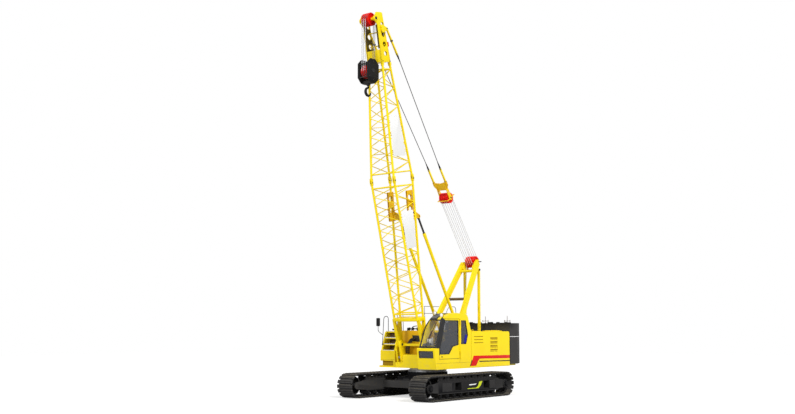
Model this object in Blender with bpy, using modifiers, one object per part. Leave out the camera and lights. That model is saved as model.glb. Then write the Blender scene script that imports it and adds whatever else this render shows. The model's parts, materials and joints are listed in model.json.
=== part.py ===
"""Crawler crane with a lattice boom, in metres, +Z up.

The machine frame has X forward along the boom, Y to the left, where the cab is, and Z up. Its slewing axis stands
at X = Y = 0 and the ground is at Z = 0. The boom frame has X along the boom from its foot pin, Y to the left and Z
on the boom's upper side, which faces the stays. The last step slides the whole machine along X, so that the origin
lies below the middle of its outline.
"""

import math

import bmesh
import bpy
from mathutils import Matrix, Vector

# Fits between neighbouring pieces.
SEAT_GAP = 0.0003
PIN_GAP = 0.0005
RUN_GAP = 0.006
CUT_OVERRUN = 0.02
WELD_DISTANCE = 0.00002
ROUND_SIDES = 12
FINE_SIDES = 16
LARGE_SIDES = 32
BELT_STEPS = 5
SHARP_ANGLE_DEG = 32.0
FLAT_ANGLE = 0.0005
HALF_STEP_SHARE = 0.5

# Crawlers.
TRACK_GAUGE = 3.54
WHEEL_BASE = 5.0
TRACK_HEIGHT = 0.95
SHOE_WIDTH = 0.76
SHOE_PITCH = 0.203
SHOE_THICKNESS = 0.05
SHOE_NOTCH_DEPTH = 0.028
SHOE_GAP_LENGTH = 0.034
LINK_WIDTH = 0.26
LINK_DEPTH = 0.07
END_STEPS = 12
WHEEL_WIDTH = 0.20
AXLE_RADIUS = 0.07
SPROCKET_TEETH = 13
TOOTH_DEPTH = 0.045
# One tooth as shares of its pitch and of its depth.
TOOTH_SHARES = ((0.0, 0.0), (0.24, 0.0), (0.42, 1.0), (0.58, 1.0), (0.76, 0.0))
HUB_RADIUS = 0.17
HUB_REACH = 0.10
FRAME_WIDTH = 0.50
FRAME_BOTTOM = 0.27
FRAME_TOP = 0.72
FRAME_LENGTH = 3.96
FORK_PLATE = 0.05
FORK_NOSE = 0.13
ROLLER_RADIUS = 0.105
ROLLER_WIDTH = 0.36
ROLLER_COUNT = 9
ROLLER_PITCH = 0.44
CARRIER_RADIUS = 0.075
CARRIER_OFFSET = 0.86
CRAWLER_RETRACTION = 0.45

# Carbody between the crawlers.
BODY_FRONT = 0.86
BODY_REAR = -1.30
BODY_HALF_WIDTH = 0.84
BODY_BOTTOM = 0.40
BODY_TOP = 0.80
BEAM_FRONT_X = 0.72
BEAM_REAR_X = -1.16
BEAM_LENGTH = 0.40
BEAM_BOTTOM = 0.36
BEAM_TOP = 0.64
BEAM_INSET = 0.17
BEAM_CLEARANCE = 0.006
PEDESTAL_RADIUS = 0.80
PEDESTAL_TOP = 0.98
RING_RADIUS = 0.70
RING_BORE = 0.52
RING_FLANGE_RADIUS = 0.76

# Slewing platform: a box spine between two side decks, with a cover in front and a bulkhead behind the boom's feet.
DECK_BOTTOM = 1.14
DECK_THICKNESS = 0.07
DECK_HALF_WIDTH = 1.68
DECK_FRONT = 0.98
DECK_REAR = -4.20
SPINE_HALF_WIDTH = 0.82
SPINE_TOP = 1.36
SPINE_FRONT = 1.02
SPINE_REAR = -3.42
TAIL_HALF_WIDTH = 1.45
COVER_REAR = 0.70
COVER_TOP = 1.66
COVER_HALF_WIDTH = 0.46
BULKHEAD_X = 0.62
BULKHEAD_TOP = 2.59
BULKHEAD_PLATE = 0.03
HATCH_HALF_WIDTH = 0.27
HATCH_BOTTOM = 2.15
HATCH_TOP = 2.41
TIE_BEAM_X = 0.90
TIE_BEAM_Z = 2.04
TIE_BEAM_SIZE = 0.09

# Boom foot and its bracket on the platform.
FOOT_X = 1.0
FOOT_Z = 2.05
FOOT_SPREAD = 0.60
FOOT_PIN_RADIUS = 0.055
FOOT_PIN_SIDES = 24
FOOT_EYE_RADIUS = 0.13
FOOT_EYE_WIDTH = 0.12
FOOT_CHEEK = 0.05
FOOT_CHEEK_RADIUS = 0.17
CHEEK_REAR = -0.55

# Boom.
BOOM_REST_DEG = 79.0
BOOM_LOW_DEG = 30.0
BOOM_HIGH_DEG = 80.0
CHORD_RADIUS = 0.045
LACE_RADIUS = 0.021
BATTEN_RADIUS = 0.028
LACE_SIDES = 6
CHORD_SIDES = 8
FOOT_SECTION_LENGTH = 6.5
TOP_SECTION_END = 11.07
BOX_BEAM_AT = 1.01
BOX_BEAM_HEIGHT = 0.12
LEG_OPENING_START = 0.54
LEG_OPENING_END = 0.93
LEG_OPENING_HALF = 0.13
BOOM_HALF_WIDTH = 0.57
JOINT_HALF_DEPTH = 0.575
FOOT_HALF_DEPTH = 0.185
TIP_HALF_WIDTH = 0.34
TIP_UNDERSIDE = -0.14
TIP_UPPERSIDE = 0.295
JOINT_LUG = 0.10
JOINT_LUG_HALF = 0.058
FOOT_SECTION_BAYS = 9
TOP_SECTION_BAYS = 7
FACE_MARGIN = 0.22
# The four faces of a section, each as the (side, top) of its two chords, and the end where its lacing starts.
FACES = (((1, -1), (1, 1), 0), ((-1, -1), (-1, 1), 1), ((-1, 1), (1, 1), 0), ((-1, -1), (1, -1), 1))
# Blank sign boards on the left flank, as name, start and end in shares of the lattice's length.
BOARD_SHARES = (("upper", 0.668, 0.808), ("lower", 0.343, 0.474))
BOARD_THICKNESS = 0.012

# Backstop plates and struts.
STOP_AT = 4.95
STOP_OFFSET = 0.75
STOP_PLATE_START = 4.86
STOP_PLATE_END = 6.02
STOP_PLATE_DEPTH = 0.34
STOP_PLATE_WIDTH = 0.07
STOP_HOLE_RADIUS = 0.115
STOP_HOLE_SHARES = (0.36, 0.76)
STOP_PIN_RADIUS = 0.035
STOP_EYE_RADIUS = 0.07
STOP_ROD_EYE_RADIUS = 0.065
STOP_NECK = 0.105
STOP_BASE_X = -1.70
STOP_BASE_Z = 2.25
STOP_SPREAD = 0.475
STOP_TUBE_RADIUS = 0.062
STOP_TUBE_WALL = 0.012
STOP_ROD_RADIUS = 0.040
STOP_TUBE_LENGTH = 4.86
STOP_ROD_INSERT = 2.15
STOP_EYE_WIDTH = 0.07
STOP_POST_WIDTH = 0.30

# Boom head.
HEAD_START = TOP_SECTION_END + SEAT_GAP
HEAD_END = 13.02
HEAD_PLATE = 0.035
HEAD_HALF_START = 0.375
HEAD_SHEAVE_AT = 12.77
HEAD_SHEAVE_DROP = 0.25
HEAD_SHEAVE_RADIUS = 0.26
HEAD_SHEAVE_BORE = 0.06
SHEAVE_PITCH = 0.085
HEAD_SHEAVE_COUNT = 4
GROOVE_DEPTH = 0.035
RIM_SHARE = 0.16
ROPE_RADIUS = 0.012
# Lightening holes, as shares of the head's length and of the largest radius.
HEAD_HOLE_RADIUS = 0.115
HEAD_HOLE_SHARES = ((0.17, 0.78), (0.36, 0.85), (0.56, 0.92), (0.76, 0.70))
CROWN_LENGTH = 0.16
CROWN_HEIGHT = 0.12
CROWN_PLATE = 0.05
STAY_LUG_AT = 12.36
STAY_LUG_OFFSET = 0.255
STAY_LUG_RADIUS = 0.085
STAY_LUG_PLATE = 0.03
STAY_PIN_RADIUS = 0.028

# Gantry.
MAST_FOOT_X = -0.70
MAST_FOOT_Z = 1.95
MAST_FOOT_SPREAD = 0.745
MAST_FOOT_GAP = 0.02
MAST_TOP_X = -3.02
MAST_TOP_Z = 5.42
MAST_TOP_SPREAD = 0.36
MAST_LEG_WIDTH = 0.15
MAST_LEG_DEPTH = 0.20
MAST_HEAD_PLATE = 0.085
MAST_BAR_SHARE = 0.556
MAST_BAR_RADIUS = 0.055
MAST_TOP_BAR_SHARE = 0.90
GANTRY_SHEAVE_X = -3.15
GANTRY_SHEAVE_Z = 5.48
GANTRY_SHEAVE_RADIUS = 0.245
GANTRY_SHEAVE_COUNT = 4
GANTRY_SHEAVE_PITCH = 0.105
GANTRY_SHAFT_RADIUS = 0.05
BACK_LEG_X = -3.12
BACK_LEG_SPREAD = 0.36
BACK_LEG_HALF = 0.045
BACK_LEG_BOTTOM = 2.05
BACK_PIN_Z = 5.14
BACK_PIN_RADIUS = 0.028
BACK_EYE_RADIUS = 0.06
BACK_POST_HALF = 0.09

# Bridle and pendants.
BRIDLE_AT = 3.17
BRIDLE_SHEAVE_RADIUS = 0.225
BRIDLE_LINK_LENGTH = 0.66
YOKE_HALF = 0.50
YOKE_PLATE = 0.05
YOKE_DEPTH = 0.16
YOKE_THROAT = 0.36
YOKE_SAG = 0.05
YOKE_END = 0.09
YOKE_CURVE_RADIUS = 0.60
PENDANT_SPREAD = 0.455
PENDANT_RADIUS = 0.016
SOCKET_RADIUS = 0.034
SOCKET_LENGTH = 0.32
LINK_BAR_LENGTH = 0.62
LINK_BAR_RADIUS = 0.032

# Hook block.
BLOCK_DROP = 2.06
BLOCK_SHEAVE_RADIUS = 0.25
BLOCK_SHAFT_RADIUS = 0.05
CHEEK_HALF_WIDTH = 0.34
CHEEK_HALF_HEIGHT = 0.47
CHEEK_CHAMFER = 0.19
CHEEK_THICKNESS = 0.045
BLOCK_HALF_THICKNESS = 0.25
CROSSHEAD_DROP = 0.02
CROSSHEAD_INSET = 0.01
SWIVEL_RADIUS = 0.09
HOOK_BOWL_RADIUS = 0.15
HOOK_THICKNESS = 0.052
HOOK_SHANK = 0.16
HOIST_TRAVEL = 10.9
# Places round the hook's bowl as shares of a full turn from its top, and the thickness there.
HOOK_SHARES = (
    (0.03, 0.85),
    (0.12, 0.95),
    (0.22, 1.0),
    (0.32, 1.05),
    (0.42, 1.1),
    (0.52, 1.05),
    (0.62, 0.9),
    (0.70, 0.7),
    (0.77, 0.4),
)
HOOK_NECK_SHARE = 0.8

# Winches.
DRUM_RADIUS = 0.24
DRUM_FLANGE_RADIUS = 0.36
DRUM_FLANGE = 0.03
DRUM_HALF_WIDTH = 0.36
DRUM_Z = 1.80
DRUM_STAND = 0.05
MAIN_WINCH_X = 0.15
AUXILIARY_WINCH_X = -0.75
LUFFING_WINCH_X = -2.45
WINCHES = (
    ("winch_main", MAIN_WINCH_X),
    ("winch_auxiliary", AUXILIARY_WINCH_X),
    ("winch_luffing", LUFFING_WINCH_X),
)

# Cab. Its outer and inner sides share a floor, a sill and a roof, and have unlike brows.
CAB_WIDTH = 0.85
CAB_OUTER_Y = DECK_HALF_WIDTH
CAB_INNER_Y = CAB_OUTER_Y - CAB_WIDTH
CAB_WALL = 0.045
CAB_BOTTOM = DECK_BOTTOM + DECK_THICKNESS
CAB_REAR = -0.64
SKIRT_FRONT = 1.65
CAB_FRONT = 1.75
SILL_X = 1.59
SILL_Z = 1.94
SILL_ROUND = 0.03
BROW_X = 1.22
BROW_Z = 3.10
BROW_RADIUS = 0.10
INNER_BROW_X = 1.10
INNER_BROW_Z = 3.05
INNER_BROW_RADIUS = 1.40
ROOF_X = 0.36
ROOF_Z = 3.28
ROOF_ROUND = 0.60
ROOF_REAR_X = -0.40
ROOF_REAR_Z = 3.21
ROOF_REAR_RADIUS = 0.16
WAIST_Z = 2.58
CAB_STEPS = 6
# Windows and door.
WINDOW_RAIL = 0.075
GLASS = 0.008
GLASS_ROUND = 0.06
SCREEN_REAR = 0.80
SCREEN_TOP = 3.02
LOW_WINDOW_BOTTOM = 1.58
LOW_WINDOW_TOP = 1.82
LOW_WINDOW_RAIL = 0.10
PILLAR_WIDTH = 0.13
PILLAR_TOP_WIDTH = 0.09
DOOR_BOTTOM = 1.52
DOOR_TOP = 3.05
DOOR_REAR = 0.13
DOOR_FRONT = SILL_X - PILLAR_WIDTH
DOOR_GAP = 0.008
DOOR_FRAME = 0.06
GLASS_SILL_Z = 2.05
GLASS_STEP_X = 0.58
GLASS_STEP_Z = 1.98
GLASS_DIP_X = 0.82
GLASS_DIP_Z = 1.70
QUARTER_FRONT = 0.05
QUARTER_TOP_REAR = -0.28
QUARTER_REAR = -0.43
QUARTER_MIDDLE_Z = 2.42
QUARTER_LOW_REAR = -0.30
QUARTER_BOTTOM = 2.07
INNER_WINDOW_FRONT = 1.30
DOOR_HINGE_OUT = 0.024
DOOR_HINGE_RADIUS = 0.018
DOOR_SWING_DEG = 150.0
HINGE_X = 0.10
HINGE_LOW = 1.80
HINGE_HIGH = 2.80
# Lamps on the roof's front edge.
LAMP_RADIUS = 0.055
LAMP_LENGTH = 0.09
LAMP_STAND = 0.02
OUTER_LAMP_X = 1.02
OUTER_LAMP_Y = 1.50
OUTER_LAMP_Z = 3.18
INNER_LAMP_X = 0.70
INNER_LAMP_Y = 0.95
INNER_LAMP_Z = 3.27
LAMP_STEM = 0.14
# Driver's seat.
SEAT_X = 0.25
SEAT_WIDTH = 0.46
SEAT_DEPTH = 0.46
SEAT_BACK = 0.12
SEAT_TOP = 1.85
SEAT_BACK_TOP = 2.62

# Machinery houses.
HOUSE_FRONT = -0.66
HOUSE_REAR = -3.40
HOUSE_TOP = 2.55
HOUSE_INNER_Y = 0.95
HOUSE_WALL = 0.05
HOUSE_CORNER = 0.10
ENGINE_LENGTH = 1.15
ENGINE_SIDE_GAP = 0.06
ENGINE_HEIGHT = 0.92
ENGINE_REAR = -3.20
EXHAUST_RADIUS = 0.06
EXHAUST_HEIGHT = 0.42
# Air slots near the cab and rows of louvres near the rear, in each house's outer wall.
SLOT_FRONT = -0.84
SLOT_LENGTH = 0.64
SLOT_TOP = 2.37
SLOT_PITCH = 0.12
SLOT_HEIGHT = 0.03
SLOT_COUNT = 3
LOUVRE_FRONT = -1.99
LOUVRE_LENGTH = 0.52
LOUVRE_TOP = 2.31
LOUVRE_PITCH = 0.155
LOUVRE_HEIGHT = 0.10
LOUVRE_COUNT = 4
LOUVRE_BLADE = 0.016

# Counterweight.
WEIGHT_FRONT = -3.45
WEIGHT_REAR = -4.60
WEIGHT_HALF_WIDTH = DECK_HALF_WIDTH
WEIGHT_REAR_HALF_WIDTH = 1.40
WEIGHT_BEVEL_X = -4.0
WEIGHT_HEIGHT = 1.68
# Where each slab starts and ends, as shares of the stack's height.
WEIGHT_SHARES = (
    ("counterweight_lower", 0.0, 0.31),
    ("counterweight_middle", 0.31, 0.667),
    ("counterweight_upper", 0.667, 1.0),
)
LIFT_LUG_LENGTH = 0.16
LIFT_LUG_HEIGHT = 0.05
LIFT_LUG_WIDTH = 0.07
LIFT_LUG_INSET = 0.10
# Places of the lifting lugs across the slab, as shares of its half width.
LIFT_LUG_SHARES = (-0.84, -0.42, 0.42, 0.84)

# Step tower at the right front, a steep ladder of open treads between side plates, and the mirror on its rail.
TOWER_FRONT = 0.95
TOWER_REAR = -0.62
TOWER_INNER_Y = -0.90
TOWER_OUTER_Y = -1.65
TOWER_PLATE = 0.08
TOWER_LOW_TOP = 1.80
TOWER_SLOPE_FOOT = 0.91
TOWER_SLOPE_TOP = 0.66
TOWER_CORNER = 0.08
TREAD_COUNT = 3
TREAD_THICKNESS = 0.04
TREAD_REAR = 0.42
TOE_REAR = 0.80
TOE_TOP = 1.40
RAIL_RADIUS = 0.014
RAIL_INSET = 0.05
RAIL_FOOT_X = 0.89
RAIL_FOOT_Z = 2.04
RAIL_FRONT = 0.80
RAIL_REAR = 0.52
RAIL_TOP = 3.16
RAIL_ROUND = 0.11
MIRROR_ARM_Z = 2.40
MIRROR_ARM_RISE = 0.16
MIRROR_ARM_REACH = 0.24
MIRROR_OUT = 0.10
MIRROR_WIDTH = 0.17
MIRROR_HEIGHT = 0.33
MIRROR_DEPTH = 0.05
MIRROR_Z = 2.76

# Paint, as red, green, blue, roughness and metallic value.
PAINTS = {
    "yellow": (0.87, 0.62, 0.02, 0.40, 0.0),
    "dark_grey": (0.06, 0.065, 0.075, 0.55, 0.0),
    "black": (0.02, 0.02, 0.022, 0.50, 0.0),
    "red": (0.62, 0.02, 0.02, 0.40, 0.0),
    "white": (0.85, 0.85, 0.85, 0.45, 0.0),
    "steel": (0.35, 0.35, 0.36, 0.40, 0.9),
    "rubber": (0.05, 0.05, 0.05, 0.80, 0.0),
    "glass": (0.10, 0.12, 0.13, 0.10, 0.0),
    "track": (0.07, 0.07, 0.065, 0.60, 0.5),
}


# Shape tools. Each returns a mesh object that stands on the bench until a node takes it.


def clear_scene():
    for obj in list(bpy.data.objects):
        bpy.data.objects.remove(obj)


def new_collection(name):
    collection = bpy.data.collections.new(name)
    bpy.context.scene.collection.children.link(collection)
    return collection


def bench_object(name, data, matrix=Matrix.Identity(4)):
    obj = bpy.data.objects.new(name, data)
    obj.matrix_world = matrix
    BENCH.objects.link(obj)
    return obj


def from_bmesh(name, bm):
    bmesh.ops.recalc_face_normals(bm, faces=bm.faces)
    mesh = bpy.data.meshes.new(name)
    bm.to_mesh(mesh)
    bm.free()
    return bench_object(name, mesh)


def settled(obj):
    """The object as a plain mesh in the same place, its modifiers applied and its loose caps welded."""
    bpy.context.view_layer.update()
    graph = bpy.context.evaluated_depsgraph_get()
    mesh = bpy.data.meshes.new_from_object(obj.evaluated_get(graph))
    mesh.transform(obj.matrix_world)
    name = obj.name
    bpy.data.objects.remove(obj)
    bm = bmesh.new()
    bm.from_mesh(mesh)
    bmesh.ops.remove_doubles(bm, verts=bm.verts, dist=WELD_DISTANCE)
    bm.to_mesh(mesh)
    bm.free()
    return bench_object(name, mesh)


def combined(operation, first, others, solver="EXACT"):
    if not others:
        return first
    tools = bpy.data.collections.new("tools")
    for other in others:
        tools.objects.link(other)
    modifier = first.modifiers.new(operation.lower(), "BOOLEAN")
    modifier.operation = operation
    modifier.operand_type = "COLLECTION"
    modifier.collection = tools
    modifier.solver = solver
    result = settled(first)
    for other in others:
        bpy.data.objects.remove(other)
    bpy.data.collections.remove(tools)
    return result


def union(first, *others):
    return combined("UNION", first, others)


def cut(first, *others):
    return combined("DIFFERENCE", first, others)


def box(low, high):
    low, high = Vector(low), Vector(high)
    bm = bmesh.new()
    bmesh.ops.create_cube(bm, size=1)
    bmesh.ops.scale(bm, vec=high - low, verts=bm.verts)
    bmesh.ops.translate(bm, vec=(high + low) / 2, verts=bm.verts)
    return from_bmesh("box", bm)


def along(start, end):
    """A matrix that takes the Z axis, centred on the origin, to the line from start to end."""
    start, end = Vector(start), Vector(end)
    turn = Vector((0, 0, 1)).rotation_difference(end - start).to_matrix().to_4x4()
    return Matrix.Translation((start + end) / 2) @ turn


def rod(start, end, radius, sides=ROUND_SIDES, end_radius=None):
    length = (Vector(end) - Vector(start)).length
    bm = bmesh.new()
    bmesh.ops.create_cone(
        bm,
        cap_ends=True,
        segments=sides,
        radius1=radius,
        radius2=radius if end_radius is None else end_radius,
        depth=length,
        matrix=along(start, end),
    )
    return from_bmesh("rod", bm)


def pin_y(x, z, low, high, radius, sides=ROUND_SIDES):
    return rod((x, low, z), (x, high, z), radius, sides)


def bar(start, end, width, depth):
    """A square bar from start to end, width across Y and depth in the X-Z plane."""
    start, end = Vector(start), Vector(end)
    run = (end - start).normalized()
    side = Vector((0, 1, 0))
    side = (side - run * side.dot(run)).normalized()
    turn = Matrix((run, side, run.cross(side))).transposed().to_4x4()
    bm = bmesh.new()
    bmesh.ops.create_cube(bm, size=1)
    bmesh.ops.scale(bm, vec=((end - start).length, width, depth), verts=bm.verts)
    bmesh.ops.transform(bm, matrix=Matrix.Translation((start + end) / 2) @ turn, verts=bm.verts)
    return from_bmesh("bar", bm)


PLANE_TURNS = {
    "X": Matrix(((0, 0, 1, 0), (1, 0, 0, 0), (0, 1, 0, 0), (0, 0, 0, 1))),
    "Y": Matrix(((1, 0, 0, 0), (0, 0, -1, 0), (0, 1, 0, 0), (0, 0, 0, 1))),
    "Z": Matrix.Identity(4),
}


def slab(axis, outline, low, high, holes=()):
    """A flat outline, drawn in the plane square to the axis, that fills the space from low to high along it."""
    curve = bpy.data.curves.new("slab", "CURVE")
    curve.dimensions = "2D"
    curve.fill_mode = "BOTH"
    curve.extrude = (high - low) / 2
    for loop in (outline, *holes):
        spline = curve.splines.new("POLY")
        spline.points.add(len(loop) - 1)
        for point, (first, second) in zip(spline.points, loop):
            point.co = (first, second, 0, 1)
        spline.use_cyclic_u = True
    offset = Vector((0, 0, 0))
    offset["XYZ".index(axis)] = (high + low) / 2
    matrix = Matrix.Translation(offset) @ PLANE_TURNS[axis]
    shape = settled(bench_object("slab", curve, matrix))
    bm = bmesh.new()
    bm.from_mesh(shape.data)
    bmesh.ops.recalc_face_normals(bm, faces=bm.faces)
    bm.to_mesh(shape.data)
    bm.free()
    return shape


def pipe(points, radius, resolution=2):
    curve = bpy.data.curves.new("pipe", "CURVE")
    curve.dimensions = "3D"
    curve.bevel_depth = radius
    curve.bevel_resolution = resolution
    curve.use_fill_caps = True
    spline = curve.splines.new("POLY")
    spline.points.add(len(points) - 1)
    for point, place in zip(spline.points, points):
        point.co = (*place[:3], 1)
        if len(place) > 3:
            point.radius = place[3]
    return settled(bench_object("pipe", curve))


def turned(profile, matrix, steps=FINE_SIDES):
    """A closed profile of (radius, height) points, from its outer side's top downwards, turned about Z."""
    bm = bmesh.new()
    verts = [bm.verts.new((radius, 0, height)) for radius, height in profile]
    for first, second in zip(verts, verts[1:] + verts[:1]):
        bm.edges.new((first, second))
    mesh = bpy.data.meshes.new("turned")
    bm.to_mesh(mesh)
    bm.free()
    obj = bench_object("turned", mesh, matrix)
    screw = obj.modifiers.new("turn", "SCREW")
    screw.steps = steps
    screw.render_steps = steps
    screw.use_merge_vertices = True
    screw.merge_threshold = WELD_DISTANCE
    return settled(obj)


def ring_points(x, z, radius, sides=ROUND_SIDES, turn_share=0.0):
    steps = [2 * math.pi * (step + turn_share) / sides for step in range(sides)]
    return [(x + radius * math.cos(angle), z + radius * math.sin(angle)) for angle in steps]


def bore_points(x, z, pin_radius, sides=ROUND_SIDES):
    """A round hole whose flats clear a pin of this radius all round, and face the pin's own edges at rest."""
    return ring_points(x, z, (pin_radius + PIN_GAP) / math.cos(math.pi / sides), sides, HALF_STEP_SHARE)


def rounded(corners, steps=4):
    """An outline with its corners rounded, from (first, second, radius) corners in order."""
    points = []
    count = len(corners)
    for index, (first, second, radius) in enumerate(corners):
        here = Vector((first, second))
        if not radius:
            points.append(tuple(here))
            continue
        to_last = (Vector(corners[index - 1][:2]) - here).normalized()
        to_next = (Vector(corners[(index + 1) % count][:2]) - here).normalized()
        half = to_last.angle(to_next) / 2
        centre = here + (to_last + to_next).normalized() * (radius / math.sin(half))
        start = here + to_last * (radius / math.tan(half)) - centre
        turn = start.angle_signed(here + to_next * (radius / math.tan(half)) - centre)
        for step in range(steps + 1):
            arm = start.copy()
            arm.rotate(Matrix.Rotation(-turn * step / steps, 2))
            points.append(tuple(centre + arm))
    return points


def inset(corners, distance):
    """The (first, second, radius) corners of an anticlockwise outline, moved inwards by a distance."""
    moved_corners = []
    count = len(corners)
    for index, (first, second, radius) in enumerate(corners):
        here = Vector((first, second))
        arrive = (here - Vector(corners[index - 1][:2])).normalized()
        leave = (Vector(corners[(index + 1) % count][:2]) - here).normalized()
        inward = Vector((-arrive.y, arrive.x)) + Vector((-leave.y, leave.x))
        shift = inward * (distance / (1 + arrive.dot(leave)))
        turn = arrive.x * leave.y - arrive.y * leave.x
        if radius:
            radius = max(radius - math.copysign(distance, turn), WELD_DISTANCE)
        moved_corners.append((first + shift.x, second + shift.y, radius))
    return tuple(moved_corners)


def lofted(low_outline, low_y, high_outline, high_y):
    """A solid between two outlines of the X-Z plane with as many points each, at two places along Y."""
    bm = bmesh.new()
    loops = []
    for outline, y in ((low_outline, low_y), (high_outline, high_y)):
        loops.append([bm.verts.new((x, y, z)) for x, z in outline])
    count = len(low_outline)
    for index in range(count):
        following = (index + 1) % count
        bm.faces.new((loops[0][index], loops[0][following], loops[1][following], loops[1][index]))
    bm.faces.new(loops[0])
    bm.faces.new(loops[1])
    bmesh.ops.triangulate(bm, faces=bm.faces)
    return from_bmesh("lofted", bm)


def hull_outline(circles, steps=BELT_STEPS):
    """The outline of a belt round (first, second, radius) circles, given anticlockwise."""
    points = []
    count = len(circles)
    tangents = []
    for index in range(count):
        ax, ay, ar = circles[index]
        bx, by, br = circles[(index + 1) % count]
        run = Vector((bx - ax, by - ay))
        lean = math.asin((ar - br) / run.length)
        tangents.append(math.atan2(run.y, run.x) - math.pi / 2 + lean)
    for index, (x, y, radius) in enumerate(circles):
        start, end = tangents[index - 1], tangents[index]
        sweep = (end - start) % (2 * math.pi)
        for step in range(steps + 1):
            angle = start + sweep * step / steps
            points.append((x + radius * math.cos(angle), y + radius * math.sin(angle)))
    return points


def moved(shape, matrix):
    shape.data.transform(matrix)
    return shape


# Bodies, each an empty on its joint's axis, and the nodes that ride on them.


FRAMES = {}


def body(name, parent, matrix):
    """An empty for a body whose axis stands at this matrix in the machine frame."""
    empty = bpy.data.objects.new("body_" + name, None)
    MACHINE.objects.link(empty)
    FRAMES[name] = matrix
    if parent:
        empty.parent = bpy.data.objects["body_" + parent]
        empty.matrix_basis = FRAMES[parent].inverted() @ matrix
    else:
        empty.matrix_basis = matrix
    return empty


def tidy_faces(mesh):
    """Flat neighbours among the faces become one, and the result is left as triangles."""
    bm = bmesh.new()
    bm.from_mesh(mesh)
    bmesh.ops.dissolve_limit(bm, angle_limit=FLAT_ANGLE, verts=bm.verts, edges=bm.edges)
    bmesh.ops.triangulate(bm, faces=bm.faces)
    bm.to_mesh(mesh)
    bm.free()


def node(name, rides_on, paint, shape, frame=Matrix.Identity(4)):
    """The shape, drawn in the given frame, becomes a node that rides on a body."""
    tidy_faces(shape.data)
    shape.data.transform(FRAMES[rides_on].inverted() @ frame)
    shape.name = name
    shape.data.name = name
    shape.parent = bpy.data.objects["body_" + rides_on]
    BENCH.objects.unlink(shape)
    MACHINE.objects.link(shape)
    shape.data.shade_smooth()
    shape.data.set_sharp_from_angle(angle=math.radians(SHARP_ANGLE_DEG))
    red, green, blue, roughness, metallic = PAINTS[paint]
    material = bpy.data.materials.new(name)
    material.use_nodes = True
    shader = material.node_tree.nodes["Principled BSDF"]
    shader.inputs["Base Color"].default_value = (red, green, blue, 1)
    shader.inputs["Roughness"].default_value = roughness
    shader.inputs["Metallic"].default_value = metallic
    shape.data.materials.clear()
    shape.data.materials.append(material)
    NODE_PAINTS[name] = paint
    return shape


# Crawlers.


def wheel_height():
    return TRACK_HEIGHT / 2


def chain_inside():
    """How deep the chain's inner face lies below the shoes' outer faces."""
    return SHOE_THICKNESS + LINK_DEPTH


def wheel_radius():
    """The reach of a wheel that just clears the flats of the chain round the track's ends."""
    return (TRACK_HEIGHT / 2 - chain_inside()) * math.cos(math.pi / (2 * END_STEPS)) - SEAT_GAP


def loop_point(distance, depth):
    """The point this far along the track loop, counted on the shoes' outer faces, and this deep inside them."""
    straight = WHEEL_BASE
    radius = TRACK_HEIGHT / 2
    half_turn = math.pi * radius
    distance %= 2 * (straight + half_turn)
    inner = radius - depth
    if distance < straight:
        return (distance - straight / 2, wheel_height() + inner)
    distance -= straight
    if distance < half_turn:
        angle = math.pi / 2 - distance / radius
        return (straight / 2 + inner * math.cos(angle), wheel_height() + inner * math.sin(angle))
    distance -= half_turn
    if distance < straight:
        return (straight / 2 - distance, wheel_height() - inner)
    distance -= straight
    angle = -math.pi / 2 - distance / radius
    return (-straight / 2 + inner * math.cos(angle), wheel_height() + inner * math.sin(angle))


def racetrack(depth):
    inner = TRACK_HEIGHT / 2 - depth
    ends = ((-WHEEL_BASE / 2, wheel_height(), inner), (WHEEL_BASE / 2, wheel_height(), inner))
    return hull_outline(ends, END_STEPS)


def track_shape(centre_y):
    length = 2 * WHEEL_BASE + math.pi * TRACK_HEIGHT
    shoes = round(length / SHOE_PITCH)
    pitch = length / shoes
    outline = []
    for shoe in range(shoes):
        start = shoe * pitch
        end = start + pitch - SHOE_GAP_LENGTH
        outline.append(loop_point(start, 0))
        outline.append(loop_point(end, 0))
        outline.append(loop_point(end, SHOE_NOTCH_DEPTH))
        outline.append(loop_point(start + pitch, SHOE_NOTCH_DEPTH))
    half = SHOE_WIDTH / 2
    shoes_band = slab("Y", outline, centre_y - half, centre_y + half, [racetrack(SHOE_THICKNESS)])
    half = LINK_WIDTH / 2
    overlap = (SHOE_NOTCH_DEPTH + SHOE_THICKNESS) / 2
    chain = slab("Y", racetrack(overlap), centre_y - half, centre_y + half, [racetrack(chain_inside())])
    return combined("UNION", shoes_band, [chain], "MANIFOLD")


def wheel_shape(x, centre_y, outline, outward):
    """An idler or a sprocket with its axle, and its hub cover on the outward side."""
    z = wheel_height()
    half = WHEEL_WIDTH / 2
    disc = slab("Y", outline, centre_y - half, centre_y + half)
    reach = FRAME_WIDTH / 2 + HUB_REACH
    axle = pin_y(x, z, centre_y - FRAME_WIDTH / 2, centre_y + FRAME_WIDTH / 2, AXLE_RADIUS)
    start = centre_y + outward * (FRAME_WIDTH / 2 + SEAT_GAP)
    hub = pin_y(x, z, *sorted((start, centre_y + outward * reach)), HUB_RADIUS, FINE_SIDES)
    stem = pin_y(x, z, *sorted((centre_y, start + outward * HUB_REACH / 2)), AXLE_RADIUS)
    return union(disc, axle, hub, stem)


def sprocket_outline(x):
    root = wheel_radius() - TOOTH_DEPTH
    points = []
    for tooth in range(SPROCKET_TEETH):
        for share, radius in TOOTH_SHARES:
            angle = 2 * math.pi * (tooth + share) / SPROCKET_TEETH
            reach = root + TOOTH_DEPTH * radius
            points.append((x + reach * math.cos(angle), wheel_height() + reach * math.sin(angle)))
    return points


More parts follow.
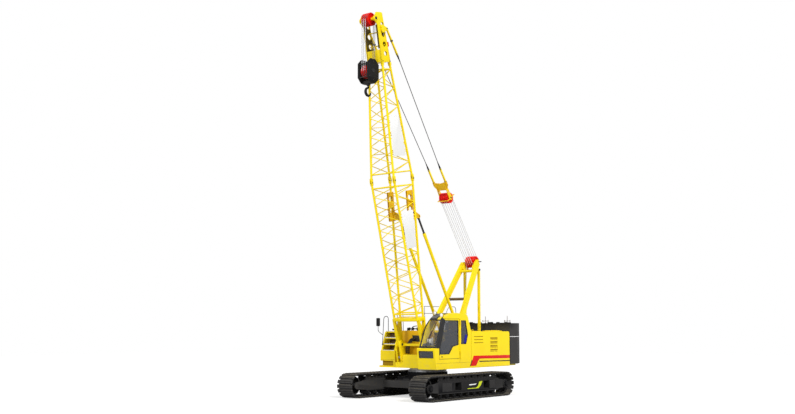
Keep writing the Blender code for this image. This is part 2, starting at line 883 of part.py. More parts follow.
def side_frame_shape(centre_y):
    half = FRAME_WIDTH / 2
    length = FRAME_LENGTH / 2
    middle = (FRAME_BOTTOM + FRAME_TOP) / 2
    tunnels = []
    for x in (BEAM_FRONT_X, BEAM_REAR_X):
        reach = BEAM_LENGTH / 2 + BEAM_CLEARANCE
        low = (x - reach, centre_y - half - CUT_OVERRUN, BEAM_BOTTOM - SEAT_GAP)
        high = (x + reach, centre_y + half + CUT_OVERRUN, BEAM_TOP + BEAM_CLEARANCE)
        tunnels.append(box(low, high))
    outline = rounded(
        (
            (-length, FRAME_BOTTOM, FORK_PLATE),
            (length, FRAME_BOTTOM, FORK_PLATE),
            (length, FRAME_TOP, FORK_PLATE),
            (-length, FRAME_TOP, FORK_PLATE),
        )
    )
    parts = []
    for end in (-1, 1):
        nose = end * WHEEL_BASE / 2
        root = end * (length - FORK_PLATE)
        fork = [(root, middle, (FRAME_TOP - FRAME_BOTTOM) / 2 - FORK_PLATE / 2), (nose, wheel_height(), FORK_NOSE)]
        if end < 0:
            fork.reverse()
        for side in (-1, 1):
            outer = centre_y + side * half
            low, high = sorted((outer, outer - side * FORK_PLATE))
            eye = bore_points(nose, wheel_height(), AXLE_RADIUS)
            parts.append(slab("Y", hull_outline(fork), low, high, [eye]))
    roller_z = chain_inside() + SEAT_GAP + ROLLER_RADIUS
    for index in range(ROLLER_COUNT):
        x = (index - (ROLLER_COUNT - 1) / 2) * ROLLER_PITCH
        reach = ROLLER_WIDTH / 2
        parts.append(pin_y(x, roller_z, centre_y - reach, centre_y + reach, ROLLER_RADIUS))
    carrier_z = TRACK_HEIGHT - chain_inside() - SEAT_GAP - CARRIER_RADIUS
    for side in (-1, 1):
        x = side * CARRIER_OFFSET
        reach = LINK_WIDTH / 2
        parts.append(pin_y(x, carrier_z, centre_y - reach, centre_y + reach, CARRIER_RADIUS))
        foot = CARRIER_RADIUS / 2
        low = (x - foot, centre_y - foot, FRAME_TOP - FORK_PLATE)
        parts.append(box(low, (x + foot, centre_y + foot, carrier_z)))
    main = slab("Y", outline, centre_y - half, centre_y + half)
    return cut(union(main, *parts), *tunnels)


def make_crawler(name, side):
    rides_on = "crawler_" + name
    centre_y = side * TRACK_GAUGE / 2
    body(rides_on, "root", Matrix.Translation((0, centre_y, wheel_height())))
    node("side_frame_" + name, rides_on, "dark_grey", side_frame_shape(centre_y))
    node("track_" + name, rides_on, "track", track_shape(centre_y))
    front = WHEEL_BASE / 2
    idler_radius = wheel_radius()
    idler = ring_points(front, wheel_height(), idler_radius, FINE_SIDES)
    node("idler_" + name, rides_on, "dark_grey", wheel_shape(front, centre_y, idler, side))
    node("sprocket_" + name, rides_on, "dark_grey", wheel_shape(-front, centre_y, sprocket_outline(-front), side))


# Carbody and slewing ring.


def make_carbody():
    middle = box((BODY_REAR, -BODY_HALF_WIDTH, BODY_BOTTOM), (BODY_FRONT, BODY_HALF_WIDTH, BODY_TOP))
    beams = []
    for x in (BEAM_FRONT_X, BEAM_REAR_X):
        reach = BEAM_LENGTH / 2
        end = TRACK_GAUGE / 2 - BEAM_INSET
        beams.append(box((x - reach, -end, BEAM_BOTTOM), (x + reach, end, BEAM_TOP)))
    pedestal = rod((0, 0, BODY_TOP - DECK_THICKNESS), (0, 0, PEDESTAL_TOP), PEDESTAL_RADIUS, LARGE_SIDES)
    node("carbody", "root", "dark_grey", union(middle, pedestal, *beams))
    low = PEDESTAL_TOP + SEAT_GAP
    high = DECK_BOTTOM - PIN_GAP
    middle_z = (low + high) / 2
    profile = (
        (RING_RADIUS, high),
        (RING_RADIUS, middle_z),
        (RING_FLANGE_RADIUS, middle_z),
        (RING_FLANGE_RADIUS, low),
        (RING_BORE, low),
        (RING_BORE, high),
    )
    node("slew_ring", "root", "steel", turned(profile, Matrix.Identity(4), LARGE_SIDES))


# Slewing platform.


def cheek_shape(y):
    """One of the upright plates that hold the boom's foot pins."""
    outline = hull_outline(
        (
            (CHEEK_REAR, SPINE_TOP - FOOT_CHEEK, FOOT_CHEEK),
            (SPINE_FRONT - FOOT_CHEEK, SPINE_TOP - FOOT_CHEEK, FOOT_CHEEK),
            (FOOT_X, FOOT_Z, FOOT_CHEEK_RADIUS),
        )
    )
    eye = bore_points(FOOT_X, FOOT_Z, FOOT_PIN_RADIUS, FOOT_PIN_SIDES)
    return slab("Y", outline, y - FOOT_CHEEK / 2, y + FOOT_CHEEK / 2, [eye])


def post_shape(x, y, z, pin_radius, width, thickness, eye_radius):
    """An upright plate on the spine with a pin hole at its rounded top."""
    outline = hull_outline(
        (
            (x - width / 2, SPINE_TOP - thickness, thickness / 2),
            (x + width / 2, SPINE_TOP - thickness, thickness / 2),
            (x, z, eye_radius),
        )
    )
    return slab("Y", outline, y - thickness / 2, y + thickness / 2, [bore_points(x, z, pin_radius)])


def platform_shape():
    tail_top = DECK_BOTTOM + DECK_THICKNESS - SEAT_GAP
    tail_low = (DECK_REAR, -TAIL_HALF_WIDTH, DECK_BOTTOM)
    tail = box(tail_low, (HOUSE_REAR - SEAT_GAP, TAIL_HALF_WIDTH, tail_top))
    spine = box((SPINE_REAR, -SPINE_HALF_WIDTH, DECK_BOTTOM), (SPINE_FRONT, SPINE_HALF_WIDTH, SPINE_TOP))
    cover_low = (COVER_REAR, -COVER_HALF_WIDTH, SPINE_TOP - CUT_OVERRUN)
    cover = box(cover_low, (SPINE_FRONT, COVER_HALF_WIDTH, COVER_TOP))
    half = BULKHEAD_PLATE / 2
    reach = SPINE_HALF_WIDTH
    wall_low = (BULKHEAD_X - half, -reach, SPINE_TOP - CUT_OVERRUN)
    wall = box(wall_low, (BULKHEAD_X + half, reach, BULKHEAD_TOP))
    hatch_low = (BULKHEAD_X - CUT_OVERRUN, -HATCH_HALF_WIDTH, HATCH_BOTTOM)
    wall = cut(wall, box(hatch_low, (BULKHEAD_X + CUT_OVERRUN, HATCH_HALF_WIDTH, HATCH_TOP)))
    half = TIE_BEAM_SIZE / 2
    reach = FOOT_SPREAD - FOOT_EYE_WIDTH / 2 - RUN_GAP - FOOT_CHEEK / 2
    beam_low = (TIE_BEAM_X - half, -reach, TIE_BEAM_Z - half)
    beam = box(beam_low, (TIE_BEAM_X + half, reach, TIE_BEAM_Z + half))
    parts = [tail, cover, wall, beam]
    lug = FOOT_EYE_WIDTH / 2 + RUN_GAP + FOOT_CHEEK / 2
    for side in (-1, 1):
        for offset in (-lug, lug):
            parts.append(cheek_shape(side * FOOT_SPREAD + offset))
        stop_offset = STOP_EYE_WIDTH / 2 + RUN_GAP + DRUM_STAND / 2
        for offset in (-stop_offset, stop_offset):
            y = side * STOP_SPREAD + offset
            post = (STOP_PIN_RADIUS, STOP_POST_WIDTH, DRUM_STAND, STOP_EYE_RADIUS)
            parts.append(post_shape(STOP_BASE_X, y, STOP_BASE_Z, *post))
        y = side * (MAST_FOOT_SPREAD - MAST_LEG_WIDTH / 2 - MAST_FOOT_GAP - DRUM_STAND / 2)
        post = (FOOT_PIN_RADIUS, 2 * MAST_LEG_DEPTH, DRUM_STAND, MAST_LEG_DEPTH / 2)
        parts.append(post_shape(MAST_FOOT_X, y, MAST_FOOT_Z, *post))
        y = side * BACK_LEG_SPREAD
        reach = BACK_POST_HALF
        low = (BACK_LEG_X - reach, y - reach, SPINE_TOP - CUT_OVERRUN)
        parts.append(box(low, (BACK_LEG_X + reach, y + reach, BACK_LEG_BOTTOM - SEAT_GAP)))
    for _, x in WINCHES:
        for side in (-1, 1):
            y = side * (DRUM_HALF_WIDTH + PIN_GAP + DRUM_STAND / 2)
            post = (AXLE_RADIUS, 2 * DRUM_RADIUS, DRUM_STAND, 2 * AXLE_RADIUS)
            parts.append(post_shape(x, y, DRUM_Z, *post))
    return union(spine, *parts)


def make_platform():
    node("upper_frame", "upper", "yellow", platform_shape())
    deck_top = DECK_BOTTOM + DECK_THICKNESS - SEAT_GAP
    for name, side in (("left", 1), ("right", -1)):
        low, high = sorted((side * (SPINE_HALF_WIDTH + SEAT_GAP), side * DECK_HALF_WIDTH))
        deck = box((HOUSE_REAR, low, DECK_BOTTOM), (DECK_FRONT, high, deck_top))
        node("side_deck_" + name, "upper", "yellow", deck)
    for name, x in WINCHES:
        profile = (
            (DRUM_FLANGE_RADIUS, DRUM_HALF_WIDTH),
            (DRUM_FLANGE_RADIUS, DRUM_HALF_WIDTH - DRUM_FLANGE),
            (DRUM_RADIUS, DRUM_HALF_WIDTH - DRUM_FLANGE),
            (DRUM_RADIUS, DRUM_FLANGE - DRUM_HALF_WIDTH),
            (DRUM_FLANGE_RADIUS, DRUM_FLANGE - DRUM_HALF_WIDTH),
            (DRUM_FLANGE_RADIUS, -DRUM_HALF_WIDTH),
            (0, -DRUM_HALF_WIDTH),
            (0, DRUM_HALF_WIDTH),
        )
        matrix = Matrix.Translation((x, 0, DRUM_Z)) @ Matrix.Rotation(-math.pi / 2, 4, "X")
        drum = turned(profile, matrix)
        reach = DRUM_HALF_WIDTH + DRUM_STAND
        node(name, "upper", "steel", union(drum, pin_y(x, DRUM_Z, -reach, reach, AXLE_RADIUS)))


def make_counterweight():
    outline = (
        (WEIGHT_FRONT, -WEIGHT_HALF_WIDTH),
        (WEIGHT_FRONT, WEIGHT_HALF_WIDTH),
        (WEIGHT_BEVEL_X, WEIGHT_HALF_WIDTH),
        (WEIGHT_REAR, WEIGHT_REAR_HALF_WIDTH),
        (WEIGHT_REAR, -WEIGHT_REAR_HALF_WIDTH),
        (WEIGHT_BEVEL_X, -WEIGHT_HALF_WIDTH),
    )
    for name, start, end in WEIGHT_SHARES:
        low = CAB_BOTTOM + start * WEIGHT_HEIGHT
        high = CAB_BOTTOM + end * WEIGHT_HEIGHT - SEAT_GAP
        shape = slab("Z", outline, low, high)
        if name == "counterweight_upper":
            shape = union(shape, *lifting_lugs(high))
        node(name, "upper", "dark_grey", shape)


def lifting_lugs(top):
    """Low round-backed lugs along the front edge of the counterweight's top."""
    lugs = []
    x = WEIGHT_FRONT - LIFT_LUG_INSET
    half = LIFT_LUG_WIDTH / 2
    for share in LIFT_LUG_SHARES:
        y = share * WEIGHT_HALF_WIDTH
        outline = rounded(
            (
                (y - LIFT_LUG_LENGTH / 2, top - CUT_OVERRUN, 0),
                (y + LIFT_LUG_LENGTH / 2, top - CUT_OVERRUN, 0),
                (y + LIFT_LUG_LENGTH / 4, top + LIFT_LUG_HEIGHT, LIFT_LUG_HEIGHT / 2),
                (y - LIFT_LUG_LENGTH / 4, top + LIFT_LUG_HEIGHT, LIFT_LUG_HEIGHT / 2),
            )
        )
        lugs.append(slab("X", outline, x - half, x + half))
    return lugs


def house_shell(side):
    """A machinery house, hollow and open at its bottom and towards the spine, with slots and louvres outside."""
    outline = rounded(
        (
            (HOUSE_REAR, CAB_BOTTOM, 0),
            (HOUSE_FRONT - SEAT_GAP, CAB_BOTTOM, 0),
            (HOUSE_FRONT - SEAT_GAP, HOUSE_TOP, HOUSE_WALL),
            (HOUSE_REAR, HOUSE_TOP, HOUSE_CORNER),
        )
    )
    outer, inner = side * DECK_HALF_WIDTH, side * HOUSE_INNER_Y
    shell = slab("Y", outline, *sorted((outer, inner)))
    wall = outer - side * HOUSE_WALL
    low_y, high_y = sorted((wall, inner - side * CUT_OVERRUN))
    low = (HOUSE_REAR + HOUSE_WALL, low_y, CAB_BOTTOM - CUT_OVERRUN)
    cutters = [box(low, (HOUSE_FRONT - HOUSE_WALL, high_y, HOUSE_TOP - HOUSE_WALL))]
    low_y, high_y = sorted((wall - side * CUT_OVERRUN, outer + side * CUT_OVERRUN))
    for index in range(SLOT_COUNT):
        top = SLOT_TOP - index * SLOT_PITCH
        slot_low = (SLOT_FRONT - SLOT_LENGTH, low_y, top - SLOT_HEIGHT)
        cutters.append(box(slot_low, (SLOT_FRONT, high_y, top)))
    blades = []
    for index in range(LOUVRE_COUNT):
        top = LOUVRE_TOP - index * LOUVRE_PITCH
        bottom = top - LOUVRE_HEIGHT
        cutters.append(box((LOUVRE_FRONT - LOUVRE_LENGTH, low_y, bottom), (LOUVRE_FRONT, high_y, top)))
        near_y, far_y = outer - side * SEAT_GAP, wall + side * SEAT_GAP
        blade = (
            (near_y, bottom + LOUVRE_BLADE),
            (near_y, bottom + 2 * LOUVRE_BLADE),
            (far_y, top - LOUVRE_BLADE),
            (far_y, top - 2 * LOUVRE_BLADE),
        )
        start = LOUVRE_FRONT - LOUVRE_LENGTH - CUT_OVERRUN
        blades.append(slab("X", blade, start, LOUVRE_FRONT + CUT_OVERRUN))
    return union(cut(shell, *cutters), *blades)


def make_houses():
    node("house_left", "upper", "yellow", house_shell(1))
    node("house_right", "upper", "yellow", house_shell(-1))
    low_y = HOUSE_WALL + ENGINE_SIDE_GAP - DECK_HALF_WIDTH
    high_y = -HOUSE_INNER_Y - ENGINE_SIDE_GAP
    low = (ENGINE_REAR, low_y, CAB_BOTTOM + SEAT_GAP)
    node("engine_block", "upper", "dark_grey", box(low, (ENGINE_REAR + ENGINE_LENGTH, high_y, CAB_BOTTOM + ENGINE_HEIGHT)))
    x, y = ENGINE_REAR + ENGINE_LENGTH / 2, (low_y + high_y) / 2
    stack = rod((x, y, HOUSE_TOP + SEAT_GAP), (x, y, HOUSE_TOP + EXHAUST_HEIGHT), EXHAUST_RADIUS)
    node("exhaust", "upper", "steel", stack)


def make_step_tower():
    outline = rounded(
        (
            (TOWER_REAR, CAB_BOTTOM, 0),
            (TOWER_FRONT, CAB_BOTTOM, 0),
            (TOWER_FRONT, TOWER_LOW_TOP, 0),
            (TOWER_SLOPE_FOOT, TOWER_LOW_TOP, 0),
            (TOWER_SLOPE_TOP, HOUSE_TOP, TOWER_CORNER),
            (TOWER_REAR, HOUSE_TOP, 0),
        )
    )
    tower = slab("Y", outline, TOWER_OUTER_Y, TOWER_INNER_Y)
    low_y, high_y = TOWER_OUTER_Y + TOWER_PLATE, TOWER_INNER_Y - TOWER_PLATE
    toe_low = (TOE_REAR, TOWER_OUTER_Y - CUT_OVERRUN, CAB_BOTTOM - CUT_OVERRUN)
    recesses = [box(toe_low, (TOWER_FRONT + CUT_OVERRUN, high_y, TOE_TOP))]
    rise = (HOUSE_TOP - TOWER_LOW_TOP) / TREAD_COUNT
    for index in range(TREAD_COUNT):
        floor = TOWER_LOW_TOP + index * rise
        recesses.append(box((TREAD_REAR, low_y, floor), (TOWER_FRONT, high_y, floor + rise - TREAD_THICKNESS)))
    node("step_tower", "upper", "yellow", cut(tower, *recesses))
    node("mirror_rail", "upper", "black", mirror_rail_shape())


def mirror_rail_shape():
    """The grab rail over the tower's outer edge, with the mirror's bent arm and housing."""
    y = TOWER_OUTER_Y + RAIL_INSET
    share = (RAIL_FOOT_Z - RAIL_RADIUS - TOWER_LOW_TOP) / (HOUSE_TOP - TOWER_LOW_TOP)
    plate_x = blend(TOWER_SLOPE_FOOT, TOWER_SLOPE_TOP, share)
    hoop = rounded(
        (
            (plate_x + SEAT_GAP, RAIL_FOOT_Z, 0),
            (RAIL_FOOT_X, RAIL_FOOT_Z, 2 * RAIL_RADIUS),
            (RAIL_FRONT, RAIL_TOP, RAIL_ROUND),
            (RAIL_REAR, RAIL_TOP, RAIL_ROUND),
            (RAIL_REAR, HOUSE_TOP + SEAT_GAP, 0),
        )
    )
    rail = pipe([(x, y, z) for x, z in hoop], RAIL_RADIUS, 0)
    reach = RAIL_FRONT + MIRROR_ARM_REACH
    mirror_y = y - MIRROR_OUT
    rail_x = blend(RAIL_FOOT_X, RAIL_FRONT, (MIRROR_ARM_Z - RAIL_FOOT_Z) / (RAIL_TOP - RAIL_FOOT_Z))
    arm = pipe(
        (
            (rail_x, y, MIRROR_ARM_Z),
            (reach, mirror_y, MIRROR_ARM_Z + MIRROR_ARM_RISE),
            (reach, mirror_y, MIRROR_Z + MIRROR_HEIGHT / 2),
        ),
        RAIL_RADIUS,
        0,
    )
    low = (reach - MIRROR_DEPTH / 2, mirror_y - MIRROR_WIDTH / 2, MIRROR_Z)
    high = (reach + MIRROR_DEPTH / 2, mirror_y + MIRROR_WIDTH / 2, MIRROR_Z + MIRROR_HEIGHT)
    return union(rail, arm, box(low, high))


# Cab.


def cab_corners(brow, floor):
    """One side's outline round the cab: its floor's corners, its front, this brow, and its roof and rear."""
    return (
        *floor,
        (CAB_FRONT, SILL_Z, SILL_ROUND),
        (SILL_X, SILL_Z, 0),
        brow,
        (ROOF_X, ROOF_Z, ROOF_ROUND),
        (ROOF_REAR_X, ROOF_REAR_Z, ROOF_REAR_RADIUS),
        (CAB_REAR, WAIST_Z, 0),
    )


def cab_body(floor, inset_by):
    """The cab as a loft between its two sides, drawn this far inside its outer faces."""
    sections = []
    for brow in ((INNER_BROW_X, INNER_BROW_Z, INNER_BROW_RADIUS), (BROW_X, BROW_Z, BROW_RADIUS)):
        corners = cab_corners(brow, floor)
        sections.append(rounded(inset(corners, inset_by) if inset_by else corners, CAB_STEPS))
    return lofted(sections[0], CAB_INNER_Y + inset_by, sections[1], CAB_OUTER_Y - inset_by)


def pillar_x(z):
    """Where the outer side's windscreen pillar has its front edge at this height."""
    return blend(SILL_X, BROW_X, (z - SILL_Z) / (BROW_Z - SILL_Z))


def door_corners():
    """The doorway, whose front edge leans with the pillar."""
    return (
        (DOOR_REAR, DOOR_BOTTOM, 0),
        (DOOR_FRONT, DOOR_BOTTOM, 0),
        (DOOR_FRONT, SILL_Z, 0),
        (pillar_x(DOOR_TOP) - PILLAR_TOP_WIDTH, DOOR_TOP, 0),
        (DOOR_REAR, DOOR_TOP, 0),
    )


def door_glass_corners():
    """The door's window, which steps down towards its front."""
    front = DOOR_FRONT - DOOR_FRAME
    top = DOOR_TOP - DOOR_FRAME
    rear = DOOR_REAR + WINDOW_RAIL
    return (
        (rear, GLASS_SILL_Z, GLASS_ROUND),
        (GLASS_STEP_X, GLASS_STEP_Z, GLASS_ROUND),
        (GLASS_DIP_X, GLASS_DIP_Z, GLASS_ROUND),
        (front, GLASS_DIP_Z, GLASS_ROUND),
        (front, SILL_Z, 0),
        (pillar_x(top) - PILLAR_TOP_WIDTH - DOOR_FRAME, top, GLASS_ROUND),
        (rear, top, GLASS_ROUND),
    )


def quarter_window_corners():
    top = DOOR_TOP - DOOR_FRAME
    return (
        (QUARTER_FRONT, QUARTER_BOTTOM, 0),
        (QUARTER_FRONT, top, 0),
        (QUARTER_TOP_REAR, top, GLASS_ROUND),
        (QUARTER_REAR, QUARTER_MIDDLE_Z, 0),
        (QUARTER_LOW_REAR, QUARTER_BOTTOM, GLASS_ROUND),
    )


def inner_window_corners():
    top = DOOR_TOP - DOOR_FRAME
    return (
        (QUARTER_LOW_REAR, QUARTER_BOTTOM, GLASS_ROUND),
        (INNER_WINDOW_FRONT, QUARTER_BOTTOM, GLASS_ROUND),
        (GLASS_STEP_X, top, GLASS_ROUND),
        (QUARTER_LOW_REAR, top, GLASS_ROUND),
    )


def lamp_shape(x, y, z):
    """A round work lamp on a short stem, facing forward."""
    lamp = rod((x - LAMP_LENGTH / 2, y, z), (x + LAMP_LENGTH / 2, y, z), LAMP_RADIUS)
    half = LAMP_STAND / 2
    return union(lamp, box((x - half, y - half, z - LAMP_STEM), (x + half, y + half, z)))


def make_cab():
    front = (CAB_FRONT, CAB_BOTTOM, 0)
    step_x = DECK_FRONT + RUN_GAP
    skirt = ((step_x, CAB_BOTTOM, 0), (step_x, DECK_BOTTOM, 0), (SKIRT_FRONT, DECK_BOTTOM, 0))
    rear = (CAB_REAR, CAB_BOTTOM, 0)
    outer = cab_body((rear, *skirt), 0)
    inner = cab_body((rear, (SKIRT_FRONT, CAB_BOTTOM, 0)), CAB_WALL)
    rail = WINDOW_RAIL
    windscreen = box(
        (SCREEN_REAR, CAB_INNER_Y + rail, SILL_Z + rail),
        (CAB_FRONT + CUT_OVERRUN, CAB_OUTER_Y - rail, SCREEN_TOP),
    )
    low_window = box(
        (SKIRT_FRONT - CUT_OVERRUN - CAB_WALL, CAB_INNER_Y + LOW_WINDOW_RAIL, LOW_WINDOW_BOTTOM),
        (CAB_FRONT + CUT_OVERRUN, CAB_OUTER_Y - LOW_WINDOW_RAIL, LOW_WINDOW_TOP),
    )
    low, high = CAB_OUTER_Y - CAB_WALL - CUT_OVERRUN, CAB_OUTER_Y + CUT_OVERRUN
    door_hole = slab("Y", rounded(door_corners()), low, high)
    quarter = slab("Y", rounded(quarter_window_corners()), low, high)
    low, high = CAB_INNER_Y - CUT_OVERRUN, CAB_INNER_Y + CAB_WALL + CUT_OVERRUN
    inner_window = slab("Y", rounded(inner_window_corners()), low, high)
    shell = cut(outer, inner, windscreen, low_window, door_hole, quarter, inner_window)
    hinge_y = CAB_OUTER_Y + DOOR_HINGE_OUT
    added = [
        lamp_shape(OUTER_LAMP_X, OUTER_LAMP_Y, OUTER_LAMP_Z),
        lamp_shape(INNER_LAMP_X, INNER_LAMP_Y, INNER_LAMP_Z),
    ]
    for low, high in ((DOOR_BOTTOM, HINGE_LOW), (HINGE_HIGH, DOOR_TOP)):
        added.append(rod((HINGE_X, hinge_y, low), (HINGE_X, hinge_y, high), DOOR_HINGE_RADIUS))
        plate_low = (HINGE_X - 2 * DOOR_HINGE_RADIUS, CAB_OUTER_Y - CAB_WALL / 2, low)
        added.append(box(plate_low, (HINGE_X, hinge_y, high)))
    node("cab_shell", "upper", "yellow", union(shell, *added))
    seat_y = (CAB_INNER_Y + CAB_OUTER_Y) / 2
    half = SEAT_WIDTH / 2
    floor = CAB_BOTTOM + CAB_WALL + SEAT_GAP
    cushion = box((SEAT_X, seat_y - half, floor), (SEAT_X + SEAT_DEPTH, seat_y + half, SEAT_TOP))
    back = box((SEAT_X - SEAT_BACK, seat_y - half, floor), (SEAT_X + CUT_OVERRUN, seat_y + half, SEAT_BACK_TOP))
    node("cab_seat", "upper", "rubber", union(cushion, back))


def make_door():
    low_y, high_y = CAB_OUTER_Y - CAB_WALL, CAB_OUTER_Y
    outline = rounded(inset(door_corners(), DOOR_GAP))
    panel = slab("Y", outline, low_y, high_y, [rounded(door_glass_corners())])
    hinge_y = CAB_OUTER_Y + DOOR_HINGE_OUT
    low, high = HINGE_LOW + PIN_GAP, HINGE_HIGH - PIN_GAP
    knuckle = rod((HINGE_X, hinge_y, low), (HINGE_X, hinge_y, high), DOOR_HINGE_RADIUS)
    rear = DOOR_REAR + DOOR_GAP
    reach = rear + WINDOW_RAIL / 2
    arm = box((HINGE_X, CAB_OUTER_Y + PIN_GAP, low), (reach, hinge_y, high))
    step = box((rear, CAB_OUTER_Y - CAB_WALL / 2, low), (reach, hinge_y, high))
    node("cab_door", "cab_door", "yellow", union(panel, knuckle, arm, step))
    middle = (low_y + high_y) / 2
    pane = rounded(inset(door_glass_corners(), SEAT_GAP))
    node("door_glass", "cab_door", "glass", slab("Y", pane, middle - GLASS / 2, middle + GLASS / 2))


# Gantry.


def mast_point(share, side):
    """The centre of a mast leg this share of the way from its foot to its top."""
    x = MAST_FOOT_X + share * (MAST_TOP_X - MAST_FOOT_X)
    z = MAST_FOOT_Z + share * (MAST_TOP_Z - MAST_FOOT_Z)
    y = MAST_FOOT_SPREAD + share * (MAST_TOP_SPREAD - MAST_FOOT_SPREAD)
    return Vector((x, side * y, z))


def make_gantry():
    parts = []
    stack = GANTRY_SHEAVE_PITCH * GANTRY_SHEAVE_COUNT / 2
    for side in (-1, 1):
        parts.append(bar(mast_point(0, side), mast_point(1, side), MAST_LEG_WIDTH, MAST_LEG_DEPTH))
        low, high = sorted((side * (stack + RUN_GAP), side * (stack + RUN_GAP + MAST_HEAD_PLATE)))
        head = hull_outline(
            (
                (GANTRY_SHEAVE_X, GANTRY_SHEAVE_Z, 2 * GANTRY_SHAFT_RADIUS),
                (BACK_LEG_X, BACK_PIN_Z, BACK_EYE_RADIUS),
                (MAST_TOP_X + MAST_LEG_DEPTH / 2, MAST_TOP_Z - MAST_LEG_DEPTH, 2 * GANTRY_SHAFT_RADIUS),
            )
        )
        parts.append(slab("Y", head, low, high))
    foot_low, foot_high = mast_point(0, -1), mast_point(0, 1)
    bar_low, bar_high = mast_point(MAST_BAR_SHARE, -1), mast_point(MAST_BAR_SHARE, 1)
    parts.append(rod(bar_low, bar_high, MAST_BAR_RADIUS))
    parts.append(rod(mast_point(MAST_TOP_BAR_SHARE, -1), mast_point(MAST_TOP_BAR_SHARE, 1), MAST_BAR_RADIUS))
    reach = stack + RUN_GAP + MAST_HEAD_PLATE + CUT_OVERRUN
    parts.append(pin_y(GANTRY_SHEAVE_X, GANTRY_SHEAVE_Z, -reach, reach, GANTRY_SHAFT_RADIUS))
    reach = BACK_LEG_SPREAD + BACK_LEG_HALF + CUT_OVERRUN
    parts.append(pin_y(BACK_LEG_X, BACK_PIN_Z, -reach, reach, BACK_PIN_RADIUS))
    for side, point in ((-1, foot_low), (1, foot_high)):
        y = point.y
        parts.append(pin_y(point.x, point.z, y - MAST_LEG_WIDTH / 2, y + MAST_LEG_WIDTH / 2, MAST_LEG_DEPTH / 2))
        reach = MAST_LEG_WIDTH / 2 + MAST_FOOT_GAP + DRUM_STAND + MAST_FOOT_GAP
        parts.append(pin_y(point.x, point.z, *sorted((y, y - side * reach)), FOOT_PIN_RADIUS))
    node("gantry_mast", "upper", "yellow", union(*parts))
    for side, name in ((1, "left"), (-1, "right")):
        y = side * BACK_LEG_SPREAD
        half = BACK_LEG_HALF
        leg = box((BACK_LEG_X - half, y - half, BACK_LEG_BOTTOM), (BACK_LEG_X + half, y + half, BACK_PIN_Z))
        eye = slab("Y", ring_points(BACK_LEG_X, BACK_PIN_Z, BACK_EYE_RADIUS), y - half, y + half)
        bore = slab("Y", bore_points(BACK_LEG_X, BACK_PIN_Z, BACK_PIN_RADIUS), y - 2 * half, y + 2 * half)
        node("gantry_back_leg_" + name, "upper", "yellow", cut(union(leg, eye), bore))


def sheave_profile(radius, bore, count, pitch):
    """A stack of grooved sheaves, drawn as one turned profile about its own axis."""
    half = count * pitch / 2
    profile = []
    for index in range(count):
        top = half - index * pitch
        rim = pitch * RIM_SHARE
        profile.append((radius, top if index == 0 else top - rim / 2))
        profile.append((radius - GROOVE_DEPTH, top - pitch / 2 + rim / 2))
        profile.append((radius - GROOVE_DEPTH, top - pitch / 2 - rim / 2))
        profile.append((radius, top - pitch + rim / 2))
    profile.append((radius, -half))
    profile.append((bore, -half))
    profile.append((bore, half))
    return profile


def sheaves(x, z, radius, shaft_radius, count, pitch):
    bore = (shaft_radius + PIN_GAP) / math.cos(math.pi / FINE_SIDES)
    matrix = Matrix.Translation((x, 0, z)) @ Matrix.Rotation(-math.pi / 2, 4, "X")
    return turned(sheave_profile(radius, bore, count, pitch), matrix)


# Boom.


def boom_frame():
    turn = Matrix.Rotation(math.radians(-BOOM_REST_DEG), 4, "Y")
    return Matrix.Translation((FOOT_X, 0, FOOT_Z)) @ turn


def blend(start, end, share):
    return start + (end - start) * share


def chord_point(at, side, top):
    """The centre of a chord this far along the boom, on the left or right side, at the top or the underside."""
    if at <= FOOT_SECTION_LENGTH:
        share = (at - BOX_BEAM_AT) / (FOOT_SECTION_LENGTH - BOX_BEAM_AT)
        depth = blend(FOOT_HALF_DEPTH, JOINT_HALF_DEPTH, share)
        return Vector((at, side * BOOM_HALF_WIDTH, top * depth))
    share = (at - FOOT_SECTION_LENGTH) / (TOP_SECTION_END - FOOT_SECTION_LENGTH)
    tip = TIP_UPPERSIDE if top > 0 else TIP_UNDERSIDE
    width = blend(BOOM_HALF_WIDTH, TIP_HALF_WIDTH, share)
    return Vector((at, side * width, blend(top * JOINT_HALF_DEPTH, tip, share)))


def lattice(start, end, bays):
    """Chords, end battens and zigzag lacing of one section, all as loose tubes."""
    tubes = []
    for side in (-1, 1):
        for top in (-1, 1):
            near, far = chord_point(start, side, top), chord_point(end, side, top)
            tubes.append(rod(near, far, CHORD_RADIUS, CHORD_SIDES))
    first, last = start + FACE_MARGIN, end - FACE_MARGIN
    for one, two, begin in FACES:
        for at in (first, last):
            tubes.append(rod(chord_point(at, *one), chord_point(at, *two), BATTEN_RADIUS, LACE_SIDES))
        for bay in range(bays):
            low = blend(first, last, bay / bays)
            high = blend(first, last, (bay + 1) / bays)
            ends = (one, two) if (bay + begin) % 2 else (two, one)
            tubes.append(rod(chord_point(low, *ends[0]), chord_point(high, *ends[1]), LACE_RADIUS, LACE_SIDES))
    return tubes


def joint_lugs(at, end):
    """The blocks in which a section's chords end, from the section's own side up to its end plane."""
    lugs = []
    for side in (-1, 1):
        for top in (-1, 1):
            centre = chord_point(at, side, top)
            half = JOINT_LUG_HALF
            low, high = sorted((at, end))
            lugs.append(box((low, centre.y - half, centre.z - half), (high, centre.y + half, centre.z + half)))
    return lugs


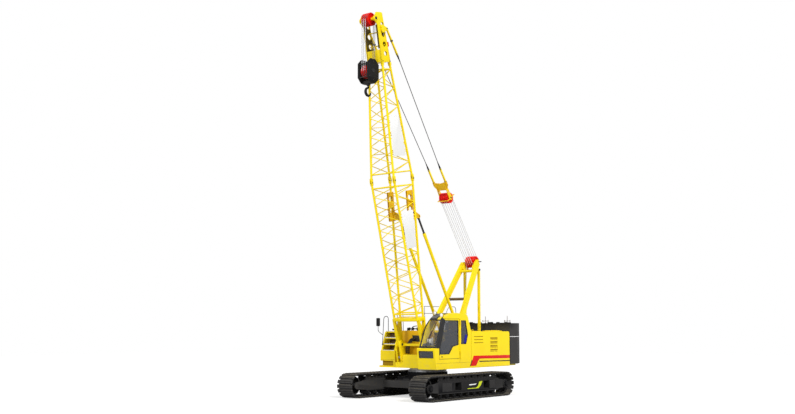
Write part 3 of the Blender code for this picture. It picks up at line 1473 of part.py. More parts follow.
def foot_section_shape():
    lug_start = FOOT_SECTION_LENGTH - JOINT_LUG
    tubes = lattice(BOX_BEAM_AT, lug_start + JOINT_LUG / 2, FOOT_SECTION_BAYS)
    parts = joint_lugs(lug_start, FOOT_SECTION_LENGTH)
    half_beam = BOX_BEAM_HEIGHT / 2
    reach = BOOM_HALF_WIDTH + CHORD_RADIUS
    depth = FOOT_HALF_DEPTH + CHORD_RADIUS
    parts.append(box((BOX_BEAM_AT - half_beam, -reach, -depth), (BOX_BEAM_AT + half_beam, reach, depth)))
    for side in (-1, 1):
        y = side * FOOT_SPREAD
        half = FOOT_EYE_WIDTH / 2
        outline = hull_outline(
            (
                (0, 0, FOOT_EYE_RADIUS),
                (BOX_BEAM_AT, half_beam - depth, CHORD_RADIUS),
                (BOX_BEAM_AT, depth - half_beam, CHORD_RADIUS),
            )
        )
        wide = LEG_OPENING_HALF
        opening = ((LEG_OPENING_START, 0), (LEG_OPENING_END, -wide), (LEG_OPENING_END, wide))
        parts.append(slab("Y", outline, y - half, y + half, [opening]))
        pin_reach = half + RUN_GAP + FOOT_CHEEK + CUT_OVERRUN
        parts.append(pin_y(0, 0, y - pin_reach, y + pin_reach, FOOT_PIN_RADIUS, FOOT_PIN_SIDES))
        parts.append(backstop_plate_shape(side))
    return union(*tubes, *parts)


def backstop_plate_shape(side):
    """The perforated plate under a rear chord, with the pivot of the backstop at its foot end."""
    y = side * STOP_SPREAD
    half = STOP_PLATE_WIDTH / 2
    near = chord_point(STOP_PLATE_START, side, 1).z
    far = chord_point(STOP_PLATE_END, side, 1).z
    outline = (
        (STOP_PLATE_START, near - STOP_PLATE_DEPTH),
        (STOP_PLATE_END, far - STOP_PLATE_DEPTH),
        (STOP_PLATE_END, far),
        (STOP_PLATE_START, near),
    )
    holes = []
    for share in STOP_HOLE_SHARES:
        x = blend(STOP_PLATE_START, STOP_PLATE_END, share)
        z = blend(near, far, share) - STOP_PLATE_DEPTH / 2
        holes.append(ring_points(x, z, STOP_HOLE_RADIUS))
    plate = slab("Y", outline, y - half, y + half, holes)
    ear_parts = []
    offset = STOP_EYE_WIDTH / 2 + RUN_GAP + HEAD_PLATE / 2
    for sign in (-1, 1):
        ear = hull_outline(
            (
                (STOP_AT, near - CHORD_RADIUS, STOP_EYE_RADIUS),
                (STOP_AT + STOP_EYE_RADIUS * 3, near - CHORD_RADIUS, STOP_EYE_RADIUS),
                (STOP_AT, STOP_OFFSET, STOP_EYE_RADIUS),
            )
        )
        low = y + sign * offset - HEAD_PLATE / 2
        ear_parts.append(slab("Y", ear, low, low + HEAD_PLATE))
    reach = offset + HEAD_PLATE / 2
    low = (STOP_AT + 2 * STOP_EYE_RADIUS, y - reach, near - CHORD_RADIUS - STOP_EYE_RADIUS)
    high = (STOP_AT + 3 * STOP_EYE_RADIUS, y + reach, near - CHORD_RADIUS + STOP_EYE_RADIUS)
    return union(plate, box(low, high), *ear_parts)


def top_section_shape():
    start = FOOT_SECTION_LENGTH + SEAT_GAP
    tubes = lattice(start + JOINT_LUG / 2, TOP_SECTION_END - JOINT_LUG / 2, TOP_SECTION_BAYS)
    ends = joint_lugs(start + JOINT_LUG, start) + joint_lugs(TOP_SECTION_END - JOINT_LUG, TOP_SECTION_END)
    return union(*tubes, *ends)


def head_plate_shape(side):
    """One side plate of the boom head, with its lightening holes."""
    low, high = sorted((side * HEAD_HALF_START, side * (HEAD_HALF_START - HEAD_PLATE)))
    under, over = TIP_UNDERSIDE - CHORD_RADIUS, TIP_UPPERSIDE + CHORD_RADIUS
    outline = rounded(
        (
            (HEAD_START, under, 0),
            (HEAD_SHEAVE_AT - HEAD_SHEAVE_RADIUS, under, 0),
            (HEAD_SHEAVE_AT, -HEAD_SHEAVE_DROP - 2 * HEAD_SHEAVE_BORE, HEAD_SHEAVE_BORE),
            (HEAD_END, under, HEAD_SHEAVE_BORE),
            (HEAD_END, over / 2, HEAD_SHEAVE_BORE),
            (HEAD_START, over, 0),
        )
    )
    holes = []
    for share, size in HEAD_HOLE_SHARES:
        at = blend(HEAD_START, HEAD_END, share)
        holes.append(ring_points(at, (under + over) / 2, size * HEAD_HOLE_RADIUS))
    return slab("Y", outline, low, high, holes)


def make_boom():
    frame = boom_frame()
    node("boom_foot_section", "boom", "yellow", foot_section_shape(), frame)
    node("boom_top_section", "boom", "yellow", top_section_shape(), frame)
    parts = [head_plate_shape(side) for side in (-1, 1)]
    reach = HEAD_HALF_START + CUT_OVERRUN
    parts.append(pin_y(HEAD_SHEAVE_AT, -HEAD_SHEAVE_DROP, -reach, reach, HEAD_SHEAVE_BORE))
    for at, z in ((HEAD_START + BOX_BEAM_HEIGHT, TIP_UPPERSIDE), (HEAD_END - BOX_BEAM_HEIGHT, TIP_UPPERSIDE / 3)):
        half = HEAD_HALF_START - HEAD_PLATE / 2
        parts.append(pin_y(at, z, -half, half, BATTEN_RADIUS))
    half = HEAD_HALF_START - HEAD_PLATE / 2
    crown_low = (HEAD_END - CROWN_LENGTH, -half, TIP_UPPERSIDE / 2 - CROWN_PLATE)
    parts.append(box(crown_low, (HEAD_END - CROWN_PLATE, half, TIP_UPPERSIDE / 2)))
    for side in (-1, 1):
        y = side * PENDANT_SPREAD
        half = STAY_LUG_PLATE / 2
        lug = hull_outline(
            (
                (STAY_LUG_AT - STAY_LUG_RADIUS, 0, STAY_LUG_RADIUS),
                (STAY_LUG_AT + STAY_LUG_RADIUS, 0, STAY_LUG_RADIUS),
                (STAY_LUG_AT, STAY_LUG_OFFSET, STAY_LUG_RADIUS),
            )
        )
        parts.append(slab("Y", lug, y - half, y + half))
        low, high = sorted((side * (HEAD_HALF_START - HEAD_PLATE), side * PENDANT_SPREAD))
        parts.append(pin_y(STAY_LUG_AT, 0, low, high, STAY_LUG_RADIUS))
    node("boom_head", "boom", "yellow", union(*parts), frame)
    make_sign_boards(frame)


def make_sign_boards(frame):
    """Blank boards on the boom's left flank, over its chords and sheared to lie along them."""
    for level, start_share, end_share in BOARD_SHARES:
        start, end = start_share * TOP_SECTION_END, end_share * TOP_SECTION_END
        corners = [chord_point(start, 1, -1), chord_point(end, 1, -1), chord_point(end, 1, 1)]
        corners.append(chord_point(start, 1, 1))
        outline = [(corner.x, corner.z) for corner in corners]
        board = slab("Y", outline, CHORD_RADIUS + SEAT_GAP, CHORD_RADIUS + SEAT_GAP + BOARD_THICKNESS)
        lean = (corners[1].y - corners[0].y) / (end - start)
        shear = Matrix.Identity(4)
        shear[1][0] = lean
        shear[1][3] = corners[0].y - lean * start
        node("sign_board_" + level, "boom", "white", moved(board, shear), frame)


# Stay line from the gantry to the boom head.


def stay_lug():
    return boom_frame() @ Vector((STAY_LUG_AT, 0, STAY_LUG_OFFSET))


def stay_frame():
    """A frame at the gantry sheaves' axis with X along the stays."""
    run = stay_lug() - Vector((GANTRY_SHEAVE_X, 0, GANTRY_SHEAVE_Z))
    angle = math.atan2(run.z, run.x)
    return Matrix.Translation((GANTRY_SHEAVE_X, 0, GANTRY_SHEAVE_Z)) @ Matrix.Rotation(-angle, 4, "Y")


def stay_length():
    return (stay_lug() - Vector((GANTRY_SHEAVE_X, 0, GANTRY_SHEAVE_Z))).length


def make_stays():
    frame = stay_frame()
    stack = (GANTRY_SHEAVE_RADIUS, GANTRY_SHAFT_RADIUS, GANTRY_SHEAVE_COUNT, GANTRY_SHEAVE_PITCH)
    node("gantry_sheaves", "luff_tackle", "red", sheaves(0, 0, *stack), frame)
    stack = (BRIDLE_SHEAVE_RADIUS, GANTRY_SHAFT_RADIUS, GANTRY_SHEAVE_COUNT, GANTRY_SHEAVE_PITCH)
    node("bridle_sheaves", "bridle", "red", sheaves(BRIDLE_AT, 0, *stack), frame)
    yoke_at = BRIDLE_AT + BRIDLE_LINK_LENGTH
    half_stack = GANTRY_SHEAVE_COUNT * GANTRY_SHEAVE_PITCH / 2
    parts = []
    for side in (-1, 1):
        low, high = sorted((side * (half_stack + PIN_GAP), side * (half_stack + PIN_GAP + HEAD_PLATE)))
        link = hull_outline(((BRIDLE_AT, 0, 2 * GANTRY_SHAFT_RADIUS), (yoke_at, 0, GANTRY_SHAFT_RADIUS)))
        parts.append(slab("Y", link, low, high))
    reach = half_stack + HEAD_PLATE
    parts.append(pin_y(BRIDLE_AT, 0, -reach, reach, GANTRY_SHAFT_RADIUS))
    top, half = yoke_at + YOKE_DEPTH / 2, YOKE_HALF + SOCKET_RADIUS
    yoke = rounded(
        (
            (top, half, 0),
            (top, half - YOKE_END, 0),
            (top - YOKE_SAG, 0, YOKE_CURVE_RADIUS),
            (top, YOKE_END - half, 0),
            (top, -half, 0),
            (top - YOKE_DEPTH, -half, YOKE_PLATE),
            (top - YOKE_THROAT, -half_stack, YOKE_PLATE),
            (top - YOKE_THROAT, half_stack, YOKE_PLATE),
            (top - YOKE_DEPTH, half, YOKE_PLATE),
        )
    )
    parts.append(slab("Z", yoke, -YOKE_PLATE / 2, YOKE_PLATE / 2))
    node("bridle_yoke", "bridle", "yellow", union(*parts), frame)
    for side, name in ((1, "left"), (-1, "right")):
        node("pendant_" + name, "bridle", "steel", pendant_shape(side, yoke_at + YOKE_DEPTH / 2 + SEAT_GAP), frame)


def pendant_shape(side, start):
    """A stay from the yoke to the head's lug, with a link bar and a socket at each end."""
    eye_y = PENDANT_SPREAD + STAY_LUG_PLATE / 2 + PIN_GAP + STAY_LUG_PLATE / 2
    end = stay_length()
    y = side * eye_y
    link_end = start + LINK_BAR_LENGTH
    far_link = end - STAY_LUG_RADIUS - LINK_BAR_LENGTH
    parts = [rod((start, y, 0), (link_end, y, 0), LINK_BAR_RADIUS, CHORD_SIDES)]
    parts.append(rod((link_end - CUT_OVERRUN, y, 0), (link_end + SOCKET_LENGTH, y, 0), SOCKET_RADIUS, CHORD_SIDES))
    parts.append(rod((link_end, y, 0), (far_link, y, 0), PENDANT_RADIUS, LACE_SIDES))
    parts.append(rod((far_link - SOCKET_LENGTH, y, 0), (far_link + CUT_OVERRUN, y, 0), SOCKET_RADIUS, CHORD_SIDES))
    half = STAY_LUG_PLATE / 2
    eye = hull_outline(((far_link, 0, LINK_BAR_RADIUS), (end, 0, STAY_LUG_RADIUS)))
    parts.append(slab("Y", eye, y - half, y + half))
    return union(*parts)


# Backstops.


def stop_pivot():
    return boom_frame() @ Vector((STOP_AT, 0, STOP_OFFSET))


def stop_frame():
    """A frame at the backstops' foot pins with X towards their pivots on the boom."""
    run = stop_pivot() - Vector((STOP_BASE_X, 0, STOP_BASE_Z))
    angle = math.atan2(run.z, run.x)
    return Matrix.Translation((STOP_BASE_X, 0, STOP_BASE_Z)) @ Matrix.Rotation(-angle, 4, "Y")


def stop_length():
    return (stop_pivot() - Vector((STOP_BASE_X, 0, STOP_BASE_Z))).length


def backstop_tube(side):
    y = side * STOP_SPREAD
    inner = STOP_ROD_RADIUS + RUN_GAP
    profile = (
        (STOP_TUBE_RADIUS, STOP_TUBE_LENGTH),
        (STOP_TUBE_RADIUS, STOP_EYE_RADIUS),
        (0, STOP_EYE_RADIUS),
        (0, 2 * STOP_EYE_RADIUS),
        (inner, 2 * STOP_EYE_RADIUS),
        (inner, STOP_TUBE_LENGTH),
    )
    matrix = Matrix.Translation((0, y, 0)) @ Matrix.Rotation(math.pi / 2, 4, "Y")
    tube = turned(profile, matrix, ROUND_SIDES)
    half = STOP_EYE_WIDTH / 2
    neck = hull_outline(((0, 0, STOP_EYE_RADIUS), (STOP_NECK, 0, STOP_ROD_RADIUS)))
    eye = slab("Y", neck, y - half, y + half)
    reach = half + RUN_GAP + DRUM_STAND
    pin = pin_y(0, 0, y - reach, y + reach, STOP_PIN_RADIUS)
    return union(tube, eye, pin)


def backstop_rod(side):
    y = side * STOP_SPREAD
    end = stop_length()
    start = STOP_TUBE_LENGTH - STOP_ROD_INSERT
    half = STOP_EYE_WIDTH / 2
    shaft = rod((start, y, 0), (end, y, 0), STOP_ROD_RADIUS)
    eye = slab("Y", ring_points(end, 0, STOP_ROD_EYE_RADIUS), y - half, y + half)
    reach = half + RUN_GAP - SEAT_GAP
    pin = pin_y(end, 0, y - reach, y + reach, STOP_PIN_RADIUS)
    return union(shaft, eye, pin)


def make_backstops():
    frame = stop_frame()
    for side, name in ((1, "left"), (-1, "right")):
        node("backstop_tube_" + name, "backstop_tubes", "yellow", backstop_tube(side), frame)
        node("backstop_rod_" + name, "backstop_rods", "black", backstop_rod(side), frame)


# Hoist line: head sheaves, rope and hook block.


def head_axis():
    return boom_frame() @ Vector((HEAD_SHEAVE_AT, 0, -HEAD_SHEAVE_DROP))


def make_hoist():
    centre = head_axis()
    stack = (HEAD_SHEAVE_RADIUS, HEAD_SHEAVE_BORE, HEAD_SHEAVE_COUNT, SHEAVE_PITCH)
    node("head_sheaves", "falls", "red", sheaves(centre.x, centre.z, *stack))
    block_z = centre.z - BLOCK_DROP
    stack = (BLOCK_SHEAVE_RADIUS, BLOCK_SHAFT_RADIUS, HEAD_SHEAVE_COUNT, SHEAVE_PITCH)
    node("block_sheaves", "hook_block", "red", sheaves(centre.x, block_z, *stack))
    node("hoist_rope", "falls", "steel", rope_shape(centre.x, centre.z, block_z))
    node("hook_block", "hook_block", "dark_grey", block_shape(centre.x, block_z))
    node("hook", "hook", "dark_grey", hook_shape(centre.x, block_z - CHEEK_HALF_HEIGHT))


def rope_shape(x, head_z, block_z):
    """One rope led over the head sheaves and under the block's sheaves in turn."""
    clear = (ROPE_RADIUS + SEAT_GAP) / math.cos(math.pi / FINE_SIDES)
    head_reach = HEAD_SHEAVE_RADIUS - GROOVE_DEPTH + clear
    block_reach = BLOCK_SHEAVE_RADIUS - GROOVE_DEPTH + clear
    first_y = -(HEAD_SHEAVE_COUNT - 1) * SHEAVE_PITCH / 2
    points = []
    for index in range(HEAD_SHEAVE_COUNT):
        y = first_y + index * SHEAVE_PITCH
        if index:
            points += half_turn(x, y, head_z, head_reach, 1)
        if index < HEAD_SHEAVE_COUNT - 1:
            points += half_turn(x, y, block_z, block_reach, -1)
        else:
            points.append((x + block_reach, y, block_z))
    return pipe(points, ROPE_RADIUS, 0)


def half_turn(x, y, z, reach, upward):
    """Rope points over a sheave from its rear to its front, or under one from its front to its rear."""
    steps = FINE_SIDES // 2
    points = []
    for step in range(steps + 1):
        angle = math.pi * (1 - step / steps)
        points.append((x + upward * reach * math.cos(angle), y, z + upward * reach * math.sin(angle)))
    return points


def block_shape(x, z):
    parts = []
    outline = []
    wide, high, chamfer = CHEEK_HALF_WIDTH, CHEEK_HALF_HEIGHT, CHEEK_CHAMFER
    for across, up in ((1, -1), (1, 1), (-1, 1), (-1, -1)):
        corner = ((x + across * wide, z + up * (high - chamfer)), (x + across * (wide - chamfer), z + up * high))
        outline += corner if across * up > 0 else reversed(corner)
    for side in (-1, 1):
        outer = side * BLOCK_HALF_THICKNESS
        low, upper = sorted((outer, outer - side * CHEEK_THICKNESS))
        parts.append(slab("Y", outline, low, upper))
    reach = BLOCK_HALF_THICKNESS + CROSSHEAD_INSET
    parts.append(pin_y(x, z, -reach, reach, BLOCK_SHAFT_RADIUS))
    reach = BLOCK_HALF_THICKNESS
    bottom = z - CHEEK_HALF_HEIGHT
    half = CHEEK_CHAMFER / 2
    inner = reach - CROSSHEAD_INSET
    parts.append(box((x - half, -inner, bottom - CROSSHEAD_DROP), (x + half, inner, bottom + half)))
    return union(*parts)


def hook_shape(x, z):
    """A forged hook hanging from its swivel, seen from the side."""
    top = z - CROSSHEAD_DROP - PIN_GAP
    bowl_z = top - HOOK_SHANK - HOOK_BOWL_RADIUS
    points = [(x, 0, top, 1.0), (x, 0, top - HOOK_SHANK / 2, HOOK_NECK_SHARE)]
    for share, thick in HOOK_SHARES:
        angle = math.pi / 2 - 2 * math.pi * share
        reach = HOOK_BOWL_RADIUS
        points.append((x + reach * math.cos(angle), 0, bowl_z + reach * math.sin(angle), thick))
    return union(
        pipe(points, HOOK_THICKNESS),
        rod((x, 0, top), (x, 0, top - HOOK_THICKNESS), SWIVEL_RADIUS),
    )


def place_on_origin(root):
    """Slides the machine along X until the middle of its outline is above the origin."""
    bpy.context.view_layer.update()
    reach = []
    for obj in MACHINE.objects:
        if obj.type == "MESH":
            reach += [(obj.matrix_world @ vertex.co).x for vertex in obj.data.vertices]
    root.location.x = -(min(reach) + max(reach)) / 2
    bpy.context.view_layer.update()


def make_bodies():
    """The joint tree, as empties on their axes."""
    root = body("root", None, Matrix.Identity(4))
    body("upper", "root", Matrix.Translation((0, 0, DECK_BOTTOM)))
    body("boom", "upper", boom_frame())
    body("falls", "boom", Matrix.Translation(head_axis()))
    block = head_axis() - Vector((0, 0, BLOCK_DROP))
    body("hook_block", "falls", Matrix.Translation(block))
    body("hook", "hook_block", Matrix.Translation(block - Vector((0, 0, CHEEK_HALF_HEIGHT))))
    body("luff_tackle", "upper", stay_frame())
    body("bridle", "luff_tackle", stay_frame() @ Matrix.Translation((BRIDLE_AT, 0, 0)))
    body("backstop_tubes", "upper", stop_frame())
    body("backstop_rods", "backstop_tubes", stop_frame() @ Matrix.Translation((stop_length(), 0, 0)))
    hinge = (HINGE_X, CAB_OUTER_Y + DOOR_HINGE_OUT, DOOR_BOTTOM)
    body("cab_door", "upper", Matrix.Translation(hinge))
    return root


clear_scene()
BENCH = new_collection("bench")
MACHINE = new_collection("crawler_crane")
NODE_PAINTS = {}
crane_root = make_bodies()
make_carbody()
for crawler_name, crawler_side in (("left", 1), ("right", -1)):
    make_crawler(crawler_name, crawler_side)
make_platform()
make_counterweight()
make_houses()
make_step_tower()
make_cab()
make_door()
make_gantry()
make_boom()
make_stays()
make_backstops()
make_hoist()
place_on_origin(crane_root)
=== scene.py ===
"""The looks of a crawler crane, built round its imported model, in metres and +Z up.

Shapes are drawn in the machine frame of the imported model: X forward, Y to the left, where the cab is, and Z up
from the ground, with the slewing axis at X = Y = 0. The boom, the stays and the backstops have frames of their
own, with X along them.
"""

import json
import math

import bmesh
import bpy
from mathutils import Matrix, Vector


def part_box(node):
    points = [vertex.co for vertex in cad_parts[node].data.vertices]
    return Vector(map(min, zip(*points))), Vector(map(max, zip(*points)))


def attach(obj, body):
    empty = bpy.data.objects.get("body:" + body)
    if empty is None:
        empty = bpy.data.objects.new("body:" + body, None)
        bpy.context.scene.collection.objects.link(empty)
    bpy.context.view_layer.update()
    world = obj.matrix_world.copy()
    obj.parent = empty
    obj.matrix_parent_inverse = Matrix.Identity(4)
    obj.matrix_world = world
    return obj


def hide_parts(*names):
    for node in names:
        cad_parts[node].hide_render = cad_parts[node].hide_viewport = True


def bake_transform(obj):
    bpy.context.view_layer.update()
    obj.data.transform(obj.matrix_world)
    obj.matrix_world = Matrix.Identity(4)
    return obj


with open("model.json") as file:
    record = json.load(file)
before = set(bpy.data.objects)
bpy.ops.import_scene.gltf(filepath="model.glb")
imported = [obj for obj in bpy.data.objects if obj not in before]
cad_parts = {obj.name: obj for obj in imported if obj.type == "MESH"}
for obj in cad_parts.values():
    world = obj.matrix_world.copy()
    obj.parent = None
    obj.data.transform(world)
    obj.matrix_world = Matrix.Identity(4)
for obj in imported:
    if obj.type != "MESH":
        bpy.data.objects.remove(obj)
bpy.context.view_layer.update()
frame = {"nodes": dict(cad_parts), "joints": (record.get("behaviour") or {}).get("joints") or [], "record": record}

JOINTS = {joint["name"]: joint for joint in frame["joints"]}
SLEW = Vector(JOINTS["slew"]["pos_m"])
MACHINE = Matrix.Translation((SLEW.x, SLEW.y, 0))

# Camera, as measured from the photograph: its place in the machine frame, its heading and its lens.
PHOTO_WIDTH = 795
PHOTO_HEIGHT = 414
CAMERA_PLACE = (32.1424, 24.7265, 2.7935)
CAMERA_YAW = 3.8207
CAMERA_PITCH = 0.1369
FOCAL_PIXELS = 1003.1664
CENTRE_PIXEL = (403.68, 187.20)
SENSOR_WIDTH = 36.0


def make_camera():
    """The camera that took the photograph."""
    data = bpy.data.cameras.new("camera")
    camera = bpy.data.objects.new("camera", data)
    bpy.context.scene.collection.objects.link(camera)
    forward = Vector(
        (
            math.cos(CAMERA_YAW) * math.cos(CAMERA_PITCH),
            math.sin(CAMERA_YAW) * math.cos(CAMERA_PITCH),
            math.sin(CAMERA_PITCH),
        )
    )
    right = Vector((math.sin(CAMERA_YAW), -math.cos(CAMERA_YAW), 0))
    turn = Matrix((right, right.cross(forward), -forward)).transposed().to_4x4()
    camera.matrix_world = MACHINE @ Matrix.Translation(CAMERA_PLACE) @ turn
    data.sensor_width = SENSOR_WIDTH
    data.lens = SENSOR_WIDTH * FOCAL_PIXELS / PHOTO_WIDTH
    data.shift_x = (PHOTO_WIDTH / 2 - CENTRE_PIXEL[0]) / PHOTO_WIDTH
    data.shift_y = (CENTRE_PIXEL[1] - PHOTO_HEIGHT / 2) / PHOTO_WIDTH
    data.clip_end = 500
    bpy.context.scene.camera = camera


# Light, floor and backdrop.
WORLD_STRENGTH = 0.62
SUN_STRENGTH = 2.3
SUN_ANGLE_DEG = 12.0
SUN_FROM = (0.35, 1.0, 0.85)
FILL_STRENGTH = 0.95
FILL_FROM = (1.0, -0.1, 0.35)
FLOOR_SIZE = 120.0
FLOOR_GREY = 0.50
FLOOR_GLOW = 0.56


def make_world():
    """A white surrounding that lights the machine less than it shows."""
    world = bpy.data.worlds.new("studio")
    bpy.context.scene.world = world
    world.use_nodes = True
    nodes, links = world.node_tree.nodes, world.node_tree.links
    light = nodes["Background"]
    light.inputs["Color"].default_value = (1, 1, 1, 1)
    light.inputs["Strength"].default_value = WORLD_STRENGTH
    seen = nodes.new("ShaderNodeBackground")
    seen.inputs["Color"].default_value = (1, 1, 1, 1)
    seen.inputs["Strength"].default_value = 1.0
    path = nodes.new("ShaderNodeLightPath")
    either = nodes.new("ShaderNodeMath")
    either.operation = "MAXIMUM"
    links.new(path.outputs["Is Camera Ray"], either.inputs[0])
    links.new(path.outputs["Is Transmission Ray"], either.inputs[1])
    mix = nodes.new("ShaderNodeMixShader")
    links.new(either.outputs[0], mix.inputs[0])
    links.new(light.outputs[0], mix.inputs[1])
    links.new(seen.outputs[0], mix.inputs[2])
    links.new(mix.outputs[0], nodes["World Output"].inputs["Surface"])


def make_sun(name, strength, comes_from, angle_deg):
    """A sun lamp that shines from this direction."""
    data = bpy.data.lights.new(name, "SUN")
    data.energy = strength
    data.angle = math.radians(angle_deg)
    sun = bpy.data.objects.new(name, data)
    sun.rotation_euler = Vector(comes_from).to_track_quat("Z", "Y").to_euler()
    bpy.context.scene.collection.objects.link(sun)


def make_floor():
    """A pale floor that glows enough to look white where no shadow lies."""
    bm = bmesh.new()
    bmesh.ops.create_grid(bm, x_segments=1, y_segments=1, size=FLOOR_SIZE / 2)
    mesh = bpy.data.meshes.new("floor")
    bm.to_mesh(mesh)
    bm.free()
    floor = bpy.data.objects.new("floor", mesh)
    bpy.context.scene.collection.objects.link(floor)
    material = bpy.data.materials.new("floor")
    material.use_nodes = True
    nodes, links = material.node_tree.nodes, material.node_tree.links
    shader = nodes["Principled BSDF"]
    shader.inputs["Base Color"].default_value = (FLOOR_GREY, FLOOR_GREY, FLOOR_GREY, 1)
    shader.inputs["Roughness"].default_value = 0.9
    shader.inputs["Specular IOR Level"].default_value = 0.0
    glow = nodes.new("ShaderNodeEmission")
    path = nodes.new("ShaderNodeLightPath")
    scale = nodes.new("ShaderNodeMath")
    scale.operation = "MULTIPLY"
    scale.inputs[1].default_value = FLOOR_GLOW
    links.new(path.outputs["Is Camera Ray"], scale.inputs[0])
    links.new(scale.outputs[0], glow.inputs["Strength"])
    both = nodes.new("ShaderNodeAddShader")
    links.new(shader.outputs[0], both.inputs[0])
    links.new(glow.outputs[0], both.inputs[1])
    links.new(both.outputs[0], nodes["Material Output"].inputs["Surface"])
    mesh.materials.append(material)


# Materials. Every finish is a Principled shader with noise for its colour, its roughness and its relief.


class Finish:
    """A node material under construction."""

    def __init__(self, name, roughness, metallic=0.0, coat=0.0, specular=0.5):
        self.material = bpy.data.materials.new(name)
        self.material.use_nodes = True
        self.nodes = self.material.node_tree.nodes
        self.links = self.material.node_tree.links
        self.shader = self.nodes["Principled BSDF"]
        self.shader.inputs["Roughness"].default_value = roughness
        self.shader.inputs["Metallic"].default_value = metallic
        self.shader.inputs["Coat Weight"].default_value = coat
        self.shader.inputs["Coat Roughness"].default_value = 0.12
        self.shader.inputs["Specular IOR Level"].default_value = specular
        self.place = self.nodes.new("ShaderNodeTexCoord").outputs["Object"]

    def noise(self, scale, detail=3.0, stretch=None):
        """A noise value from 0 to 1 over the piece, with features about 1 / scale metres across."""
        texture = self.nodes.new("ShaderNodeTexNoise")
        texture.inputs["Scale"].default_value = scale
        texture.inputs["Detail"].default_value = detail
        place = self.place
        if stretch:
            mapping = self.nodes.new("ShaderNodeMapping")
            mapping.inputs["Scale"].default_value = stretch
            self.links.new(self.place, mapping.inputs["Vector"])
            place = mapping.outputs[0]
        self.links.new(place, texture.inputs["Vector"])
        return texture.outputs["Fac"]

    def span(self, value, low, high, to_low=0.0, to_high=1.0):
        """The value, mapped from low..high to to_low..to_high and clamped."""
        node = self.nodes.new("ShaderNodeMapRange")
        node.inputs["From Min"].default_value = low
        node.inputs["From Max"].default_value = high
        node.inputs["To Min"].default_value = to_low
        node.inputs["To Max"].default_value = to_high
        self.links.new(value, node.inputs["Value"])
        return node.outputs["Result"]

    def times(self, first, second):
        """Two values multiplied."""
        node = self.nodes.new("ShaderNodeMath")
        node.operation = "MULTIPLY"
        self.links.new(first, node.inputs[0])
        self.links.new(second, node.inputs[1])
        return node.outputs[0]

    def height(self):
        """How high a point lies above the ground, in metres."""
        split = self.nodes.new("ShaderNodeSeparateXYZ")
        self.links.new(self.place, split.inputs[0])
        return split.outputs["Z"]

    def facing_up(self):
        """From -1 where a face looks down to 1 where it looks up."""
        geometry = self.nodes.new("ShaderNodeNewGeometry")
        split = self.nodes.new("ShaderNodeSeparateXYZ")
        self.links.new(geometry.outputs["Normal"], split.inputs[0])
        return split.outputs["Z"]

    def edges(self):
        """Near 1 on outward edges and near 0 in corners."""
        return self.nodes.new("ShaderNodeNewGeometry").outputs["Pointiness"]

    def tint(self, base, *layers):
        """The base colour under layers of (colour, how much of it shows)."""
        colour = base
        for over, share in layers:
            mix = self.nodes.new("ShaderNodeMix")
            mix.data_type = "RGBA"
            self.links.new(share, mix.inputs["Factor"])
            if isinstance(colour, tuple):
                mix.inputs["A"].default_value = (*colour, 1)
            else:
                self.links.new(colour, mix.inputs["A"])
            mix.inputs["B"].default_value = (*over, 1)
            colour = mix.outputs["Result"]
        if isinstance(colour, tuple):
            self.shader.inputs["Base Color"].default_value = (*colour, 1)
        else:
            self.links.new(colour, self.shader.inputs["Base Color"])

    def rough(self, value):
        """Roughness from a value."""
        self.links.new(value, self.shader.inputs["Roughness"])

    def relief(self, value, distance, strength=1.0):
        """Fine bumps from a value, this many metres high."""
        bump = self.nodes.new("ShaderNodeBump")
        bump.inputs["Distance"].default_value = distance
        bump.inputs["Strength"].default_value = strength
        self.links.new(value, bump.inputs["Height"])
        self.links.new(bump.outputs[0], self.shader.inputs["Normal"])


YELLOW = (0.95, 0.73, 0.004)
YELLOW_SHADE = (0.88, 0.62, 0.003)
DUST = (0.42, 0.34, 0.20)
KHAKI = (0.150, 0.125, 0.080)
WORN_STEEL = (0.14, 0.135, 0.13)


def paint(name, base, shade, roughness, dust_top=0.0, coat=0.06):
    """Machine paint: broad shade changes, a fine orange-peel surface and some dust low down."""
    finish = Finish(name, roughness, coat=coat, specular=0.22)
    broad = finish.span(finish.noise(1.3, 4.0), 0.42, 0.75, 0.0, 0.55)
    layers = [(shade, broad)]
    if dust_top:
        low = finish.span(finish.height(), 0.2, dust_top, 1.0, 0.0)
        grain = finish.span(finish.noise(9.0, 6.0), 0.45, 0.75, 0.0, 0.45)
        layers.append((DUST, finish.times(low, grain)))
    finish.tint(base, *layers)
    finish.rough(finish.span(finish.noise(7.0, 5.0), 0.3, 0.7, roughness - 0.06, roughness + 0.10))
    finish.relief(finish.noise(260.0, 2.0), 0.0004, 0.35)
    return finish.material


def dark_steel(name, base, roughness, dust=0.5, grain=120.0):
    """Cast or rolled steel in dark paint, rough, with dust lying on what faces up and bare wear on its edges."""
    finish = Finish(name, roughness, specular=0.10)
    lies = finish.span(finish.facing_up(), 0.55, 0.95, 0.0, dust)
    patch = finish.span(finish.noise(6.0, 6.0), 0.35, 0.65, 0.35, 1.0)
    worn = finish.span(finish.edges(), 0.53, 0.60, 0.0, 0.35)
    lighter = tuple(min(1.0, 1.6 * part + 0.002) for part in base)
    blotch = finish.span(finish.noise(14.0, 5.0), 0.45, 0.75, 0.0, 0.6)
    finish.tint(base, (lighter, blotch), (KHAKI, finish.times(lies, patch)), (WORN_STEEL, worn))
    finish.rough(finish.span(finish.noise(11.0, 5.0), 0.3, 0.7, roughness - 0.1, roughness + 0.12))
    finish.relief(finish.noise(grain, 4.0), 0.0015, 0.5)
    return finish.material


ROPE_GAP = (0.10, 0.10, 0.11)


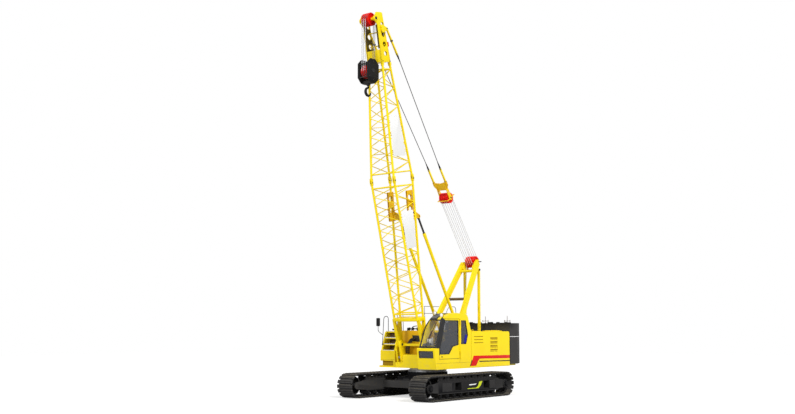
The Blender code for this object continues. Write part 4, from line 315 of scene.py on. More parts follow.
def rope_steel(name, base, lay=90.0, metallic=0.85, gap=ROPE_GAP):
    """Wire rope or bare steel, with darker gaps between its strands."""
    finish = Finish(name, 0.38, metallic=metallic, specular=0.3)
    strands = finish.noise(lay, 2.0, (1.0, 1.0, 3.0))
    finish.tint(base, (gap, finish.span(strands, 0.45, 0.62, 0.0, 0.7)))
    finish.relief(strands, 0.002, 0.8)
    return finish.material


def plastic(name, base, roughness, grain=400.0):
    """Plastic, rubber or lamp glass with a fine grain."""
    finish = Finish(name, roughness)
    lighter = tuple(min(1.0, 1.5 * part + 0.01) for part in base)
    finish.tint(base, (lighter, finish.span(finish.noise(5.0, 4.0), 0.45, 0.8, 0.0, 0.6)))
    finish.relief(finish.noise(grain, 2.0), 0.0004, 0.4)
    return finish.material


def glass(name, tint, alpha):
    """Thin glass that lets this much through of what is behind it, with a clear coat."""
    finish = Finish(name, 0.04, specular=0.5)
    finish.tint(tint)
    finish.shader.inputs["Transmission Weight"].default_value = 0.0
    finish.shader.inputs["Alpha"].default_value = alpha
    finish.shader.inputs["Coat Weight"].default_value = 0.6
    finish.shader.inputs["Coat Roughness"].default_value = 0.03
    finish.relief(finish.noise(2.0, 1.0), 0.002, 0.15)
    return finish.material


FINISHES = {
    "yellow": paint("yellow_paint", YELLOW, YELLOW_SHADE, 0.34, dust_top=1.9),
    "red": paint("red_paint", (0.76, 0.006, 0.002), (0.52, 0.004, 0.002), 0.36),
    "white": paint("white_paint", (0.84, 0.84, 0.83), (0.70, 0.70, 0.68), 0.45, coat=0.1),
    "dark_grey": dark_steel("grey_steel", (0.004, 0.004, 0.005), 0.66, dust=0.03),
    "black": dark_steel("black_steel", (0.008, 0.008, 0.009), 0.45, dust=0.03),
    "track": dark_steel("track_steel", (0.009, 0.009, 0.010), 0.66, dust=0.80, grain=70.0),
    "steel": rope_steel("bare_steel", (0.34, 0.34, 0.35)),
    "rubber": plastic("upholstery", (0.028, 0.028, 0.032), 0.75),
    "glass": glass("cab_glass", (0.065, 0.070, 0.080), 0.62),
    "link": dark_steel("link_steel", (0.005, 0.005, 0.006), 0.60, dust=0.20, grain=90.0),
    "lime": paint("lime_paint", (0.60, 0.68, 0.012), (0.48, 0.55, 0.010), 0.38),
    "rope": rope_steel("wire_rope", (0.50, 0.50, 0.52), lay=140.0, metallic=0.2, gap=(0.28, 0.28, 0.30)),
    # Dark rope: the pendants' own colour, and painted shade on the hoist rope's rear falls.
    "cable_and_shaded_rope": rope_steel("stay_cable_and_painted_shade_rope", (0.16, 0.16, 0.17), lay=140.0, metallic=0.2, gap=(0.05, 0.05, 0.05)),
    "strand": rope_steel("luffing_rope", (0.70, 0.70, 0.72), lay=140.0, metallic=0.1, gap=(0.55, 0.55, 0.57)),
    # Painted light: an amber made lighter so that the yoke's shaded face still reads bright.
    "amber_painted_light": paint("amber_with_painted_light", (0.95, 0.60, 0.010), (0.85, 0.50, 0.008), 0.40),
    # Painted shade: a deeper, more orange yellow for yellow parts that lie in shade behind the boom.
    "painted_shade_deep_yellow": paint("bulkhead_painted_shade", (0.74, 0.43, 0.002), (0.62, 0.34, 0.002), 0.50),
    # Painted shade: a dark olive for the inner faces of the boom's head, which lie in shade.
    "shade": paint("dark_painted_shade", (0.11, 0.080, 0.006), (0.07, 0.050, 0.004), 0.60, coat=0.0),
    "block": dark_steel("block_steel", (0.005, 0.005, 0.005), 0.56, dust=0.02),
    "seal": plastic("door_seal", (0.010, 0.010, 0.011), 0.62),
    "grey": plastic("grey_trim", (0.20, 0.20, 0.21), 0.55),
    "blue": paint("blue_paint", (0.010, 0.010, 0.30), (0.006, 0.006, 0.22), 0.40),
    "brown": dark_steel("primer_steel", (0.16, 0.085, 0.03), 0.60, dust=0.10),
    # Painted shade: a dark ochre for yellow parts in shade, in recesses and slots.
    "painted_shade_ochre": paint("ochre_painted_shade", (0.40, 0.25, 0.004), (0.30, 0.18, 0.003), 0.60, coat=0.0),
    # Lamp glass, which also serves as a painted highlight on the counterweight's seam.
    "lamp_and_painted_highlight": plastic("lamp_glass_and_painted_highlight", (0.85, 0.85, 0.84), 0.18),
    "clear": glass("windscreen_glass", (0.30, 0.32, 0.34), 0.10),
    # Painted reflection: the mirror's face is a flat pale grey in place of what it reflects.
    "mirror": plastic("mirror_painted_reflection", (0.45, 0.46, 0.48), 0.08),
    "grey_dark": plastic("cab_lining", (0.035, 0.036, 0.040), 0.60),
}
# The record's slot behind each finish that only the looks have.
EXTRA_SLOTS = {
    "yellow": ("lime", "painted_shade_deep_yellow", "amber_painted_light", "shade", "brown", "painted_shade_ochre"),
    "steel": ("rope", "strand", "cable_and_shaded_rope", "mirror"),
    "dark_grey": ("block", "grey"),
    "rubber": ("seal", "grey_dark"),
    "track": ("link",),
    "black": ("blue",),
    "white": ("lamp_and_painted_highlight",),
    "glass": ("clear",),
}
SLOTS = {name: name for name in FINISHES}
SLOTS.update({finish: slot for slot, finishes in EXTRA_SLOTS.items() for finish in finishes})


# Shape tools. A Shape gathers closed shapes of one finish into one piece.


def bent(points, radius, steps=5):
    """A path of points with its corners rounded."""
    path = [Vector(points[0])]
    for before, here, after in zip(points, points[1:], points[2:]):
        before, here, after = Vector(before), Vector(here), Vector(after)
        reach = min(radius, (here - before).length / 2, (after - here).length / 2)
        start = here + (before - here).normalized() * reach
        end = here + (after - here).normalized() * reach
        for step in range(steps + 1):
            share = step / steps
            path.append(start.lerp(here, share).lerp(here.lerp(end, share), share))
    path.append(Vector(points[-1]))
    return path


def rounded(corners, steps=5):
    """An outline from (first, second, radius) corners, with arcs for the corners that have a radius."""
    points = []
    for index, (first, second, radius) in enumerate(corners):
        here = Vector((first, second))
        if not radius:
            points.append((first, second))
            continue
        to_last = Vector(corners[index - 1][:2]) - here
        to_next = Vector(corners[(index + 1) % len(corners)][:2]) - here
        half = to_last.angle(to_next) / 2
        reach = min(radius / math.tan(half), to_last.length, to_next.length)
        to_last.normalize()
        to_next.normalize()
        centre = here + (to_last + to_next).normalized() * (reach / math.cos(half))
        start = here + to_last * reach - centre
        turn = start.angle_signed(here + to_next * reach - centre)
        for step in range(steps + 1):
            arm = start.copy()
            arm.rotate(Matrix.Rotation(-turn * step / steps, 2))
            points.append(tuple(centre + arm))
    return points


def full_turn(count):
    """Angles that share a full turn evenly."""
    return [2 * math.pi * step / count for step in range(count)]


def ring(x, y, radius, sides=24):
    """A circle's outline."""
    return [(x + radius * math.cos(angle), y + radius * math.sin(angle)) for angle in full_turn(sides)]


def wheel_spots(x, y, z, radius, angles):
    """Places on a circle round an axis along Y."""
    return [(x + radius * math.cos(angle), y, z + radius * math.sin(angle)) for angle in angles]


def hull(circles, steps=8):
    """The outline of a belt round (first, second, radius) circles, given anticlockwise."""
    tangents = []
    for index, (x, y, radius) in enumerate(circles):
        far_x, far_y, far_radius = circles[(index + 1) % len(circles)]
        run = Vector((far_x - x, far_y - y))
        tangents.append(math.atan2(run.y, run.x) - math.pi / 2 + math.asin((radius - far_radius) / run.length))
    points = []
    for index, (x, y, radius) in enumerate(circles):
        sweep = (tangents[index] - tangents[index - 1]) % (2 * math.pi)
        for step in range(steps + 1):
            angle = tangents[index - 1] + sweep * step / steps
            points.append((x + radius * math.cos(angle), y + radius * math.sin(angle)))
    return points


# Turns that lay an outline across each axis.
PLANES = {
    "X": Matrix(((0, 0, 1, 0), (1, 0, 0, 0), (0, 1, 0, 0), (0, 0, 0, 1))),
    "Y": Matrix(((1, 0, 0, 0), (0, 0, -1, 0), (0, 1, 0, 0), (0, 0, 0, 1))),
    "Z": Matrix.Identity(4),
}


class Shape:
    """Closed shapes of one finish, gathered into one piece."""

    def __init__(self, place=None):
        self.bm = bmesh.new()
        self.place = MACHINE @ (place or Matrix.Identity(4))

    def add(self, mesh, matrix=None):
        """Takes in a mesh, which stays as it was."""
        copy = mesh.copy()
        copy.transform(self.place @ (matrix or Matrix.Identity(4)))
        self.bm.from_mesh(copy)
        bpy.data.meshes.remove(copy)

    def take(self, bm, matrix=None):
        """Takes in a bmesh and frees it."""
        mesh = bpy.data.meshes.new("shape")
        bm.to_mesh(mesh)
        bm.free()
        self.add(mesh, matrix)
        bpy.data.meshes.remove(mesh)

    def box(self, low, high, edge=0.006, matrix=None):
        """A box between two corners, with rounded edges."""
        low, high = Vector(low), Vector(high)
        size = high - low
        bm = bmesh.new()
        place = Matrix.Translation((low + high) / 2) @ Matrix.Diagonal((*(abs(part) for part in size), 1))
        bmesh.ops.create_cube(bm, size=1, matrix=place)
        offset = min(edge, min(abs(part) for part in size) / 3)
        if offset > 0:
            bmesh.ops.bevel(bm, geom=bm.edges[:], offset=offset, segments=2, profile=0.5, affect="EDGES")
        self.take(bm, matrix)

    def turned(self, profile, start, towards, sides=32):
        """A profile of (radius, distance) points, turned about the line from start towards another point."""
        start = Vector(start)
        axis = (Vector(towards) - start).normalized()
        bm = bmesh.new()
        rings = []
        for radius, along in profile:
            count = sides if radius > 1e-5 else 1
            rings.append([])
            for side in range(count):
                angle = 2 * math.pi * side / sides
                rings[-1].append(bm.verts.new((radius * math.cos(angle), radius * math.sin(angle), along)))
        for one, two in zip(rings, rings[1:]):
            for side in range(sides):
                following = (side + 1) % sides
                corners = [one[side % len(one)], one[following % len(one)]]
                corners += [two[following % len(two)], two[side % len(two)]]
                corners = list(dict.fromkeys(corners))
                if len(corners) > 2:
                    bm.faces.new(corners)
        self.take(bm, Matrix.Translation(start) @ axis.to_track_quat("Z", "X").to_matrix().to_4x4())

    def rod(self, start, end, radius, sides=16, far_radius=None, edge=0.0):
        """A round bar or cone between two points."""
        length = (Vector(end) - Vector(start)).length
        far = radius if far_radius is None else far_radius
        profile = [(0, 0), (radius - edge, 0)]
        if edge:
            profile += [(radius, edge), (far, length - edge)]
        profile += [(far - edge, length), (0, length)]
        self.turned(profile, start, end, sides)

    def pipe(self, points, radius, sides=8, bend=0.0, radii=None):
        """A round bar along a path, with its corners rounded by this bend."""
        path = bent(points, bend) if bend else [Vector(point) for point in points]
        bm = bmesh.new()
        rings = []
        across = None
        for index, point in enumerate(path):
            before, after = path[max(index - 1, 0)], path[min(index + 1, len(path) - 1)]
            along = (after - before).normalized()
            if across is None:
                across = along.orthogonal().normalized()
            across = (across - along * across.dot(along)).normalized()
            other = along.cross(across)
            size = radii[index] if radii else radius
            rings.append([])
            for side in range(sides):
                angle = 2 * math.pi * side / sides
                rings[-1].append(bm.verts.new(point + (across * math.cos(angle) + other * math.sin(angle)) * size))
        for one, two in zip(rings, rings[1:]):
            for side in range(sides):
                following = (side + 1) % sides
                bm.faces.new((one[side], one[following], two[following], two[side]))
        bm.faces.new(rings[0])
        bm.faces.new(rings[-1])
        self.take(bm)

    def slab(self, axis, outline, low, high, holes=(), edge=0.004, matrix=None):
        """A flat outline across an axis, with holes and rounded rims, thick from low to high or the other way."""
        low, high = sorted((low, high))
        data = bpy.data.curves.new("slab", "CURVE")
        data.dimensions = "2D"
        data.fill_mode = "BOTH"
        edge = min(edge, (high - low) * 0.3)
        data.extrude = (high - low) / 2 - edge
        data.bevel_depth = edge
        data.bevel_resolution = 1
        data.offset = -edge
        for loop in (outline, *holes):
            spline = data.splines.new("POLY")
            spline.points.add(len(loop) - 1)
            for point, (first, second) in zip(spline.points, loop):
                point.co = (first, second, 0, 1)
            spline.use_cyclic_u = True
        obj = bpy.data.objects.new("slab", data)
        bpy.context.scene.collection.objects.link(obj)
        view = bpy.context.evaluated_depsgraph_get()
        mesh = bpy.data.meshes.new_from_object(obj.evaluated_get(view))
        bpy.data.objects.remove(obj)
        bpy.data.curves.remove(data)
        middle = Vector([(low + high) / 2 if axis == letter else 0 for letter in "XYZ"])
        self.add(mesh, (matrix or Matrix.Identity(4)) @ Matrix.Translation(middle) @ PLANES[axis])
        bpy.data.meshes.remove(mesh)

    def pair(self, axis, outline, middle, near, far, holes=(), edge=0.004):
        """Two plates of one outline, from this near to this far off a middle plane, on both its sides."""
        for sign in (-1, 1):
            self.slab(axis, outline, middle + sign * near, middle + sign * far, holes, edge)

    def bolts(self, places, axis, radius=0.014, height=0.010):
        """Hexagon heads at places, standing up along an axis."""
        axis = Vector(axis)
        for place in places:
            place = Vector(place)
            self.rod(place, place + axis * height, radius, 6)

    def mesh(self):
        """The shapes so far as a bare mesh, for copies."""
        mesh = bpy.data.meshes.new("copies")
        self.bm.to_mesh(mesh)
        self.bm.free()
        return mesh

    def done(self, name, body, finish, *replaced, smooth_deg=32.0):
        """Makes the piece, on its body and in place of the nodes it replaces."""
        bmesh.ops.remove_doubles(self.bm, verts=self.bm.verts, dist=0.00002)
        bmesh.ops.recalc_face_normals(self.bm, faces=self.bm.faces)
        mesh = bpy.data.meshes.new(name)
        self.bm.to_mesh(mesh)
        self.bm.free()
        mesh.shade_smooth()
        mesh.set_sharp_from_angle(angle=math.radians(smooth_deg))
        mesh.materials.append(FINISHES[finish])
        piece = bpy.data.objects.new(name, mesh)
        bpy.context.scene.collection.objects.link(piece)
        if body:
            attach(piece, body)
        if replaced:
            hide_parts(*replaced)
        return piece


SIDES = ((1, "left"), (-1, "right"))

# Crawlers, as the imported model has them: loops of shoes round two wheels, on a side frame with rollers.
TRACK_GAUGE = 3.54
WHEEL_BASE = 5.0
TRACK_HEIGHT = 0.95
SHOE_COUNT = 64
SHOE_WIDTH = 0.76
SHOE_GAP = 0.034
CHAIN_DEPTH = 0.12
FRAME_HALF = 0.25
ROLLER_PITCH = 0.44
ROLLER_COUNT = 9
ROLLER_RADIUS = 0.105
CARRIER_OFFSET = 0.86
CARRIER_RADIUS = 0.075
SHOE_FACE = 0.169
PIN_DEPTH = 0.084
SPROCKET_TEETH = 13
# The carbody's cross beams.
BEAM_FRONT_X = 0.72
BEAM_REAR_X = -1.16
# A space too small to see, where two faces would lie on each other.
HAIR = 0.0003


def loop_point(distance, depth):
    """The point this far along the loop's outer faces and this deep inside them, in X and Z."""
    radius = TRACK_HEIGHT / 2
    half_turn = math.pi * radius
    distance %= 2 * (WHEEL_BASE + half_turn)
    inner = radius - depth
    if distance < WHEEL_BASE:
        return Vector((distance - WHEEL_BASE / 2, radius + inner))
    distance -= WHEEL_BASE
    if distance < half_turn:
        angle = math.pi / 2 - distance / radius
        return Vector((WHEEL_BASE / 2 + inner * math.cos(angle), radius + inner * math.sin(angle)))
    distance -= half_turn
    if distance < WHEEL_BASE:
        return Vector((WHEEL_BASE / 2 - distance, radius - inner))
    angle = -math.pi / 2 - (distance - WHEEL_BASE) / radius
    return Vector((-WHEEL_BASE / 2 + inner * math.cos(angle), radius + inner * math.sin(angle)))


def loop_places():
    """For each shoe, the matrix with X along its outer face and Z outwards, and that face's length."""
    pitch = (2 * WHEEL_BASE + math.pi * TRACK_HEIGHT) / SHOE_COUNT
    places = []
    for index in range(SHOE_COUNT):
        start, end = loop_point(index * pitch, 0), loop_point((index + 1) * pitch - SHOE_GAP, 0)
        run = (end - start).normalized()
        matrix = Matrix(((run.x, 0, -run.y, start.x), (0, 1, 0, 0), (run.y, 0, run.x, start.y), (0, 0, 0, 1)))
        places.append((matrix, (end - start).length))
    return places


def make_tracks():
    """Both crawlers: shoes and links all round each loop, and what the loops run on."""
    half = SHOE_WIDTH / 2
    middle = half - 0.075
    pad, link = Shape(MACHINE.inverted()), Shape(MACHINE.inverted())
    profile = (
        (-0.005, -0.050), (0.194, -0.050), (0.196, -0.040), (SHOE_FACE - 0.010, -0.034), (SHOE_FACE - 0.024, -0.004),
        (SHOE_FACE - 0.032, 0), (0.094, 0), (0.088, -0.009), (0.076, -0.009), (0.070, 0), (0.030, 0),
        (0.022, -0.004), (0.010, -0.034), (-0.006, -0.040),
    )
    pad.slab("Y", profile, -middle, middle)
    profile = (
        (0.012, -0.050), (SHOE_FACE - 0.012, -0.050), (SHOE_FACE - 0.020, -0.004), (SHOE_FACE - 0.028, 0),
        (0.028, 0), (0.020, -0.004),
    )
    for y in (-half, middle):
        pad.slab("Y", profile, y, y + 0.075, edge=0.006)
    spots = [(x, y, -0.004) for x in (0.045, 0.125) for y in (-0.16, -0.10, 0.10, 0.16)]
    pad.bolts(spots, (0, 0, 1), 0.013, 0.007)
    plate = hull(((0.035, -PIN_DEPTH, 0.034), (0.170, -PIN_DEPTH, 0.034)))
    bar = hull(((-0.020, -PIN_DEPTH, 0.024), (0.060, -PIN_DEPTH, 0.026)))
    for y in (-0.105, 0.105):
        link.slab("Y", plate, y - 0.022, y + 0.022)
        link.slab("Y", bar, y * 0.62 - 0.012, y * 0.62 + 0.012, edge=0.003)
    link.rod((0.035, -0.132, -PIN_DEPTH), (0.035, 0.132, -PIN_DEPTH), 0.019, 10)
    pad_mesh, link_mesh = pad.mesh(), link.mesh()
    for side, name in SIDES:
        place = Matrix.Translation((0, side * TRACK_GAUGE / 2, 0))
        shoes, links = Shape(place), Shape(place)
        for matrix, length in loop_places():
            shoes.add(pad_mesh, matrix @ Matrix.Diagonal((length / SHOE_FACE, 1, 1, 1)))
            links.add(link_mesh, matrix)
        shoes.done("track_shoes_" + name, "crawler_" + name, "track", "track_" + name)
        links.done("track_links_" + name, "crawler_" + name, "link")
        make_wheels(place, side, name)
        make_rollers(place, name)
        make_side_trim(place, side, name)


def make_wheels(place, side, name):
    """The idler in front and the sprocket behind, with bolted caps over their shafts."""
    centre = TRACK_HEIGHT / 2
    reach = centre - CHAIN_DEPTH
    front, rear = WHEEL_BASE / 2, -WHEEL_BASE / 2
    half = 0.10
    idler, sprocket = Shape(place), Shape(place)
    profile = (
        (0.08, -half * 0.6), (reach - 0.07, -half * 0.5), (reach - 0.05, -half), (reach - 0.003, -half),
        (reach - 0.003, half), (reach - 0.05, half), (reach - 0.07, half * 0.5), (0.08, half * 0.6),
    )
    idler.turned(profile, (front, 0, centre), (front, 1, centre), 48)
    teeth = []
    for tooth in range(SPROCKET_TEETH):
        for share, height in ((0.0, 0.0), (0.24, 0.0), (0.40, 0.93), (0.60, 0.93), (0.76, 0.0)):
            angle = 2 * math.pi * (tooth + share) / SPROCKET_TEETH
            radius = reach - 0.048 + 0.045 * height
            teeth.append((rear + radius * math.cos(angle), centre + radius * math.sin(angle)))
    sprocket.slab("Y", teeth, -half, half, edge=0.006)
    out = side * FRAME_HALF
    cap = ((0, 0), (0.17, 0), (0.17, 0.035), (0.155, 0.05), (0.10, 0.055), (0.085, 0.085), (0.06, 0.1), (0, 0.1))
    for shape, x, kind in ((idler, front, "idler"), (sprocket, rear, "sprocket")):
        shape.rod((x, -FRAME_HALF, centre), (x, FRAME_HALF, centre), 0.07, 24)
        shape.turned(cap, (x, out + side * HAIR, centre), (x, 9 * side, centre), 40)
        shape.bolts(wheel_spots(x, out + side * 0.048, centre, 0.135, full_turn(10)), (0, side, 0), 0.013, 0.012)
        shape.done(kind + "_wheel_" + name, "crawler_" + name, "dark_grey", kind + "_" + name)


def make_rollers(place, name):
    """The rollers under the side frame and the two that carry the loop over it."""
    rollers = Shape(place)
    disc = (
        (0, 0.04), (0.085, 0.04), (0.107, 0.05), (0.107, 0.10), (0.100, 0.108), (0.05, 0.108), (0.045, 0.118),
        (0, 0.118),
    )
    z = CHAIN_DEPTH + HAIR + ROLLER_RADIUS
    for index in range(ROLLER_COUNT):
        x = (index - (ROLLER_COUNT - 1) / 2) * ROLLER_PITCH
        for out in (-1, 1):
            rollers.turned(disc, (x, out * 0.085, z), (x, out * 9, z), 28)
    z = TRACK_HEIGHT - CHAIN_DEPTH - HAIR - CARRIER_RADIUS
    for x in (-CARRIER_OFFSET, CARRIER_OFFSET):
        rollers.rod((x, -0.134, z), (x, 0.134, z), CARRIER_RADIUS, 28, edge=0.006)
    rollers.done("rollers_" + name, "crawler_" + name, "link")


def make_side_trim(place, side, name):
    """Covers, ribs and track guides of a side frame, and the plain flash on its outer face."""
    trim, flash, accent = Shape(place), Shape(place), Shape(place)
    out = side * FRAME_HALF
    for end, middle, half in ((-1, -1.58, 0.17), (1, 1.42, 0.30)):
        trim.box((middle - half, out - side * 0.01, 0.34), (middle + half, out + side * 0.008, 0.66))
        spots = [(middle + x, out + side * 0.006, z) for x in (0.03 - half, 0, half - 0.03) for z in (0.37, 0.63)]
        trim.bolts(spots, (0, side, 0))
        for beam in (BEAM_FRONT_X, BEAM_REAR_X):
            x = beam + end * 0.225
            trim.box((x - 0.012, out - side * 0.01, 0.34), (x + 0.012, out + side * 0.016, 0.66))
    for low, high, proud in ((0.255, 0.285, 0.012), (0.69, 0.715, 0.010)):
        trim.box((-2.0, out - side * 0.02, low), (2.0, out + side * proud, high), 0.005)
    for end in (-1, 1):
        trim.box((-1.95, end * 0.170, 0.71), (1.95, end * 0.205, 0.80))
        for index in range(ROLLER_COUNT):
            x = (index - (ROLLER_COUNT - 1) / 2) * ROLLER_PITCH
            trim.box((x - 0.155, end * 0.168, 0.79), (x + 0.155, end * 0.207, 0.872), 0.012)
    trim.done("side_frame_trim_" + name, "crawler_" + name, "dark_grey")
    outline = (
        (0.10, 0.40), (-0.46, 0.40), (-0.60, 0.47), (-0.68, 0.62), (-0.90, 0.64), (-0.78, 0.47), (-0.62, 0.375),
        (0.12, 0.375),
    )
    flash.slab("Y", outline, out, out + side * 0.004, edge=0.001)
    flash.done("side_flash_" + name, "crawler_" + name, "lime")
    outline = ((-0.02, 0.505), (-0.42, 0.515), (-0.50, 0.56), (0.02, 0.545))
    accent.slab("Y", outline, out, out + side * 0.003, edge=0.001)
    accent.done("side_accent_" + name, "crawler_" + name, "white")


def make_carbody():
    """Bolts, seal and swivel of the slew ring, and the plates on the carbody."""
    bolts, seal, plates, swivel = Shape(), Shape(), Shape(), Shape()
    bolts.bolts([(*spot, 0.978) for spot in ring(0, 0, 0.73, 36)], (0, 0, 1), 0.015, 0.014)
    bolts.done("ring_bolts", "root", "steel")
    lip = ((0.703, 1.03), (0.712, 1.032), (0.715, 1.07), (0.712, 1.105), (0.703, 1.107), (0.703, 1.03))
    seal.turned(lip, (0, 0, 0), (0, 0, 1), 64)
    seal.done("ring_seal", "root", "lamp_and_painted_highlight")
    for beam in (BEAM_FRONT_X, BEAM_REAR_X):
        for side in (-1, 1):
            for end in (-1, 1):
                x = beam + end * 0.12
                plates.box((x - 0.01, side * 0.90, 0.639), (x + 0.01, side * 0.99, 0.70), 0.004)
    plates.rod((0.86, 0, 0.60), (0.90, 0, 0.60), 0.12, 32, edge=0.01)
    for y in (-0.40, 0.40):
        plates.box((0.855, y - 0.15, 0.46), (0.875, y + 0.15, 0.72))
    plates.done("carbody_plates", "root", "dark_grey")
    swivel.rod((0, 0, 0.98), (0, 0, 1.13), 0.20, 32, edge=0.01)
    swivel.done("centre_swivel", "root", "dark_grey")


# Boom, in its own frame: X along it from the foot pins, Z towards its rear side.
BOOM_ANGLE_DEG = 79.0
BOOM_FOOT = Vector((1.0, 0, 2.05))
BOOM = Matrix.Translation(BOOM_FOOT) @ Matrix.Rotation(math.radians(-BOOM_ANGLE_DEG), 4, "Y")
CHORD = 0.045
LACE = 0.017
BATTEN = 0.028
BEAM_AT = 1.01
JOINT_AT = 6.5
TOP_END = 11.07
BOOM_HALF = 0.57
JOINT_DEPTH = 0.575
FOOT_DEPTH = 0.185
TIP_HALF = 0.34
TIP_UNDER = -0.14
TIP_OVER = 0.295
FOOT_BAYS = 15
TOP_BAYS = 11
# The chords, as (side, top), that each face's laces run between, and the chord they begin from.
FACES = (((1, -1), (1, 1), 0), ((-1, -1), (-1, 1), 1), ((-1, 1), (1, 1), 0), ((-1, -1), (1, -1), 0))
# Where the sign boards start and end along the boom.
BOARDS = ((7.395, 8.945), (3.797, 5.247))
# The backstops: their foot on the upper, their ear on the boom, and the plates that carry the ear.
STOP_FOOT = Vector((-1.70, 0, 2.25))
STOP_EAR_AT, STOP_EAR_UP = 4.95, 0.75
STOP_SPREAD = 0.475
STOP_PLATE = (4.86, 6.02)
# The head: its ends, half its width, its sheaves' axle and the lugs of the stays.
HEAD_START = 11.0703
HEAD_END = 13.02
HEAD_HALF = 0.375
AXLE_AT, AXLE_UP = 12.77, -0.25
LUG_AT, LUG_UP = 12.36, 0.255
LUG_SPREAD = 0.44


def mix(start, end, share):
    """The number this share of the way from the start to the end."""
    return start + (end - start) * share


def chord_point(at, side, top):
    """The middle of one of the four chords, this far along the boom."""
    if at <= JOINT_AT:
        share = (at - BEAM_AT) / (JOINT_AT - BEAM_AT)
        return Vector((at, side * BOOM_HALF, top * mix(FOOT_DEPTH, JOINT_DEPTH, share)))
    share = (at - JOINT_AT) / (TOP_END - JOINT_AT)
    depth = mix(JOINT_DEPTH, TIP_OVER, share) if top > 0 else mix(-JOINT_DEPTH, TIP_UNDER, share)
    return Vector((at, side * mix(BOOM_HALF, TIP_HALF, share), depth))


def make_lattice(shape, start, end, bays):
    """Four chords with battens at both ends and zigzag laces on the faces between, each with a small foot weld."""
    for side in (-1, 1):
        for top in (-1, 1):
            shape.rod(chord_point(start, side, top), chord_point(end, side, top), CHORD, 24)
    first, last = start + 0.22, end - 0.22
    pitch = (last - first) / bays
    for one, two, begin in FACES:
        for at in (first, last):
            shape.rod(chord_point(at, *one), chord_point(at, *two), BATTEN, 16)
        for bay in range(bays):
            near, far = (one, two) if (bay + begin) % 2 == 0 else (two, one)
            foot = chord_point(first + bay * pitch, *near)
            head = chord_point(first + (bay + 1) * pitch, *far)
            shape.rod(foot, head, LACE, 14)
            run = (head - foot).normalized()
            for point, along in ((foot, run), (head, -run)):
                base = point + along * (CHORD - 0.004)
                shape.rod(base, base + along * 0.035, LACE + 0.009, 14, far_radius=LACE)


def make_joint_lugs(shape, pins, end, direction):
    """Forged eyes where two sections meet, with their pins where a shape for them is given."""
    clip = min if direction < 0 else max
    for side in (-1, 1):
        for top in (-1, 1):
            middle = chord_point(end, side, top)
            inside = chord_point(end + direction * 0.10, side, top)
            y, z = middle.y, middle.z
            eye = hull(((end + direction * 0.004, z, 0.054), (inside.x, inside.z, 0.046)))
            shape.pair("Y", [(clip(x, end), height) for x, height in eye], y, 0.020, 0.052)
            shape.rod(inside, inside + (inside - middle) * 0.35, CHORD + 0.008, 24, edge=0.004)
            if pins:
                x = end + direction * 0.03
                pins.rod((x, y - 0.062, z), (x, y + 0.062, z), 0.024, 16, edge=0.003)
                pins.rod((x, y + side * 0.052, z), (x, y + side * 0.064, z), 0.032, 16, edge=0.003)


def make_foot_section():
    """The lower lattice with its feet, and the plates the backstops lean on, in painted shade."""
    shape, pins, stops = Shape(BOOM), Shape(BOOM), Shape(BOOM)
    make_lattice(shape, BEAM_AT, JOINT_AT - 0.05, FOOT_BAYS)
    make_joint_lugs(shape, pins, JOINT_AT, -1)
    reach, depth = BOOM_HALF + CHORD, FOOT_DEPTH + CHORD
    shape.box((BEAM_AT - 0.06, -reach, -depth), (BEAM_AT + 0.06, reach, depth), 0.008)
    for side in (-1, 1):
        y = side * 0.60
        outline = hull(((0, 0, 0.13), (BEAM_AT, -0.17, CHORD), (BEAM_AT, 0.17, CHORD)), 10)
        opening = rounded(((0.54, 0, 0.02), (0.93, -0.13, 0.03), (0.93, 0.13, 0.03)))
        shape.pair("Y", outline, y, 0.042, 0.06, [opening])
        inner = hull(((0.0, 0, 0.115), (BEAM_AT, -0.160, CHORD), (BEAM_AT, 0.160, CHORD)), 10)
        window = rounded(((0.50, 0, 0.02), (0.94, -0.145, 0.03), (0.94, 0.145, 0.03)))
        shape.slab("Y", inner, y - 0.043, y + 0.043, [window], edge=0.002)
        shape.pair("Y", ring(0, 0, 0.10, 32), y, 0.045, 0.06, [ring(0, 0, 0.056, 32)], edge=0.003)
        pins.rod((0, y - 0.12, 0), (0, y + 0.12, 0), 0.055, 32, edge=0.006)
        pins.slab("Y", ring(0, 0, 0.075, 32), y + side * 0.112, y + side * 0.12, edge=0.003)
        pins.bolts(wheel_spots(0, y + side * 0.12, 0, 0.05, (0.6, 2.7, 4.8)), (0, side, 0), 0.009)
        make_stop_plate(stops, side)
    shape.done("boom_foot_lattice", "boom", "yellow", "boom_foot_section")
    pins.done("boom_foot_pins", "boom", "black")
    # Painted shade: the stop plates take the deeper yellow of yellow parts in shade.
    stops.done("boom_stop_plates_painted_shade", "boom", "painted_shade_deep_yellow")


def make_stop_plate(shape, side):
    """A box of two plates under a rear chord, with the ear that a backstop's rod is pinned to."""
    start, end = STOP_PLATE
    y = side * STOP_SPREAD
    near, far = chord_point(start, side, 1).z, chord_point(end, side, 1).z
    outline = rounded(((start, near - 0.34, 0.05), (end, far - 0.34, 0.05), (end, far, 0), (start, near, 0)))
    holes = []
    for share in (0.36, 0.76):
        holes.append(ring(mix(start, end, share), mix(near, far, share) - 0.17, 0.115, 32))
    shape.pair("Y", outline, y, 0.023, 0.035, holes, edge=0.003)
    for share in (0.02, 0.56, 0.98):
        x, top = mix(start, end, share), mix(near, far, share)
        shape.box((x - 0.006, y - 0.03, top - 0.335), (x + 0.006, y + 0.03, top - 0.01), 0.002)
    foot = near - 0.045
    ear = hull(((STOP_EAR_AT, foot, 0.07), (5.16, foot, 0.07), (STOP_EAR_AT, STOP_EAR_UP, 0.07)))
    shape.pair("Y", ear, y, 0.040, 0.075, [ring(STOP_EAR_AT, STOP_EAR_UP, 0.034)])
    shape.box((5.09, y - 0.075, near - 0.115), (5.16, y + 0.075, near + 0.025))


